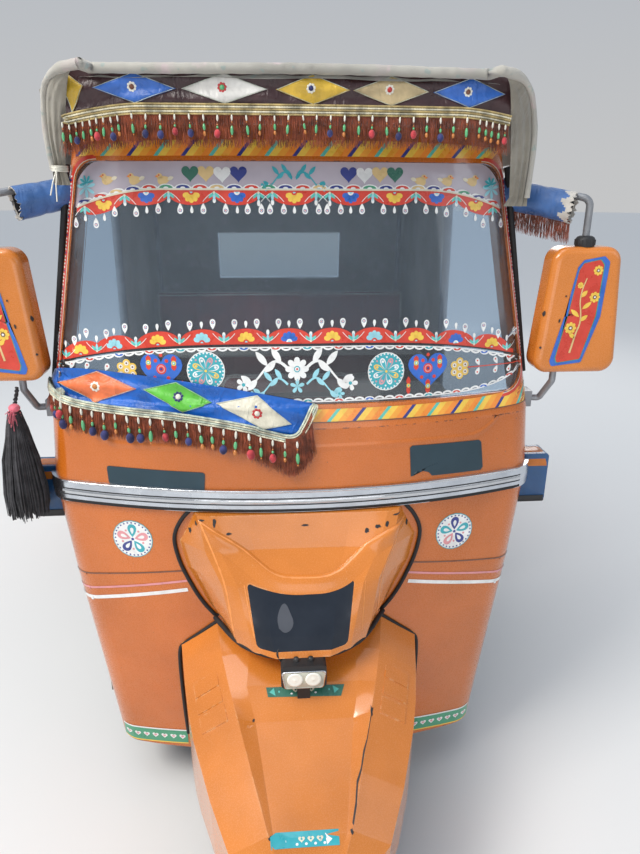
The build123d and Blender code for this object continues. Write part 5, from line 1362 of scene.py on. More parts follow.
class RICKSHAW_OT_nose_trim(bpy.types.Operator):
    """Bead the seams of the nose, chip its paint and lay on its two stickers"""

    bl_idname = "rickshaw.nose_trim"
    bl_label = "Nose Trim"

    def execute(self, context):
        dice = random.Random(11)
        panel, nose = Skin(["front_panel"]), Skin(["nose_cowl", "head_cowl", "headlamp"])
        beading = Shape()
        for edge in (COWL_EDGE, NOSE_EDGE):
            for side in (-1, 1):
                line = smooth_line([(side * x, z) for x, z in edge])
                beading.tube([panel.at(x, z, 0.0030) for x, z in line], 0.0048, "Black Beading")
        top = [panel.at(x, 0.8815 + 0.0005 * math.sin(x * 30), 0.0025) for x in steps(-0.250, 0.250, 41)]
        beading.tube(top, 0.0040, "Black Beading")
        # A black tube along the foot of the head cowl: painted shade in the dark gap under it.
        cowl_gap_shade = [(-0.205, -0.920), (-0.151, -1.014), (-0.110, -1.051), (-0.061, -1.077), (0.061, -1.077),
               (0.110, -1.051), (0.151, -1.014), (0.205, -0.920)]
        beading.tube([(x, y, 0.5985) for x, y in smooth_line(cowl_gap_shade)], 0.0062, "Black Beading")
        beading.piece("seam_beading", slot="grip_rubber")

        art = Artwork(nose, 0.0005, 0.0003)
        for x, z, width, height in CHIPS:
            art.patch(blotch(x, z, width, height, dice), "Primer")
        widths = [0.0022 * dice.uniform(0.5, 1.3) for _ in CRACK]
        art.line(CRACK, widths, "Primer")
        flame = [(-0.052, 0.655), (-0.040, 0.645), (-0.024, 0.651), (-0.018, 0.666), (-0.026, 0.682),
                 (-0.033, 0.697),
                 (-0.041, 0.701), (-0.050, 0.690), (-0.056, 0.672)]
        art.patch(smooth_line(flame + flame[:1])[:-1], "Scuffed Cover")
        crease = Shape()
        line = smooth_line(COWL_RIDGES[2][0], 3)
        rows = []
        for down, rise in ((-0.003, 0.0003), (0.000, 0.0040), (0.004, 0.0056), (0.009, 0.0056),
                           (0.016, 0.0040),
                           (0.024, 0.0018), (0.033, 0.0003)):
            row = []
            for k, (x, z) in enumerate(line):
                (ax, az), (bx, bz) = line[max(0, k - 2)], line[min(len(line) - 1, k + 2)]
                long = math.hypot(bx - ax, bz - az)
                fade = min(1.0, k / 8.0, (len(line) - 1 - k) / 8.0)
                row.append(nose.at(x + (bz - az) / long * down * fade, z - (bx - ax) / long * down * fade,
                                   lerp(0.0003, rise, fade)))
            rows.append(row)
        crease.grid(rows[::-1], "Nose Paint")
        crease.piece("cowl_crease", slot="nose_paint")
        # Paler lines along the cowl's ridges: a painted highlight, laid on as rubbed paint.
        rubbed_and_highlight = Artwork(Skin(["nose_cowl", "head_cowl", "headlamp", bpy.data.objects["cowl_crease"]]),
                         0.0003, 0.0002)
        for ridge, width in COWL_RIDGES:
            line = smooth_line(ridge, 3)
            rubbed_and_highlight.line(line, [width * dice.uniform(0.35, 1.1) for _ in line], "Rubbed Paint")
        rubbed_and_highlight.shape.piece("ridge_highlights", slot="nose_paint")
        # two stickers: their corners, ground, end leaves and middle motifs
        stickers = [
            ([(-0.084, 0.5195), (-0.080, 0.5065), (0.084, 0.5035), (0.093, 0.5190)], "Enamel Green",
             "Enamel Sea"),
            ([(-0.079, 0.3940), (-0.077, 0.3765), (0.056, 0.3765), (0.055, 0.3940)], "Enamel Teal",
             "Enamel White"),
        ]
        for corners, ground, tip in stickers:
            art.patch(corners, ground, 1)
            low, high = corners[1][1], corners[0][1]
            middle, tall = (low + high) / 2, high - low
            for side in (-1, 1):
                end = corners[0][0] + 0.007 if side < 0 else corners[3][0] - 0.013
                art.motif(PENNANT, end, middle, tall * 0.8, tip, 0.014, side * math.pi / 2, layer=2)
                art.motif(DISC, end - side * 0.022, middle, 0.004, tip, tall * 0.22, layer=2)
            for x in (-0.018, 0.0, 0.018):
                art.motif(HEART, x, middle + tall * 0.10, 0.013, "Enamel Cream", tall * 0.50, layer=2)
                art.motif(DISC, x, middle + tall * 0.12, 0.004, ground, tall * 0.15, layer=3)
            for x in (-0.027, -0.009, 0.009, 0.027):
                art.motif(DISC, x, middle - tall * 0.25, 0.0055, "Enamel White", tall * 0.2, layer=2)
        art.shape.piece("nose_ornament", slot="nose_paint")
        return {"FINISHED"}


class RICKSHAW_OT_fog_lens(bpy.types.Operator):
    """Set the lens, its two reflectors and the rim into the spot lamp"""

    bl_idname = "rickshaw.fog_lens"
    bl_label = "Spot Lamp Lens"

    def execute(self, context):
        low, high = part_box("fog_lamp")
        front, bottom, top = low[1], high[2] - 0.055, high[2] - 0.003
        shape = Shape()
        outline = rounded([(-0.041, bottom), (0.041, bottom), (0.047, top - 0.010), (-0.047, top - 0.010)],
                          0.006, 4)
        rings = [(1.06, -0.0005, "Black Plastic"), (1.05, -0.0035, "Chrome"), (1.00, -0.0040, "Chrome"),
                 (0.97, -0.0020, "Fog Lens"), (0.84, -0.0042, "Fog Lens"), (0.4, -0.0052, "Fog Lens")]
        middle = (bottom + top) / 2
        rows = [[(x * share, front + out, middle + (z - middle) * share) for x, z in outline]
                for share, out, _ in rings]
        shape.grid(rows, lambda j, i: rings[j + 1][2], closed=True)
        shape.fan((0.0, front - 0.0055, middle), rows[-1], "Fog Lens")
        for x in (-0.020, 0.020):
            profile = [(0.0175, -0.0055), (0.0165, -0.0075), (0.013, -0.0070), (0.006, -0.0066),
                       (0.0, -0.0080)]
            shape.lathe((x, front, middle - 0.002), (0, 1, 0), profile, "Reflector", sides=20)
        shape.piece("fog_lens", slot="lamp_lens")
        bolts = Shape()
        for x in (-0.016, 0.016):
            head = [(0.0065, -0.001), (0.0065, 0.006), (0.004, 0.0085), (0.0, 0.0085)]
            bolts.lathe((x, front + 0.020, high[2]), (0, 0, 1), head, "Black Steel", sides=8)
        lead = [(-0.046, front + 0.030, high[2] - 0.012), (-0.056, front + 0.030, high[2] + 0.002),
                (-0.058, front + 0.034, high[2] + 0.012), (-0.052, front + 0.042, high[2] + 0.018)]
        bolts.tube(smooth_line(lead), 0.0022, "Grip Rubber", sides=6)
        bolts.piece("fog_fittings", slot="black_steel")
        return {"FINISHED"}


class RICKSHAW_OT_waist(bpy.types.Operator):
    """Line the waist trim and dress the lamps on the corners"""

    bl_idname = "rickshaw.waist"
    bl_label = "Waist Trim and Side Lamps"

    def execute(self, context):
        trim = Skin(["waist_trim"])
        low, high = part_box("waist_trim")
        shape = Shape()
        # height on the trim, half width and finish of each line
        for z, half, name in ((low[2] + 0.0035, 0.0042, "Black Beading"),
                              (low[2] + 0.0185, 0.0016, "Black Beading"),
                              (low[2] + 0.0330, 0.0016, "Black Beading"),
                              (high[2] - 0.0025, 0.0030, "Chrome"),
                              (low[2] + 0.0257, 0.0045, "Chrome")):
            rows = [[trim.at(x, z + dz, rise) for x in steps(-0.552, 0.552, 93)]
                    for dz, rise in ((-half, 0.0001), (-half * 0.5, 0.0009), (half * 0.5, 0.0009),
                                     (half, 0.0001))]
            shape.grid(rows, name)
        shape.piece("trim_lines", slot="trim_metal")

        low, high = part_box("side_lamps")
        lamps = Shape()
        for side in (-1, 1):
            inner, outer = 0.572, high[0] + 0.0012
            front, back = low[1] - 0.0012, high[1] + 0.0012

            def ring(z, shrink):
                corners = [(side * inner, front + shrink), (side * (outer - shrink), front + shrink),
                           (side * (outer - shrink), back - shrink), (side * inner, back - shrink)]
                return [(x, y, z) for x, y in rounded(corners[::side], 0.009, 5)]

            bands = [
                ("Amber Lens", [(high[2] - 0.034, 0.0), (high[2] - 0.010, 0.0015), (high[2] - 0.002, 0.006),
                                (high[2] + 0.0012, 0.014), (high[2] + 0.0012, 0.022)]),
                ("Black Plastic",
                 [(low[2] - 0.0012, 0.010), (low[2] - 0.0012, -0.0005), (low[2] + 0.016, -0.0005)]),
            ]
            for name, levels in bands:
                lamps.grid([ring(z, shrink) for z, shrink in levels], name, closed=True)
            top = high[2] + 0.0012
            lamps.fan((side * (inner + outer) / 2, (front + back) / 2, top), ring(top, 0.022), "Amber Lens")
        lamps.piece("side_lamp_lenses", slot="signal_blue")
        return {"FINISHED"}


# Satin, braid, fringe and bead drops

class Folded:
    """A skin with soft folds: how far it stands out is a function of x and z.

    It goes straight up over its top."""

    def __init__(self, skin, fold, top=9.0):
        self.skin, self.fold, self.top = skin, fold, top

    def at(self, x, z, lift=0.0):
        point = self.skin.at(x, min(z, self.top), lift + self.fold(x, z))
        return point + Vector((0.0, 0.0, max(0.0, z - self.top)))


def resampled(points, pitch):
    """Points along a line at an even pitch."""
    points = [Vector(p) for p in points]
    found, spare = [points[0]], 0.0
    for first, second in zip(points, points[1:]):
        run = (second - first).length
        place = pitch - spare
        while place <= run:
            found.append(first.lerp(second, place / run))
            place += pitch
        spare = run - (place - pitch)
    return found


def bead(radius, long, count=6):
    """Profile of an oval bead that hangs from its top."""
    return [(max(0.0002, radius * math.sin(a)), long * (1 - math.cos(a)) / 2)
            for a in steps(0.0, math.pi, count)]


# The bead strings that repeat along a fringe: finish, radius and length from the top down
DROPS = [
    (("Bead White", 0.0021, 0.0115), ("Bead Brown", 0.0015, 0.003), ("Bead Amber", 0.0014, 0.003),
     ("Bead Green", 0.0024, 0.008), ("Navy Yarn", 0.0062, 0.0155)),
    (("Bead White", 0.0020, 0.0105), ("Bead Amber", 0.0014, 0.003), ("Bead Brown", 0.0015, 0.003),
     ("Bead Green", 0.0030, 0.0165), ("Bead Amber", 0.0016, 0.003)),
    (("Bead White", 0.0021, 0.0110), ("Bead Brown", 0.0015, 0.003), ("Bead Amber", 0.0014, 0.003),
     ("Bead Green", 0.0022, 0.005), ("Red Yarn", 0.0058, 0.0150)),
    (("Bead White", 0.0020, 0.0115), ("Bead Brown", 0.0015, 0.003), ("Bead Green", 0.0028, 0.012),
     ("Bead Amber", 0.0030, 0.009)),
]


def bead_drop(shape, top, beads, lean, size=1.0):
    """A string of beads that hangs from a point."""
    along = Vector((lean[0], lean[1], -1.0)).normalized()
    place = Vector(top)
    total = sum(long for _, _, long in beads) * size
    shape.tube([place - along * 0.003, place + along * total], 0.0005, "Black Yarn", sides=4, caps=False)
    for name, radius, long in beads:
        profile = bead(radius * size, long * size, 7 if radius > 0.004 else 6)
        shape.lathe(place, along, profile, name, sides=9 if radius > 0.004 else 7)
        place += along * (long * size + 0.0004)


def braid(shape, rail, width, tones):
    """A woven braid along a rail: a flat ground with rows of plaited cord on it.

    The rail is a list of (point, outward, down) with unit directions.
    """
    half, rise = width / 2, 0.0016
    ground = [[point + down * (half * share) + outward * (rise * 0.3) for point, outward, down in rail]
              for share in (1.0, 0.0, -1.0)]
    shape.grid(ground, tones[0])
    for row, name in enumerate(tones):
        offset = half * (2 * (row + 0.5) / len(tones) - 1)
        radius = half / len(tones) * 0.95
        for strand in (0.0, math.pi):
            path = []
            for index, (point, outward, down) in enumerate(rail):
                swing = math.sin(index * 1.35 + strand) * radius * 0.35
                lift = math.cos(index * 1.35 + strand) * radius * 0.35
                path.append(point + down * (offset + swing) + outward * (rise + radius * 0.5 + lift))
            shape.tube(path, radius * 0.62, name, sides=5, caps=False)


def fringe(shape, rail, length, pitch, dice, layers=3, sway=0.006):
    """Loose threads that hang from a rail.  Their length is a number or a function of x."""
    radius = 0.00055
    points = [point for point, _, _ in rail]
    last, run = len(rail) - 1, max(pitch, total_length(points))
    for layer in range(layers):
        for index, point in enumerate(resampled(points, pitch)):
            outward = rail[min(last, round(index * last * pitch / run))][1]
            long = (length(point.x) if callable(length) else length) * dice.uniform(0.78, 1.05)
            drift = Vector((dice.gauss(0, sway), 0, 0))
            curl = dice.uniform(-0.5, 1.0)
            path = []
            for share in (0.0, 0.3, 0.65, 1.0):
                out = 0.0015 + layer * 0.0012 + 0.004 * math.sin(share * math.pi * 0.8) * curl
                path.append(point + outward * out + drift * share ** 1.4 + Vector((0, 0, -long * share)))
            shape.tube(path, [radius, radius, radius * 0.9, radius * 0.6], "Fringe Yarn", sides=3, caps=False)


def total_length(points):
    return sum((b - a).length for a, b in zip(points, points[1:]))


def rail_on(skin, line, lift):
    """A rail along points (x, z) of a skin: place, outward direction and the way down across it."""
    spots = resampled([(x, 0.0, z) for x, z in line], 0.0022)
    places = [skin.at(spot.x, spot.z, lift) for spot in spots]
    rail = []
    for index, place in enumerate(places):
        near, far = places[max(0, index - 2)], places[min(len(places) - 1, index + 2)]
        along = (far - near).normalized()
        outward = (place - skin.at(spots[index].x, spots[index].z, 0.0)).normalized()
        down = along.cross(outward)
        rail.append((place, outward, -down if down.z > 0 else down))
    return rail


def sequin_flower(art, x, z, size, rim, heart):
    """Small raised petals round a domed sequin."""
    lift = 0.0034
    for angle in turns(8, 0.2):
        px, pz = polar(x, z, size * 0.34, angle)
        middle = art.skin.at(px, pz, lift + size * 0.10)
        rim_points = [art.skin.at(px + size * 0.15 * c, pz + size * 0.15 * s, lift) for c, s in circle(8)]
        art.shape.fan(middle, rim_points, rim)
    rings = [[art.skin.at(x + size * 0.26 * r * c, z + size * 0.26 * r * s, lift + size * h)
              for c, s in circle(10)]
             for r, h in ((1.0, 0.02), (0.75, 0.12), (0.35, 0.17))]
    art.shape.grid(rings, heart, closed=True)
    art.shape.fan(art.skin.at(x, z, lift + size * 0.18), rings[-1], heart)


def satin_diamond(art, corners, name):
    """A puffed rhombus of satin, stitched round its edge."""
    outline = [point for first, second in edges_of(corners)
               for point in on_edge(first, second, steps(0.0, 1.0, 15)[:-1])]
    x, z = middle_of(corners)

    def loop(share, lift):
        return [art.skin.at(lerp(x, px, share), lerp(z, pz, share), lift) for px, pz in outline]

    rows = [loop(share, lift) for share, lift in ((1.0, 0.0006), (0.985, 0.0016), (0.9, 0.0026),
                                                  (0.7, 0.0030),
                                                  (0.45, 0.0032), (0.2, 0.0034))]
    art.shape.grid(rows, name, closed=True)
    art.shape.fan(art.skin.at(x, z, 0.0034), rows[-1], name)
    art.shape.hoop(loop(0.965, 0.0028), 0.0005, "Silver Braid", 4)


# Diamonds on the upper satin: x of the left tip, x of the right tip, finish, flower rim and heart.
# The first is cut off by the hood's corner.
UPPER_DIAMONDS = [
    (-0.470, -0.385, "Satin Yellow", None, None),
    (-0.385, -0.227, "Satin Blue", "Bead White", "Bead Brown"),
    (-0.217, -0.052, "Satin White", "Bead Red", "Bead Green"),
    (-0.036, 0.108, "Satin Yellow", "Bead White", "Bead Navy"),
    (0.114, 0.266, "Satin Tan", "Bead White", "Bead Red"),
    (0.274, 0.425, "Satin Blue", "Bead White", "Bead Brown"),
]


class RICKSHAW_OT_upper_valance(bpy.types.Operator):
    """Hang the satin valance with its diamonds, braid, fringe and bead drops under the hood"""

    bl_idname = "rickshaw.upper_valance"
    bl_label = "Upper Valance"

    def execute(self, context):
        soft = context.scene.rickshaw_cloth
        left, right, top = -0.445, 0.437, 1.787

        def low(x):
            falls = (0.020, (-x - 0.30) / 0.14), (0.014, (x - 0.33) / 0.11)
            return 1.7205 - sum(drop * max(0.0, share) ** 1.6 for drop, share in falls)

        def fold(x, z):
            share = (z - low(x)) / (top - low(x))
            drape = math.sin(math.pi * 3.2 * share + 1.4 * math.sin(11.0 * x) + 0.8 * math.sin(27 * x))
            pleat = math.sin(68.0 * x + 1.5 * math.sin(19.0 * x))
            return 0.004 + 0.0030 * drape * math.sin(math.pi * share) + 0.0016 * pleat * (1.0 - share)

        ground = Skin(["front_valance"])
        skin = Folded(ground, fold, 1.762)
        sheet = Shape()
        sheet.grid([[skin.at(x, lerp(low(x) - 0.004, top, share)) for x in steps(left, right, 241)]
                    for share in steps(0.0, 1.0, 19)], "Upper Satin")
        cloth_piece = sheet.piece("upper_satin", slot="satin_dark", replaces=["front_valance"])

        art = Artwork(skin)
        for first, last, name, rim, heart in UPPER_DIAMONDS:
            middle = (first + last) / 2
            high, deep = 1.7835, low(middle) + 0.0095
            tips = (high + deep) / 2
            if rim is None:
                satin_diamond(art, [(-0.428, 1.712), (-0.402, 1.760), (-0.428, 1.779), (-0.443, 1.770)], name)
                continue
            satin_diamond(art, [(first, tips), (middle, deep), (last, tips), (middle, high)], name)
            sequin_flower(art, middle - 0.004, tips + 0.002, 0.019, rim, heart)
        diamonds = art.shape.piece("upper_diamonds", slot="satin_dark")

        dice = random.Random(11)
        trim = Shape()
        rail = rail_on(ground, [(x, low(x)) for x in steps(left, right, 120)], 0.0075)
        braid(trim, rail, 0.0215, ("Gold Braid", "Cream Braid", "Gold Braid", "Cream Braid", "Gold Braid"))
        braid_piece = trim.piece("upper_braid", slot="yarn")
        threads = Shape()
        under = [(point + down * 0.009 - outward * 0.003, outward, down) for point, outward, down in rail]
        fringe(threads, under, soft.fringe_length, 0.0012, dice)
        fringe_piece = threads.piece("upper_fringe", slot="yarn")
        drops = Shape()
        tops = [place for place, _, _ in under]
        for index, point in enumerate(resampled(tops, soft.drop_pitch * 0.5)):
            if index % 2 == 0 or point.x < -0.33 or point.x > 0.36:
                lean = (dice.gauss(0, 0.05), dice.uniform(-0.05, 0.02))
                place = point + Vector((0, -0.0085, dice.uniform(-0.001, 0.002)))
                bead_drop(drops, place, DROPS[dice.randrange(4)], lean, dice.uniform(0.95, 1.12))
        drop_piece = drops.piece("upper_drops", slot="yarn")
        return {"FINISHED"}


# Top edge and braid of the draped valance: x and z
DRAPE_TOP = [(-0.572, 1.168), (-0.55, 1.188), (-0.50, 1.197), (-0.445, 1.196), (-0.324, 1.187),
             (-0.213, 1.175),
             (-0.082, 1.154), (0.027, 1.133), (0.040, 1.128)]
DRAPE_BRAID = [(-0.574, 1.172), (-0.566, 1.156), (-0.545, 1.138), (-0.510, 1.124), (-0.46, 1.117),
               (-0.393, 1.112),
               (-0.259, 1.104), (-0.128, 1.085), (-0.060, 1.068), (-0.024, 1.058), (-0.004, 1.060),
               (0.010, 1.074),
               (0.022, 1.096), (0.032, 1.118), (0.038, 1.130)]
# Length of its fringe: x and length
DRAPE_FRINGE = [(-0.58, 0.050), (-0.50, 0.062), (-0.12, 0.060), (-0.05, 0.078), (0.0, 0.085)]


class RICKSHAW_OT_lower_valance(bpy.types.Operator):
    """Drape the blue satin with its diamonds, braid and fringe across the front"""

    bl_idname = "rickshaw.lower_valance"
    bl_label = "Draped Valance"

    def execute(self, context):
        braid_line = smooth_line(DRAPE_BRAID)
        top_line = smooth_line(DRAPE_TOP)
        ground = Skin(["windscreen", "windscreen_frame", "front_panel"])

        def fold(x, z):
            drape = math.sin(150.0 * (z - 1.1) + 16.0 * x + 1.2 * math.sin(21.0 * x))
            wide = math.sin(31.0 * x + 40.0 * (z - 1.1))
            return 0.0075 + 0.0026 * drape + 0.0018 * wide

        skin = Folded(ground, fold)
        sheet = Shape()
        columns = steps(-0.572, 0.036, 181)
        sheet.grid([[skin.at(x, lerp(between(braid_line[:-8], x) - 0.003 if x < 0.0
                                     else between(braid_line, x),
                                     between(top_line, x), share)) for x in columns]
                    for share in steps(0.0, 1.0, 25)], "Lower Satin")
        cloth_piece = sheet.piece("draped_satin", slot="satin_blue", replaces=["lower_valance"])

        art = Artwork(skin)
        diamonds = [
            ([(-0.536, 1.160), (-0.448, 1.124), (-0.352, 1.158), (-0.440, 1.193)], "Satin Orange",
             "Bead White",
             "Bead Amber"),
            ([(-0.338, 1.158), (-0.252, 1.112), (-0.186, 1.134), (-0.262, 1.177)], "Satin Green", "Bead Navy",
             "Bead White"),
            ([(-0.178, 1.133), (-0.075, 1.078), (-0.014, 1.088), (-0.088, 1.150)], "Satin Cream", "Bead Red",
             "Bead White"),
        ]
        for corners, name, rim, heart in diamonds:
            satin_diamond(art, corners, name)
            sequin_flower(art, *middle_of(corners), 0.024, rim, heart)
        diamond_piece = art.shape.piece("draped_diamonds", slot="satin_blue")

        dice = random.Random(23)
        trim = Shape()
        rail = rail_on(ground, braid_line, 0.012)
        braid(trim, rail, 0.019, ("Silver Braid", "Cream Braid", "Silver Braid", "Cream Braid"))
        braid_piece = trim.piece("draped_braid", slot="yarn")
        under = [(point + Vector((0, 0, -0.006)) - outward * 0.002, outward, down)
                 for point, outward, down in rail
                 if point.x < -0.002]
        threads = Shape()
        fringe(threads, under, lambda x: between(DRAPE_FRINGE, x), 0.0012, dice)
        corner = [(point, outward, down) for point, outward, down in rail
                  if point.x >= -0.03 and point.z < 1.118]
        fringe(threads, corner, lambda x: 0.088 + 0.4 * max(0.0, x), 0.0008, dice, layers=4)
        fringe_piece = threads.piece("draped_fringe", slot="yarn")
        drops = Shape()
        for point in resampled([place for place, _, _ in under], 0.0275):
            lean = (dice.gauss(0, 0.07), dice.uniform(-0.06, 0.0))
            bead_drop(drops, point + Vector((0, -0.008, -0.002)), DROPS[dice.randrange(4)], lean,
                      dice.uniform(1.25, 1.65))
        drop_piece = drops.piece("draped_drops", slot="yarn")
        return {"FINISHED"}


# Mirrors, their arms' cloth sleeves, and the tassel

ARM_ROOT = Vector((0.492, -0.672, 1.590))
ARM_KNEE = Vector((0.662, -0.780, 1.558))
SLEEVE_STEPS = 40


class RICKSHAW_OT_sleeves(bpy.types.Operator):
    """Wrap the mirror arms in blue cloth with a torn end and a fringe"""

    bl_idname = "rickshaw.sleeves"
    bl_label = "Arm Sleeves"

    def execute(self, context):
        dice = random.Random(5)
        sleeve, threads = Shape(), Shape()
        for side, outer in ((-1, 0.150), (1, 0.190)):
            start = Vector((side * (ARM_ROOT.x - 0.022), ARM_ROOT.y - 0.006, ARM_ROOT.z - 0.016))
            along = ((ARM_KNEE - ARM_ROOT) * Vector((side, 1, 1))).normalized()
            up = (Vector((0, 0, 1)) - along * along.z).normalized()
            across = along.cross(up)
            centres = []
            for share in steps(0.0, 1.0, SLEEVE_STEPS + 1):
                sink = 0.006 * share + 0.010 * max(0.0, share - 0.75) ** 1.5
                centres.append(start + along * outer * share - Vector((0, 0, sink)))
            rows = []
            for j, centre in enumerate(centres):
                share = j / SLEEVE_STEPS
                row = []
                for angle in turns(48):
                    fold = 0.0010 * math.sin(angle * 2 + 3.0 * share + side)
                    fold += 0.0007 * math.sin(angle * 5 - 4 * share)
                    pinch = -0.0018 * math.exp(-((share - 0.62 - 0.05 * math.sin(angle)) / 0.05) ** 2)
                    pucker = 0.0016 * max(0.0, share - 0.86) / 0.14 * math.sin(angle * 7 + 1.0)
                    radius = 0.0325 + 0.0022 * share + fold + pinch + pucker
                    torn = along * (dice.uniform(-0.010, 0.002) if j == SLEEVE_STEPS else 0.0)
                    row.append(centre + torn
                               + (up * math.cos(angle) * 0.98 + across * math.sin(angle)) * radius)
                rows.append(row)
            edge = 0.88 if side > 0 else 1.1
            sleeve.grid(rows,
                        lambda j, i: "Torn Backing" if j / SLEEVE_STEPS + 0.04 * math.sin(i * 0.9) > edge
                        else "Sleeve Cloth", closed=True)
            # The inside of each sleeve is black: painted shade within the tube.
            inside = [[centre + (point - centre) * 0.93 for point in row]
                      for centre, row in zip(centres, rows)][::-1]
            sleeve.grid([rows[-1]] + inside[:26], lambda j, i: "Torn Backing" if j < 3 else "Black Yarn",
                        closed=True)
            if side > 0:
                lining = [(centre - Vector((0, 0.004, 0.0285)), Vector((0, -1, 0)), Vector((0, 0, -1)))
                          for centre in centres[6:39]]
                fringe(threads, lining, 0.050, 0.0012, dice, sway=0.003)
        cloth_piece = sleeve.piece("cloth_sleeves", slot="sleeve_cloth", replaces=["arm_sleeves"])
        fringe_piece = threads.piece("sleeve_fringe", slot="yarn")
        return {"FINISHED"}


class RICKSHAW_OT_tassel(bpy.types.Operator):
    """Hang the yarn tassel from the foot of one mirror"""

    bl_idname = "rickshaw.tassel"
    bl_label = "Tassel"

    def execute(self, context):
        dice = random.Random(7)
        shape = Shape()
        centre = Vector((-0.642, -0.812, 0.0))
        knot = Vector((centre.x, centre.y, 1.100))
        for _ in range(760):
            angle, reach = dice.uniform(0, 2 * math.pi), math.sqrt(dice.random())
            side = Vector((math.cos(angle), math.sin(angle), 0.0))
            end = dice.uniform(0.838, 0.872)
            path = []
            for z, radius in ((1.098, 0.012), (1.055, 0.023), (0.985, 0.040), (0.90, 0.049), (end, 0.047)):
                wave = 0.0022 * math.sin(z * 130 + angle * 5)
                path.append(centre + side * (radius * (0.35 + 0.65 * reach) + wave) + Vector((0, 0, z)))
            shape.tube(path, 0.0011, "Black Yarn", sides=3, caps=False)
        for turn in range(5):
            ring = [knot + Vector((0.0125 * math.cos(a), 0.0125 * math.sin(a), -0.006 - 0.0035 * turn))
                    for a in turns(14)]
            shape.hoop(ring, 0.0019, "Black Yarn" if turn % 2 else "Pink Yarn", 5)
        loop = [(-0.642, -0.806, 1.104), (-0.640, -0.800, 1.122), (-0.636, -0.797, 1.136),
                (-0.634, -0.795, 1.150)]
        for twist in (0.0, math.pi):
            path = [Vector(p)
                    + Vector((0.003 * math.cos(k * 1.3 + twist), 0.003 * math.sin(k * 1.3 + twist), 0))
                    for k, p in enumerate(resampled(loop, 0.004))]
            shape.tube(path, 0.0026, "Black Yarn", sides=6)
        shape.lathe(knot + Vector((0.004, -0.006, 0.018)), (0, 0, -1), bead(0.013, 0.020, 8), "Pink Yarn",
                    sides=12)
        for _ in range(26):
            tip = Vector((dice.gauss(0, 0.008), -0.012 - dice.random() * 0.010, dice.gauss(-0.028, 0.010)))
            start = knot + Vector((0.004, -0.012, 0.010))
            shape.tube([start, start + tip * 0.5 + Vector((0, -0.004, 0)), start + tip], 0.0009, "Pink Yarn",
                       sides=3,
                       caps=False)
        shape.piece("yarn_tassel", slot="yarn", replaces=["tassel"])
        return {"FINISHED"}


class RICKSHAW_OT_mirror_details(bpy.types.Operator):
    """Paint the mirror housings, chip their paint and fit their knobs"""

    bl_idname = "rickshaw.mirror_details"
    bl_label = "Mirror Details"

    def execute(self, context):
        art = Artwork(Skin(["mirror_housings"]))
        fittings = Shape()
        for side in (-1, 1):
            # The panel on the outer half of the front face, drawn for the vehicle's left side
            corners = [(0.604, 1.183), (0.676, 1.192), (0.708, 1.300), (0.713, 1.424), (0.700, 1.4365),
                       (0.652, 1.428),
                       (0.640, 1.412), (0.622, 1.300), (0.599, 1.196)]
            mirrored = [(side * x, z) for x, z in corners]
            outline = rounded(mirrored if side > 0 else mirrored[::-1], 0.006, 4)
            cx, cz = middle_of(outline)
            rim, field = ([(lerp(cx, x, wide), lerp(cz, z, tall)) for x, z in outline]
                          for wide, tall in ((0.80, 0.945), (0.765, 0.935)))
            art.between_outlines(outline, rim, "Enamel Blue", 1)
            art.between_outlines(rim, field, "Enamel Leaf", 2)
            art.patch(field, "Enamel Red", 1, rings=(1.0, 0.6, 0.3))
            stem = [(0.645, 1.215), (0.650, 1.240), (0.654, 1.262), (0.662, 1.285), (0.660, 1.310),
                    (0.654, 1.335),
                    (0.656, 1.362), (0.664, 1.388)]
            stem = [(side * x, z) for x, z in smooth_line(stem)]
            art.line(stem, [0.0048 - 0.0026 * k / len(stem) for k in range(len(stem))], "Enamel Tan", 3)
            for x, z, size in ((0.688, 1.405, 0.022), (0.640, 1.274, 0.027), (0.688, 1.345, 0.024),
                               (0.651, 1.372, 0.014)):
                art.petals(side * x, z, 8, size * 0.52, size * 0.30, "Enamel Yellow", layer=3)
                if size > 0.015:
                    art.eye(side * x, z, size * 0.38, ("Enamel Brown", "Enamel White"), 4)
            for x, z, turn, long in ((0.657, 1.300, 0.9, 0.028), (0.662, 1.318, -0.9, 0.026),
                                     (0.656, 1.345, -0.7, 0.020), (0.652, 1.250, 0.8, 0.018),
                                     (0.660, 1.290, -0.9, 0.022)):
                art.motif(LEAF, side * x, z, 0.010, "Enamel Yellow", long, side * turn, layer=3)
            for x, z, long in ((0.576, 1.300, 0.014), (0.611, 1.286, 0.011), (0.575, 1.225, 0.006),
                               (0.620, 1.345, 0.005)):
                art.motif(LEAF, side * x, z, 0.0045, "Primer", long, side * -0.15, layer=2)
            # knob on the top
            top = Vector((side * 0.6615, -0.7805, 1.456))
            fittings.lathe(top, (0, 0, 1), [(0.0205, -0.001), (0.0215, 0.002), (0.0215, 0.016),
                                            (0.0185, 0.0205),
                                            (0.0135, 0.023), (0.0085, 0.0235)], "Black Plastic", sides=28)
            for angle in turns(14):
                edge = top + Vector((0.0213 * math.cos(angle), 0.0213 * math.sin(angle), 0.009))
                fittings.tube([edge - Vector((0, 0, 0.006)), edge + Vector((0, 0, 0.006))], 0.0017,
                              "Black Plastic",
                              sides=6)
        art.shape.piece("mirror_ornament", slot="mirror_paint")
        fittings.piece("mirror_fittings", slot="black_plastic")
        return {"FINISHED"}


# Hood cloth

# Where the roof ends and the curtains begin, and the plan's rear edge there
ROOF_SPLIT, ROOF_REAR = 1.625, 1.232
# Levels of the roof: height, how far its sides and its front stand in, and its rear edge
ROOF_LEVELS = [(ROOF_SPLIT, 0.0, 0.0, ROOF_REAR), (1.700, 0.006, 0.004, 1.215), (1.765, 0.030, 0.010, 1.170),
               (1.800, 0.110, 0.050, 1.080), (1.818, 0.280, 0.170, 0.900)]
CROWN = ROOF_LEVELS[-1][0]
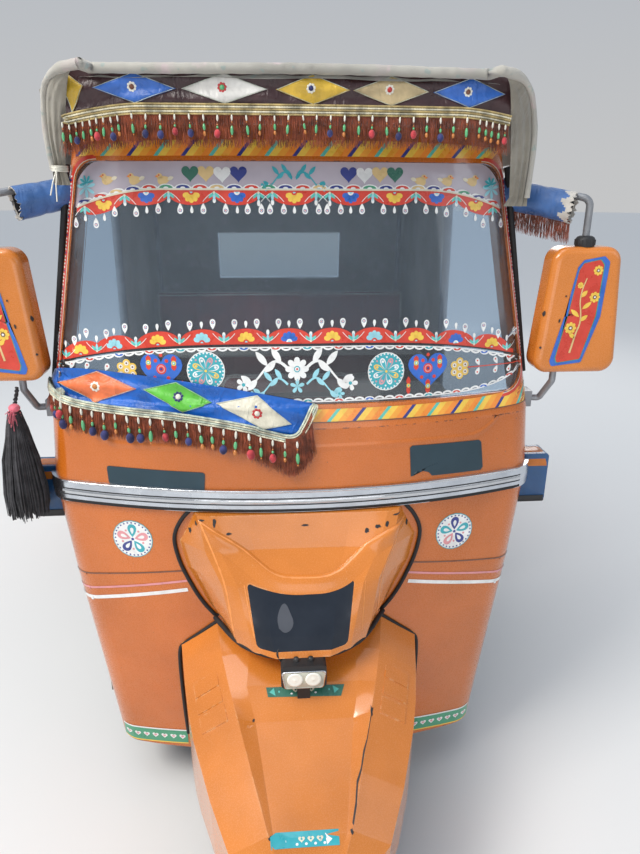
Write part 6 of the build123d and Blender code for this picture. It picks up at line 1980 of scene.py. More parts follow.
# Front edge, how far its middle bows forward, and how much narrower the front corners are
ROOF_FRONT, ROOF_BOW, ROOF_TAPER = -0.858, 0.028, 0.078
ROOF_HALF_FRONT, ROOF_HALF_REAR, ROOF_RADIUS = 0.552, 0.645, 0.110
# Lower edge of the curtains, their front edge, and how far the back leans out over their height
CURTAIN_LOW, CURTAIN_FRONT, BACK_LEAN = 0.8203, 0.430, 0.096
CURTAIN_ROWS = 64
BOW_PLACES = (-0.83, -0.300, 0.011, 0.420, 1.110)
# Half width, lower edge and upper edge
REAR_WINDOW = (0.310, 1.145, 1.375)


def roof_outline(inset, front_inset, rear):
    """The plan of the roof at one level: always the same number of points."""
    front = ROOF_FRONT + front_inset
    front_half, rear_half = ROOF_HALF_FRONT - inset, ROOF_HALF_REAR - inset
    corners = rounded([(-front_half, front), (front_half, front), (rear_half, rear), (-rear_half, rear)],
                      ROOF_RADIUS)
    arcs = [corners[k * ARC_POINTS:(k + 1) * ARC_POINTS] for k in range(4)]
    outline = []
    for (arc, after), count in zip(edges_of(arcs), (56, 90, 44, 90)):
        outline += arc + on_edge(arc[-1], after[0], steps(0.0, 1.0, count + 1)[1:-1])
    bowed = []
    for x, y in outline:
        near = max(0.0, 1.0 - max(0.0, y - front) / 0.16)
        tight = 1.0 - ROOF_TAPER * min(1.0, max(0.0, (-0.25 - y) / 0.45)) ** 1.5
        bowed.append((x * tight, y - near * ROOF_BOW * max(0.0, 1.0 - (x / front_half) ** 2)))
    return bowed


def roof_rim(x, y):
    """How low the cloth reaches at a place of the plan."""
    if y > CURTAIN_FRONT:
        return CURTAIN_LOW
    if y < -0.70 and abs(x) < 0.450:
        return 1.7745 + 0.0015 * math.sin(23.0 * x)
    share = min(1.0, max(0.0, (y + 0.80) / 0.14))
    return lerp(1.735, ROOF_SPLIT + 0.003 * math.sin(17.0 * y), share)


def curtain_share(z):
    """How far down the curtain a height is."""
    return (ROOF_SPLIT - z) / (ROOF_SPLIT - CURTAIN_LOW)


def curtain_place(x, y, z):
    """A place of the plan carried down to a height below the roof."""
    share = curtain_share(z)
    blend = min(1.0, (ROOF_SPLIT - z) / 0.15)
    local = lerp(ROOF_HALF_FRONT, ROOF_HALF_REAR, (y - ROOF_FRONT) / (ROOF_REAR - ROOF_FRONT))
    wide = (ROOF_HALF_REAR + 0.003 * share) / local
    stretch = (ROOF_REAR + BACK_LEAN * share - CURTAIN_FRONT) / (ROOF_REAR - CURTAIN_FRONT)
    rear = CURTAIN_FRONT + (y - CURTAIN_FRONT) * stretch
    return x * lerp(1.0, wide, blend), rear if y > CURTAIN_FRONT else y


def back_point(x, z, lift):
    """A point on the back curtain."""
    return Vector((x, ROOF_REAR + BACK_LEAN * curtain_share(z) + lift, z))


def smooth_levels(count):
    """The roof's levels with smooth ones between them."""
    found = []
    last = len(ROOF_LEVELS) - 1
    for place in steps(0.0, float(last), count):
        k = min(last - 1, int(place))
        t = place - k
        around = [ROOF_LEVELS[min(last, max(0, k + d))] for d in (-1, 0, 1, 2)]
        found.append([0.5 * (2 * b + (c - a) * t + (2 * a - 5 * b + 4 * c - d) * t * t
                             + (3 * b - a - 3 * c + d) * t ** 3) for a, b, c, d in zip(*around)])
    return found


class RICKSHAW_OT_hood(bpy.types.Operator):
    """Stretch the printed cloth over the bows, with its rear window, hems, seams and front flaps"""

    bl_idname = "rickshaw.hood"
    bl_label = "Hood Cloth"

    def execute(self, context):
        sag = context.scene.rickshaw_cloth.hood_sag
        base = roof_outline(*ROOF_LEVELS[0][1:])
        rims = [roof_rim(x, y) for x, y in base]

        def wrinkle(x, y, z, down):
            """How far the cloth stands out: small on the roof, in long folds lower on the curtains."""
            along = y if abs(x) > 0.56 else x
            folds = math.sin(34.0 * along + 2.2 * math.sin(9.0 * along))
            folds *= 0.4 + 0.6 * math.sin(6.0 * z + 5.0 * along)
            return 0.0012 * math.sin(55.0 * along + 20.0 * z) + 0.0055 * down * folds

        rows = []
        for depth in steps(0.0, 1.0, CURTAIN_ROWS):
            row = []
            for (x, y), rim in zip(base, rims):
                z = lerp(min(rim, ROOF_SPLIT), ROOF_SPLIT, depth)
                px, py = curtain_place(x, y, z)
                down = math.sin(math.pi * min(1.0, (ROOF_SPLIT - z) / 0.8))
                out = Vector((x, y - 0.2, 0.0)).normalized() * wrinkle(x, y, z, down)
                row.append(Vector((px, py, z)) + out)
            rows.append(row)
        for z, inset, front, rear in smooth_levels(26)[1:]:
            row = []
            for k, (x, y) in enumerate(roof_outline(inset, front, rear)):
                high = max(z, min(rims[k], ROOF_LEVELS[2][0] + 0.012)) if rims[k] > ROOF_SPLIT + 0.02 else z
                out = Vector((x, y - 0.2, 0.0)).normalized() * wrinkle(x, y, z, 0.0)
                row.append(Vector((x, y, high)) + out)
            rows.append(row)
        crown = roof_outline(*ROOF_LEVELS[-1][1:])
        for share in steps(1.0, 0.02, 30)[1:]:
            rows.append([Vector((x * share, lerp(0.02, y, share), CROWN + 0.0018 * (1 - share)))
                         for x, y in crown])
        for row in rows[CURTAIN_ROWS:]:
            for point in row:
                for first, last in zip(BOW_PLACES, BOW_PLACES[1:]):
                    if first < point.y < last:
                        share = (point.y - first) / (last - first)
                        weight = min(1.0, max(0.0, (point.z - ROOF_LEVELS[2][0]) / 0.05))
                        point.z -= weight * sag * (last - first) / 0.5 * math.sin(math.pi * share) ** 2
        sheet = Shape()
        half, low, high = REAR_WINDOW

        def cloth_here(j, i):
            """Leaves out what lies below the rim, and the window."""
            after = (i + 1) % len(base)
            rim = max(rims[i], rims[after])
            if j >= CURTAIN_ROWS:
                return "Hood Canvas" if rim <= rows[j + 1][i].z - 0.0004 else None
            middle = (rows[j][i] + rows[j + 1][after]) / 2
            in_window = middle.y > 1.15 and abs(middle.x) < half and low < middle.z < high
            return None if rim > ROOF_SPLIT - 0.01 or in_window else "Hood Canvas"

        sheet.grid(rows[:-1], cloth_here, closed=True)
        sheet.fan(sum(rows[-1], Vector()) / len(rows[-1]), rows[-2], "Hood Canvas")
        cloth_piece = sheet.piece("hood_cloth", slot="hood_cloth", replaces=["hood", "hood_curtain"])

        trim = Shape()
        ground = Skin([cloth_piece], (0, 0, -1))
        for y in BOW_PLACES[1:]:
            reach = 0.46 + 0.03 * y
            path = [ground.hit(Vector((x, y + 0.012, 2.2)), 0.0008) for x in steps(-reach, reach, 90)]
            trim.tube(path, 0.0022, "Hood Piping", sides=5, caps=False)
        edge = [Vector((*(curtain_place(x, y, rim) if rim < ROOF_SPLIT else (x, y)), rim))
                for (x, y), rim in zip(base, rims)]
        for side in (-1, 1):
            run = [p for p in edge if side * p.x > 0.40 and -0.66 < p.y < CURTAIN_FRONT - 0.01]
            trim.tube(sorted(run, key=lambda p: p.y), 0.0055, "Hood Piping")
        satin_face = Skin([bpy.data.objects["upper_satin"]])
        ridges = {}
        for side, wide, foot in ((-1, 0.0, (0.495, -0.792, 1.612)), (1, 0.014, (0.514, -0.784, 1.560))):
            corner = [(0.395, -0.898, 1.7905), (0.440, -0.884, 1.7845), (0.474, -0.850, 1.766),
                      (0.490 + wide * 0.5, -0.816, 1.736), (0.499 + wide, -0.800, 1.680), foot]
            ridges[side] = [Vector((side * x, y, z)) for x, y, z in smooth_line(corner, 3)]
        middle_run = [Vector((x, satin_face.at(x, 1.776).y - 0.0085,
                              1.7905 + 0.0012 * math.sin(9.0 * x + 1.0)))
                      for x in steps(-0.385, 0.385, 120)]
        roll = ridges[-1][::-1] + middle_run + ridges[1]
        radii = [0.0098 * (1.0 if abs(p.x) < 0.43 else max(0.62, 1.0 - 0.9 * (abs(p.x) - 0.43) / 0.07))
                 * (1.0 + 0.06 * math.sin(k * 0.9) * math.sin(k * 0.37)) for k, p in enumerate(roll)]
        trim.tube(roll, radii, "Hood Canvas", sides=14)
        for side in (-1, 1):
            edge = [Vector((*curtain_place(side * 0.618, CURTAIN_FRONT + 0.006, z), z))
                    for z in steps(CURTAIN_LOW, ROOF_SPLIT, 50)]
            trim.tube(edge, 0.0055, "Hood Piping")
        outline = divided(rounded([(-half, low), (half, low), (half, high), (-half, high)], 0.03, 8), 0.02)
        centre = (low + high) / 2
        border = []
        for grow, lift in ((-0.022, 0.0055), (-0.018, 0.0085), (0.020, 0.0085), (0.024, 0.0055)):
            border.append([back_point(x + math.copysign(grow, x) * min(1.0, abs(x) / 0.2),
                                      z + math.copysign(grow, z - centre) * min(1.0, abs(z - centre) / 0.08),
                                      lift)
                           for x, z in outline])
        trim.grid(border[::-1], "Hood Piping", closed=True)
        trim_piece = trim.piece("hood_trim", slot="hood_cloth")
        pane = Shape()
        pane.grid([[back_point(x, z, 0.0025 + 0.0015 * math.sin(21 * x + 11 * z))
                    for x in steps(-half, half, 49)]
                   for z in steps(low, high, 21)], "Window Vinyl")
        pane_piece = pane.piece("rear_window", slot="glass")

        flaps, ties = Shape(), Shape()
        for side, half, gathering in ((-1, 0.011, 1.0), (1, 0.018, 0.35)):
            ridge = ridges[side]
            foot = ridge[-1]
            flap_rows = []
            for depth in steps(0.0, 1.0, 40):
                place = depth * (len(ridge) - 1)
                k = min(len(ridge) - 2, int(place))
                edge = ridge[k].lerp(ridge[k + 1], place - k)
                inner = Vector((side * lerp(0.415, abs(foot.x) - 2.0 * half, depth ** 0.8),
                                lerp(-0.880, foot.y + 0.012, depth), lerp(1.789, foot.z, depth)))
                back = Vector((side * lerp(0.508, abs(foot.x) + 0.004, depth ** (1.2 - 0.4 * gathering)),
                               lerp(-0.775, foot.y + 0.035, depth), lerp(1.762, foot.z, depth)))
                row = []
                for share in steps(0.0, 1.0, 46):
                    if share < 0.62:
                        point = inner.lerp(edge, share / 0.62)
                    else:
                        point = edge.lerp(back, (share - 0.62) / 0.38)
                    swell = 0.010 * math.sin(math.pi * min(1.0, share / 0.62)) * math.sin(math.pi * depth)
                    fold = 0.0030 * math.sin(share * 34.0 + 2.0 * depth) * (0.15 + depth)
                    fold *= math.sin(math.pi * share)
                    row.append(point + Vector((0.0, fold - swell * gathering, 0.0)))
                flap_rows.append(row)
            skirt = 0.030 if side < 0 else 0.018
            flap_rows += [[point + Vector(((point.x - foot.x) * 0.35 * depth, -0.002 * depth, -skirt * depth))
                           for point in flap_rows[-1]] for depth in steps(0.0, 1.0, 6)[1:]]
            # The flaps are a darker cloth than the hood: painted shade.
            flaps.grid(flap_rows, "Flap Cloth")
            if side < 0:
                tie = Vector((foot.x + half, foot.y + 0.010, foot.z))
                for turn in range(4):
                    ring = [tie + Vector(((half + 0.004) * math.cos(a), 0.024 * math.sin(a),
                                          0.006 - 0.003 * turn))
                            for a in turns(20)]
                    ties.hoop(ring, 0.0016, "Bead White", 5)
                start = tie + Vector((0.0, -0.022, 0.0))
                for end in (Vector((-0.014, -0.016, -0.050)), Vector((-0.002, -0.018, -0.062))):
                    ties.tube([start, start + end * 0.5 + Vector((0, -0.006, 0)), start + end], 0.0014,
                              "Bead White",
                              sides=5)
        flap_piece = flaps.piece("corner_flaps", slot="hood_cloth")
        tie_piece = ties.piece("flap_ties", slot="hood_cloth")
        return {"FINISHED"}


# Wheels

WHEELS = [("front", Vector((0.0, -1.065, 0.207)), "front_roller", -1),
          ("rear_left", Vector((0.570, 0.925, 0.207)), "rear_left_roller", 1),
          ("rear_right", Vector((-0.570, 0.925, 0.207)), "rear_right_roller", -1)]
# Half a tyre's section from the rim to beside its middle: distance from the middle and radius, in millimetres
TYRE_PROFILE = [(36, 102.3), (36, 108), (38.5, 117), (43.5, 125), (47, 132), (50, 144), (52, 158), (51, 171),
                (50.4, 174), (50, 177), (49, 182), (46.5, 190), (42, 198), (38, 200.5), (34, 202.4),
                (30, 204),
                (26, 205), (22, 205.6), (19, 206), (16.6, 206.3), (15.8, 206.4), (12.8, 206.6), (12.0, 206.7),
                (9, 206.8), (6, 207), (3, 207)]
TYRE_RADIUS, TREAD_STEPS = 207.0, 216
# Radius where the tread begins, and a fine ring on the side wall
TREAD_EDGE, WALL_RING = 185, (172, 176)


def groove(across, radius, index):
    """How deep the tyre is cut at a place, in millimetres: two rings, shoulder lugs and fine slits."""
    reach = abs(across)
    if radius <= TREAD_EDGE:
        return 0.5 if WALL_RING[0] < radius < WALL_RING[1] else 0.0
    if 12.5 < reach < 16.0:
        return 4.0
    if 21.0 < reach < 47.0 and (index + (3 if across > 0 else 0)) % 6 < 2:
        return 3.4
    if reach < 10.0 and (index + int(across / 3.1)) % 9 == 0:
        return 2.2
    return 0.0


def on_wheel(centre, across, radius, angle):
    """A point of a wheel, by its distance from the wheel's middle plane, its radius and its angle."""
    return centre + Vector((across, radius * math.cos(angle), radius * math.sin(angle)))


class RICKSHAW_OT_wheels(bpy.types.Operator):
    """Cut the tread of the tyres and fit nuts, hub caps and valves"""

    bl_idname = "rickshaw.wheels"
    bl_label = "Wheels"

    def execute(self, context):
        profile = [(-across, radius)
                   for across, radius in TYRE_PROFILE] + [(0.0, TYRE_RADIUS)] + TYRE_PROFILE[::-1]
        bore = [(0.0115, 0.0), (0.0115, 0.0022), (0.0088, 0.0024)]
        nut = [(0.0088, 0.002), (0.0088, 0.008), (0.0068, 0.0098), (0.0042, 0.0098), (0.0042, 0.0125),
               (0.0, 0.0130)]
        cap = [(0.0315, 0.022), (0.0315, 0.0285), (0.0300, 0.0300), (0.0260, 0.0305), (0.0235, 0.0345),
               (0.0150, 0.0395), (0.0060, 0.0410), (0.0, 0.0412)]
        for label, centre, body, outward in WHEELS:
            tyre = Shape()
            tyre.grid([[on_wheel(centre, across / 1000.0, (radius - groove(across, radius, k)) / 1000.0,
                                 angle)
                        for k, angle in enumerate(turns(TREAD_STEPS))] for across, radius in profile],
                      "Tyre Rubber", closed=True)
            tyre.piece(label + "_tread", body=body, slot="tyre_rubber", replaces=[label + "_tyre"])
            fittings = Shape()
            for side in (-1, 1):
                ring = [on_wheel(centre, side * 0.0412, 0.1012, angle) for angle in turns(64)]
                fittings.hoop(ring, 0.0020, "Silver Paint", 6)
            for angle in turns(4, math.radians(45)):
                spot = on_wheel(centre, outward * 0.0025, 0.048, angle)
                fittings.lathe(spot, (outward, 0, 0), bore, "Cast Metal", sides=16)
                fittings.lathe(spot, (outward, 0, 0), nut, "Cast Metal", sides=6)
            if label != "front":
                fittings.lathe(centre, (outward, 0, 0), cap, "Chrome", sides=32)
            stem = [centre + Vector((outward * out, 0.0, high))
                    for out, high in ((0.006, 0.0880), (0.018, 0.0865), (0.034, 0.0830))]
            fittings.tube(stem, [0.0042, 0.0036, 0.0030], "Black Beading")
            fittings.tube([stem[-1], stem[-1] + Vector((outward * 0.007, 0.0, -0.0010))], 0.0036,
                          "Grip Rubber")
            fittings.piece(label + "_fittings", body=body, slot="wheel_paint")
        return {"FINISHED"}


# Cabin

class RICKSHAW_OT_cabin(bpy.types.Operator):
    """Fit the dials, knobs, levers and floor mat of the driver's place"""

    bl_idname = "rickshaw.cabin"
    bl_label = "Driver's Place"

    def execute(self, context):
        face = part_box("dashboard")[1][1] - 0.0005
        dials = Shape()
        # x, radius and where the needle points
        for x, radius, sweep in ((0.0, 0.0255, 0.35), (-0.072, 0.0165, -0.5), (0.072, 0.0165, 0.8)):
            centre = Vector((x, face, 1.088))
            rim = [(radius + 0.0040, 0.0), (radius + 0.0040, 0.0045), (radius + 0.0015, 0.0062),
                   (radius, 0.0050),
                   (radius, 0.0020)]
            dials.lathe(centre, (0, 1, 0), rim, "Chrome", sides=40)
            dials.lathe(centre, (0, 1, 0), [(radius, 0.0024), (0.0, 0.0024)], "Dial Face", sides=40)
            for angle in steps(math.radians(-40), math.radians(220), 11):
                ray = Vector((math.cos(angle), 0.0, math.sin(angle)))
                start = centre + Vector((0.0, 0.0028, 0.0))
                dials.tube([start + ray * radius * 0.76, start + ray * radius * 0.93], 0.0005, "Bead White",
                           sides=4)
            ray = Vector((math.sin(sweep), 0.0, math.cos(sweep)))
            needle = centre + Vector((0.0, 0.0036, 0.0))
            dials.tube([needle - ray * radius * 0.15, needle + ray * radius * 0.72], [0.0009, 0.0004],
                       "Bead Red",
                       sides=4)
            hub = [(0.0028, 0.0024), (0.0028, 0.0046), (0.0, 0.0050)]
            dials.lathe(centre, (0, 1, 0), hub, "Black Plastic", sides=12)
        knob = [(0.0085, 0.0), (0.0085, 0.003), (0.0045, 0.004), (0.0045, 0.010), (0.0070, 0.011),
                (0.0070, 0.018),
                (0.0, 0.020)]
        for x in (-0.22, -0.18, 0.18, 0.22):
            dials.lathe((x, face, 1.046), (0, 1, 0), knob, "Black Beading", sides=16)
        lock = [(0.010, 0.0), (0.010, 0.005), (0.004, 0.006), (0.0, 0.006)]
        dials.lathe((0.29, face, 1.046), (0, 1, 0), lock, "Chrome", sides=20)
        dials.piece("dials", slot="black_plastic")

        levers = Shape()
        lever = [(0.158, -0.668, 0.940), (0.172, -0.690, 0.942), (0.205, -0.704, 0.940),
                 (0.262, -0.690, 0.934),
                 (0.292, -0.672, 0.930)]
        tip = [(0.0, -0.006), (0.0050, -0.004), (0.0062, 0.0), (0.0050, 0.004), (0.0, 0.006)]
        clamp = [(0.0, -0.008), (0.010, -0.008), (0.010, 0.022), (0.0, 0.022)]
        for side in (-1, 1):
            path = smooth_line([(side * x, y, z) for x, y, z in lever])
            levers.tube(path, [0.0055 - 0.002 * k / len(path) for k in range(len(path))], "Silver Paint")
            levers.lathe(path[-1], (side, 0.4, -0.1), tip, "Silver Paint", sides=10)
            levers.lathe((side * 0.156, -0.6655, 0.930), (0, 0, 1), clamp, "Black Plastic", sides=14)
        levers.piece("hand_levers", body=STEERING, slot="black_steel")

        # a ribbed mat whose edges come down to the floor
        mat = Shape()
        half, front, back, floor, border = 0.240, -0.735, -0.520, 0.2826, 0.002
        rows = []
        for y in steps(front, back, 87):
            ridge = 0.0030 if int((y + 1.0) / 0.0025) % 4 < 2 else 0.0012
            inside = front + border <= y <= back - border
            rows.append([Vector((x, y, floor + (ridge if inside and abs(x) < half else 0.0)))
                         for x in (half, half - border, 0.08, -0.08, border - half, -half)])
        mat.grid(rows, "Black Beading")
        mat.piece("floor_mat", slot="floor_paint", smooth=False)
        return {"FINISHED"}


# Back and sides

# A tail lamp's lens: share of its outline, and how far it stands out there
LENS_RINGS = ((1.0, -0.002), (1.0, 0.0016), (0.97, 0.0030), (0.80, 0.0042), (0.4, 0.0050))


class RICKSHAW_OT_tail(bpy.types.Operator):
    """Dress the back and the sides: lamp lenses and rims, reflectors, lid handle, bumper ends and stripes"""

    bl_idname = "rickshaw.tail"
    bl_label = "Back and Sides"

    def execute(self, context):
        low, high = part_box("tail_lamps")
        face, inner, outer = high[1], 0.427, high[0] - 0.002
        back = Skin(["rear_panel", "body_sides"], (0, -1, 0))
        lenses, rims = Shape(), Shape()
        for side in (-1, 1):
            for bottom, top, name in ((low[2] + 0.002, low[2] + 0.036, "Clear Lens"),
                                      (low[2] + 0.040, high[2] - 0.044, "Red Lens"),
                                      (high[2] - 0.040, high[2] - 0.002, "Amber Lens")):
                middle = Vector((side * (inner + outer) / 2, face, (bottom + top) / 2))
                outline = rounded([(inner, bottom), (outer, bottom), (outer, top), (inner, top)], 0.006, 5)
                outline = [(side * x, z) for x, z in outline[::side]]
                rows = [[Vector((lerp(middle.x, x, share), face + out, lerp(middle.z, z, share)))
                         for x, z in outline]
                        for share, out in LENS_RINGS]
                lenses.grid(rows[::-1], name, closed=True)
                lenses.fan(middle + Vector((0, 0.0052, 0)), rows[-1][::-1], name)
            rim = rounded([(inner - 0.004, low[2] - 0.002), (outer + 0.004, low[2] - 0.002),
                           (outer + 0.004, high[2] + 0.002), (inner - 0.004, high[2] + 0.002)], 0.010, 6)
            path = [Vector((side * x, back.at(side * x, z).y + 0.0035, z)) for x, z in rim]
            rims.hoop(path, 0.0048, "Chrome", 8)
            spot = back.at(side * 0.470, 0.535, -0.0005)
            ring = [(0.0270, 0.0), (0.0270, 0.0060), (0.0250, 0.0080), (0.0225, 0.0070)]
            rims.lathe(spot, (0, 1, 0), ring, "Chrome", sides=32)
            disc = [(0.0228, 0.0060), (0.0200, 0.0090), (0.0110, 0.0105), (0.0, 0.0108)]
            lenses.lathe(spot, (0, 1, 0), disc, "Red Lens", sides=32)
        lenses.piece("tail_lenses", slot="tail_red")
        rims.piece("lamp_rims", slot="trim_metal")

        handle = Shape()
        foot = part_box("engine_lid")[1][1] - 0.004
        bar = [(-0.058, 0.0, 0.398), (-0.055, 0.014, 0.396), (-0.046, 0.019, 0.394), (0.046, 0.019, 0.394),
               (0.055, 0.014, 0.396), (0.058, 0.0, 0.398)]
        handle.tube(smooth_line([(x, foot + out, z) for x, out, z in bar]), 0.0048, "Chrome", sides=10)
        flange = [(0.0105, 0.0), (0.0105, 0.006), (0.0080, 0.0075), (0.0, 0.0075)]
        for x in (-0.058, 0.058):
            handle.lathe((x, foot, 0.398), (0, 1, 0), flange, "Chrome", sides=20)
        lock = [(0.0120, 0.0), (0.0120, 0.007), (0.0100, 0.0085), (0.0040, 0.0085), (0.0035, 0.0070),
                (0.0, 0.0070)]
        handle.lathe((0.0, foot, 0.425), (0, 1, 0), lock, "Chrome", sides=24)
        handle.piece("lid_handle", body="lid", slot="trim_metal")

        low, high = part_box("rear_bumper")
        ends = Shape()
        cap = [(0.0165, -0.040), (0.0172, -0.038), (0.0172, -0.004), (0.0150, 0.002), (0.0090, 0.0055),
               (0.0, 0.0060)]
        for side in (-1, 1):
            tip = (side * high[0], high[1] - 0.0165, (low[2] + high[2]) / 2)
            ends.lathe(tip, (side, 0, 0), cap, "Black Beading", sides=20)
        ends.piece("bumper_ends", slot="grip_rubber")

        stripes = Shape()
        for side in (-1, 1):
            flank = Skin(["body_sides", "rear_panel"], (-side, 0, 0))
            nose = Skin(["front_panel"], (-side, 0, 0))
            for z, width, name in ((0.680, 0.0035, "Enamel Brown"), (0.636, 0.0055, "Enamel Pink"),
                                   (0.606, 0.0100, "Enamel White")):
                for skin, first, last in ((flank, 0.404, 1.318), (nose, -0.800, -0.694)):
                    places = steps(first, last, max(8, int((last - first) / 0.010)))
                    rows = [[skin.hit(Vector((side * CAST_FROM, y, z + dz)), rise) for y in places]
                            for dz, rise in ((-width / 2, 0.0006), (-width / 4, 0.0009), (width / 4, 0.0009),
                                             (width / 2, 0.0006))]
                    stripes.grid(rows if side > 0 else [row[::-1] for row in rows], name)
            edge = [flank.hit(Vector((side * CAST_FROM, y, 0.7975)), 0.0020) for y in steps(0.410, 1.300, 60)]
            stripes.tube(edge, 0.0042, "Chrome")
        stripes.piece("side_stripes", slot="body_paint")
        return {"FINISHED"}


# Seats

def remeshed(name, node_name, shrink, voxel):
    """A copy of a solid as an even mesh, drawn in a little."""
    source = NODES[node_name].data.copy()
    source.materials.clear()
    piece = bpy.data.objects.new(name, source)
    bpy.context.scene.collection.objects.link(piece)
    low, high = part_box(node_name)
    centre, size = (low + high) / 2, high - low
    for vertex in source.vertices:
        for k in range(3):
            vertex.co[k] = centre[k] + (vertex.co[k] - centre[k]) * (1.0 - 2 * shrink / size[k])
    modifier(piece, "REMESH", mode="VOXEL", voxel_size=voxel, use_smooth_shade=True)
    apply_modifiers(piece)
    return piece


def inflate(piece, pressure, cap):
    """Cloth under pressure for a few frames, with each point's way limited."""
    before = [vertex.co.copy() for vertex in piece.data.vertices]
    made = piece.modifiers.new("Padding", "CLOTH")
    settings = made.settings
    settings.use_pressure, settings.uniform_pressure_force = True, pressure
    settings.effector_weights.gravity = 0.0
    settings.quality = 4
    made.collision_settings.use_collision = False
    for number in range(1, 21):
        bpy.context.scene.frame_set(number)
    apply_modifiers(piece)
    bpy.context.scene.frame_set(1)
    for vertex, place in zip(piece.data.vertices, before):
        way = vertex.co - place
        if way.length > cap:
            vertex.co = place + way.normalized() * cap


# Cushions: node, the axis its thickness runs along, where its channels lie across x, and its fill
CUSHIONS = [
    ("driver_cushion", 2, (-0.10, 0.0, 0.10), 0.6), ("driver_back", 1, (-0.10, 0.0, 0.10), 0.6),
    ("bench_cushion", 2, (-0.40, -0.24, -0.08, 0.08, 0.24, 0.40), 0.7),
    ("bench_back", 1, (-0.40, -0.24, -0.08, 0.08, 0.24, 0.40), 0.6),
]


class RICKSHAW_OT_seats(bpy.types.Operator):
    """Pad the driver's seat and the bench, sew their channels and lay their piping"""

    bl_idname = "rickshaw.seats"
    bl_label = "Seats"

    def execute(self, context):
        for node_name, axis, channels, fill in CUSHIONS:
            across = 3 - axis
            low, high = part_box(node_name)
            centre, size = (low + high) / 2, high - low
            voxel = 0.007 if size.x < 0.7 else 0.010
            pad = remeshed(node_name + "_pad", node_name, 0.006, voxel)
            inflate(pad, 4.0, 0.011)
            for vertex in pad.data.vertices:
                face = abs(vertex.co[axis] - centre[axis]) / (size[axis] / 2)
                if face < 0.5:
                    continue
                deep = max(math.exp(-((vertex.co.x - x) / 0.010) ** 2) for x in channels)
                reach = 1.0 - max(0.0,
                                  abs(vertex.co[across] - centre[across]) / (size[across] / 2) - 0.86) / 0.14
                vertex.co[axis] -= math.copysign(0.009 * deep * max(0.0, min(1.0, reach)),
                                                 vertex.co[axis] - centre[axis])
            pad.data.materials.append(finish("Cushion Vinyl"))
            modifier(pad, "SUBSURF", levels=1, render_levels=1)
            apply_modifiers(pad)
            for polygon in pad.data.polygons:
                polygon.use_smooth = True
            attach(pad, BODY)
            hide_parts(node_name)
            surface = Skin([pad])
            piping = Shape()
            wide, long = size.x / 2 - 0.001, size[across] / 2 - 0.001
            loop = divided(rounded([(-wide, -long), (wide, -long), (wide, long), (-wide, long)], 0.030, 6),
                           0.02)
            for level in (-1, 1):
                place = centre[axis] + level * (size[axis] / 2 - 0.017)
                path = []
                for x, y in loop:
                    point = Vector((centre.x + x, 0.0, 0.0))
                    point[axis], point[across] = place, centre[across] + y
                    near, normal, _, _ = surface.tree.find_nearest(point)
                    path.append(near + normal * 0.0012)
                piping.hoop(path, 0.0036, "Cushion Piping", 7)
            piping.piece(node_name + "_piping", slot="seat_vinyl")
        return {"FINISHED"}


# Floor, light and camera

FLOOR_REACH, FLOOR_SIDES = 60.0, 96

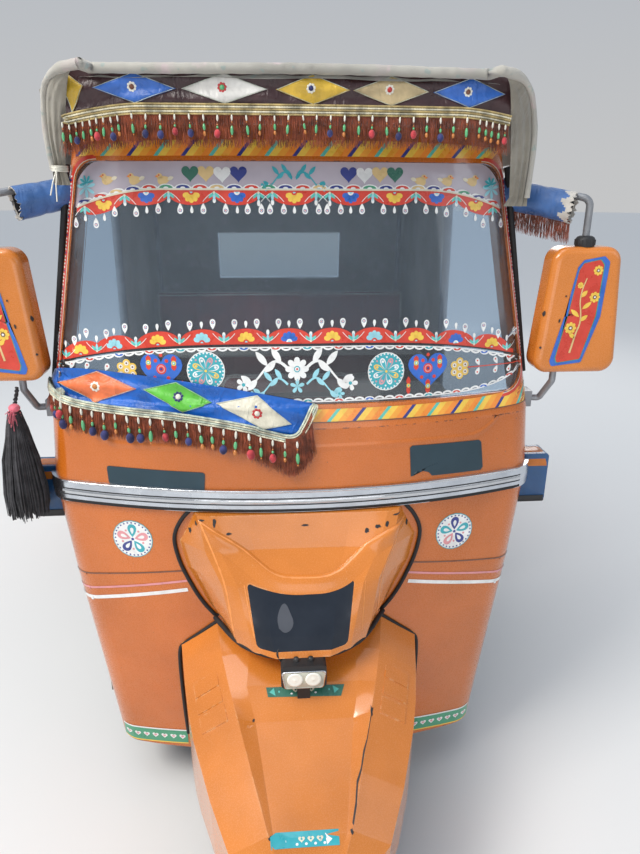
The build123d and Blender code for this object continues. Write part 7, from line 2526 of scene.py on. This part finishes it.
class RICKSHAW_OT_stage(bpy.types.Operator):
    """Lay the floor and place the lights and the camera"""

    bl_idname = "rickshaw.stage"
    bl_label = "Floor, Light and Camera"

    def execute(self, context):
        scene = context.scene
        view = scene.rickshaw_view
        mesh = bpy.data.meshes.new("floor")
        mesh.from_pydata([(x, y, 0.0) for x, y in circle(FLOOR_SIDES, FLOOR_REACH)], [],
                         [tuple(range(FLOOR_SIDES))])
        mesh.materials.append(finish("Floor Pale"))
        floor = bpy.data.objects.new("floor", mesh)
        scene.collection.objects.link(floor)

        world = bpy.data.worlds.new("studio")
        scene.world = world
        world.use_nodes = True
        tree = world.node_tree
        height = parts_of(tree, node(tree, "ShaderNodeTexCoord").outputs["Generated"])[2]
        share = step(tree, height, -0.1, 0.85)
        sky = blend_colour(tree, share, (0.93, 0.935, 0.94), (0.50, 0.62, 0.80))
        background = tree.nodes["Background"]
        tree.links.new(sky, background.inputs["Color"])
        background.inputs["Strength"].default_value = 0.60
        scene.view_settings.view_transform = "Standard"

        # name, place, aim, width, height, power, colour
        lamps = [
            ("key", (-3.0, -2.6, 4.4), (0, -0.6, 0.8), 2.2, 1.8, 185.0, (1.0, 0.97, 0.92)),
            ("fill", (3.6, -3.0, 3.0), (0, -0.4, 0.9), 2.6, 2.6, 22.0, (0.93, 0.96, 1.0)),
            ("top", (0.0, 0.6, 4.6), (0, 0.2, 0.0), 4.0, 4.0, 30.0, (1.0, 1.0, 1.0)),
            ("back", (1.8, 4.6, 3.2), (0, 0.8, 0.8), 2.4, 1.8, 50.0, (1.0, 0.98, 0.95)),
            ("low front", (0.0, -4.6, 1.0), (0, -0.9, 0.7), 3.4, 1.2, 18.0, (1.0, 1.0, 1.0)),
        ]
        for name, place, aim, width, tall, power, tone in lamps:
            data = bpy.data.lights.new(name, "AREA")
            data.shape = "RECTANGLE"
            data.size, data.size_y, data.energy, data.color = width, tall, power, tone
            lamp = bpy.data.objects.new(name, data)
            lamp.location = place
            lamp.rotation_euler = (Vector(aim) - Vector(place)).to_track_quat("-Z", "Y").to_euler()
            scene.collection.objects.link(lamp)

        data = bpy.data.lights.new("sun", "SUN")
        data.energy, data.angle, data.color = 0.9, math.radians(40.0), (1.0, 0.98, 0.95)
        sun = bpy.data.objects.new("sun", data)
        sun.rotation_euler = Vector((0.35, 0.25, -1.0)).to_track_quat("-Z", "Y").to_euler()
        scene.collection.objects.link(sun)

        data = bpy.data.cameras.new("camera")
        data.sensor_width = SENSOR
        data.lens = view.lens
        camera = bpy.data.objects.new("camera", data)
        forward = Vector((math.sin(view.yaw) * math.cos(view.pitch),
                          math.cos(view.yaw) * math.cos(view.pitch),
                          -math.sin(view.pitch)))
        right = forward.cross(Vector((0, 0, 1))).normalized()
        up = right.cross(forward)
        turned = right * math.cos(view.roll) - up * math.sin(view.roll)
        upright = turned.cross(forward)
        basis = Matrix((turned, upright, -forward)).transposed()
        camera.matrix_world = Matrix.Translation(view.place) @ basis.to_4x4()
        scene.collection.objects.link(camera)
        scene.camera = camera
        return {"FINISHED"}


SETTINGS = {
    "rickshaw_paint": RickshawPaint, "rickshaw_cloth": RickshawCloth,
    "rickshaw_ornament": RickshawOrnament, "rickshaw_view": RickshawView,
}
# In the order in which they run: the hood needs the upper valance
OPERATORS = [
    RICKSHAW_OT_paint, RICKSHAW_OT_glass_ornament, RICKSHAW_OT_frame_ornament, RICKSHAW_OT_panel_ornament,
    RICKSHAW_OT_nose_trim, RICKSHAW_OT_fog_lens, RICKSHAW_OT_waist, RICKSHAW_OT_upper_valance,
    RICKSHAW_OT_lower_valance, RICKSHAW_OT_sleeves, RICKSHAW_OT_tassel, RICKSHAW_OT_mirror_details,
    RICKSHAW_OT_wheels, RICKSHAW_OT_cabin, RICKSHAW_OT_tail, RICKSHAW_OT_hood, RICKSHAW_OT_seats,
    RICKSHAW_OT_stage,
]


class RICKSHAW_PT_sidebar(bpy.types.Panel):
    """The steps of the dressing, in their order"""

    bl_idname = "RICKSHAW_PT_sidebar"
    bl_label = "Auto Rickshaw"
    bl_space_type = "VIEW_3D"
    bl_region_type = "UI"
    bl_category = "Rickshaw"

    def draw(self, context):
        for operator in OPERATORS:
            self.layout.operator(operator.bl_idname)
        for key, settings in SETTINGS.items():
            box = self.layout.box()
            for prop in settings.__annotations__:
                box.prop(getattr(context.scene, key), prop)


def register():
    for settings in SETTINGS.values():
        bpy.utils.register_class(settings)
    for operator in OPERATORS:
        bpy.utils.register_class(operator)
    bpy.utils.register_class(RICKSHAW_PT_sidebar)
    for key, settings in SETTINGS.items():
        setattr(bpy.types.Scene, key, PointerProperty(type=settings))


def unregister():
    for key in SETTINGS:
        delattr(bpy.types.Scene, key)
    bpy.utils.unregister_class(RICKSHAW_PT_sidebar)
    for operator in reversed(OPERATORS):
        bpy.utils.unregister_class(operator)
    for settings in SETTINGS.values():
        bpy.utils.unregister_class(settings)


def main():
    register()
    for operator in OPERATORS:
        family, call = operator.bl_idname.split(".")
        getattr(getattr(bpy.ops, family), call)()


if __name__ == "__main__":
    main()
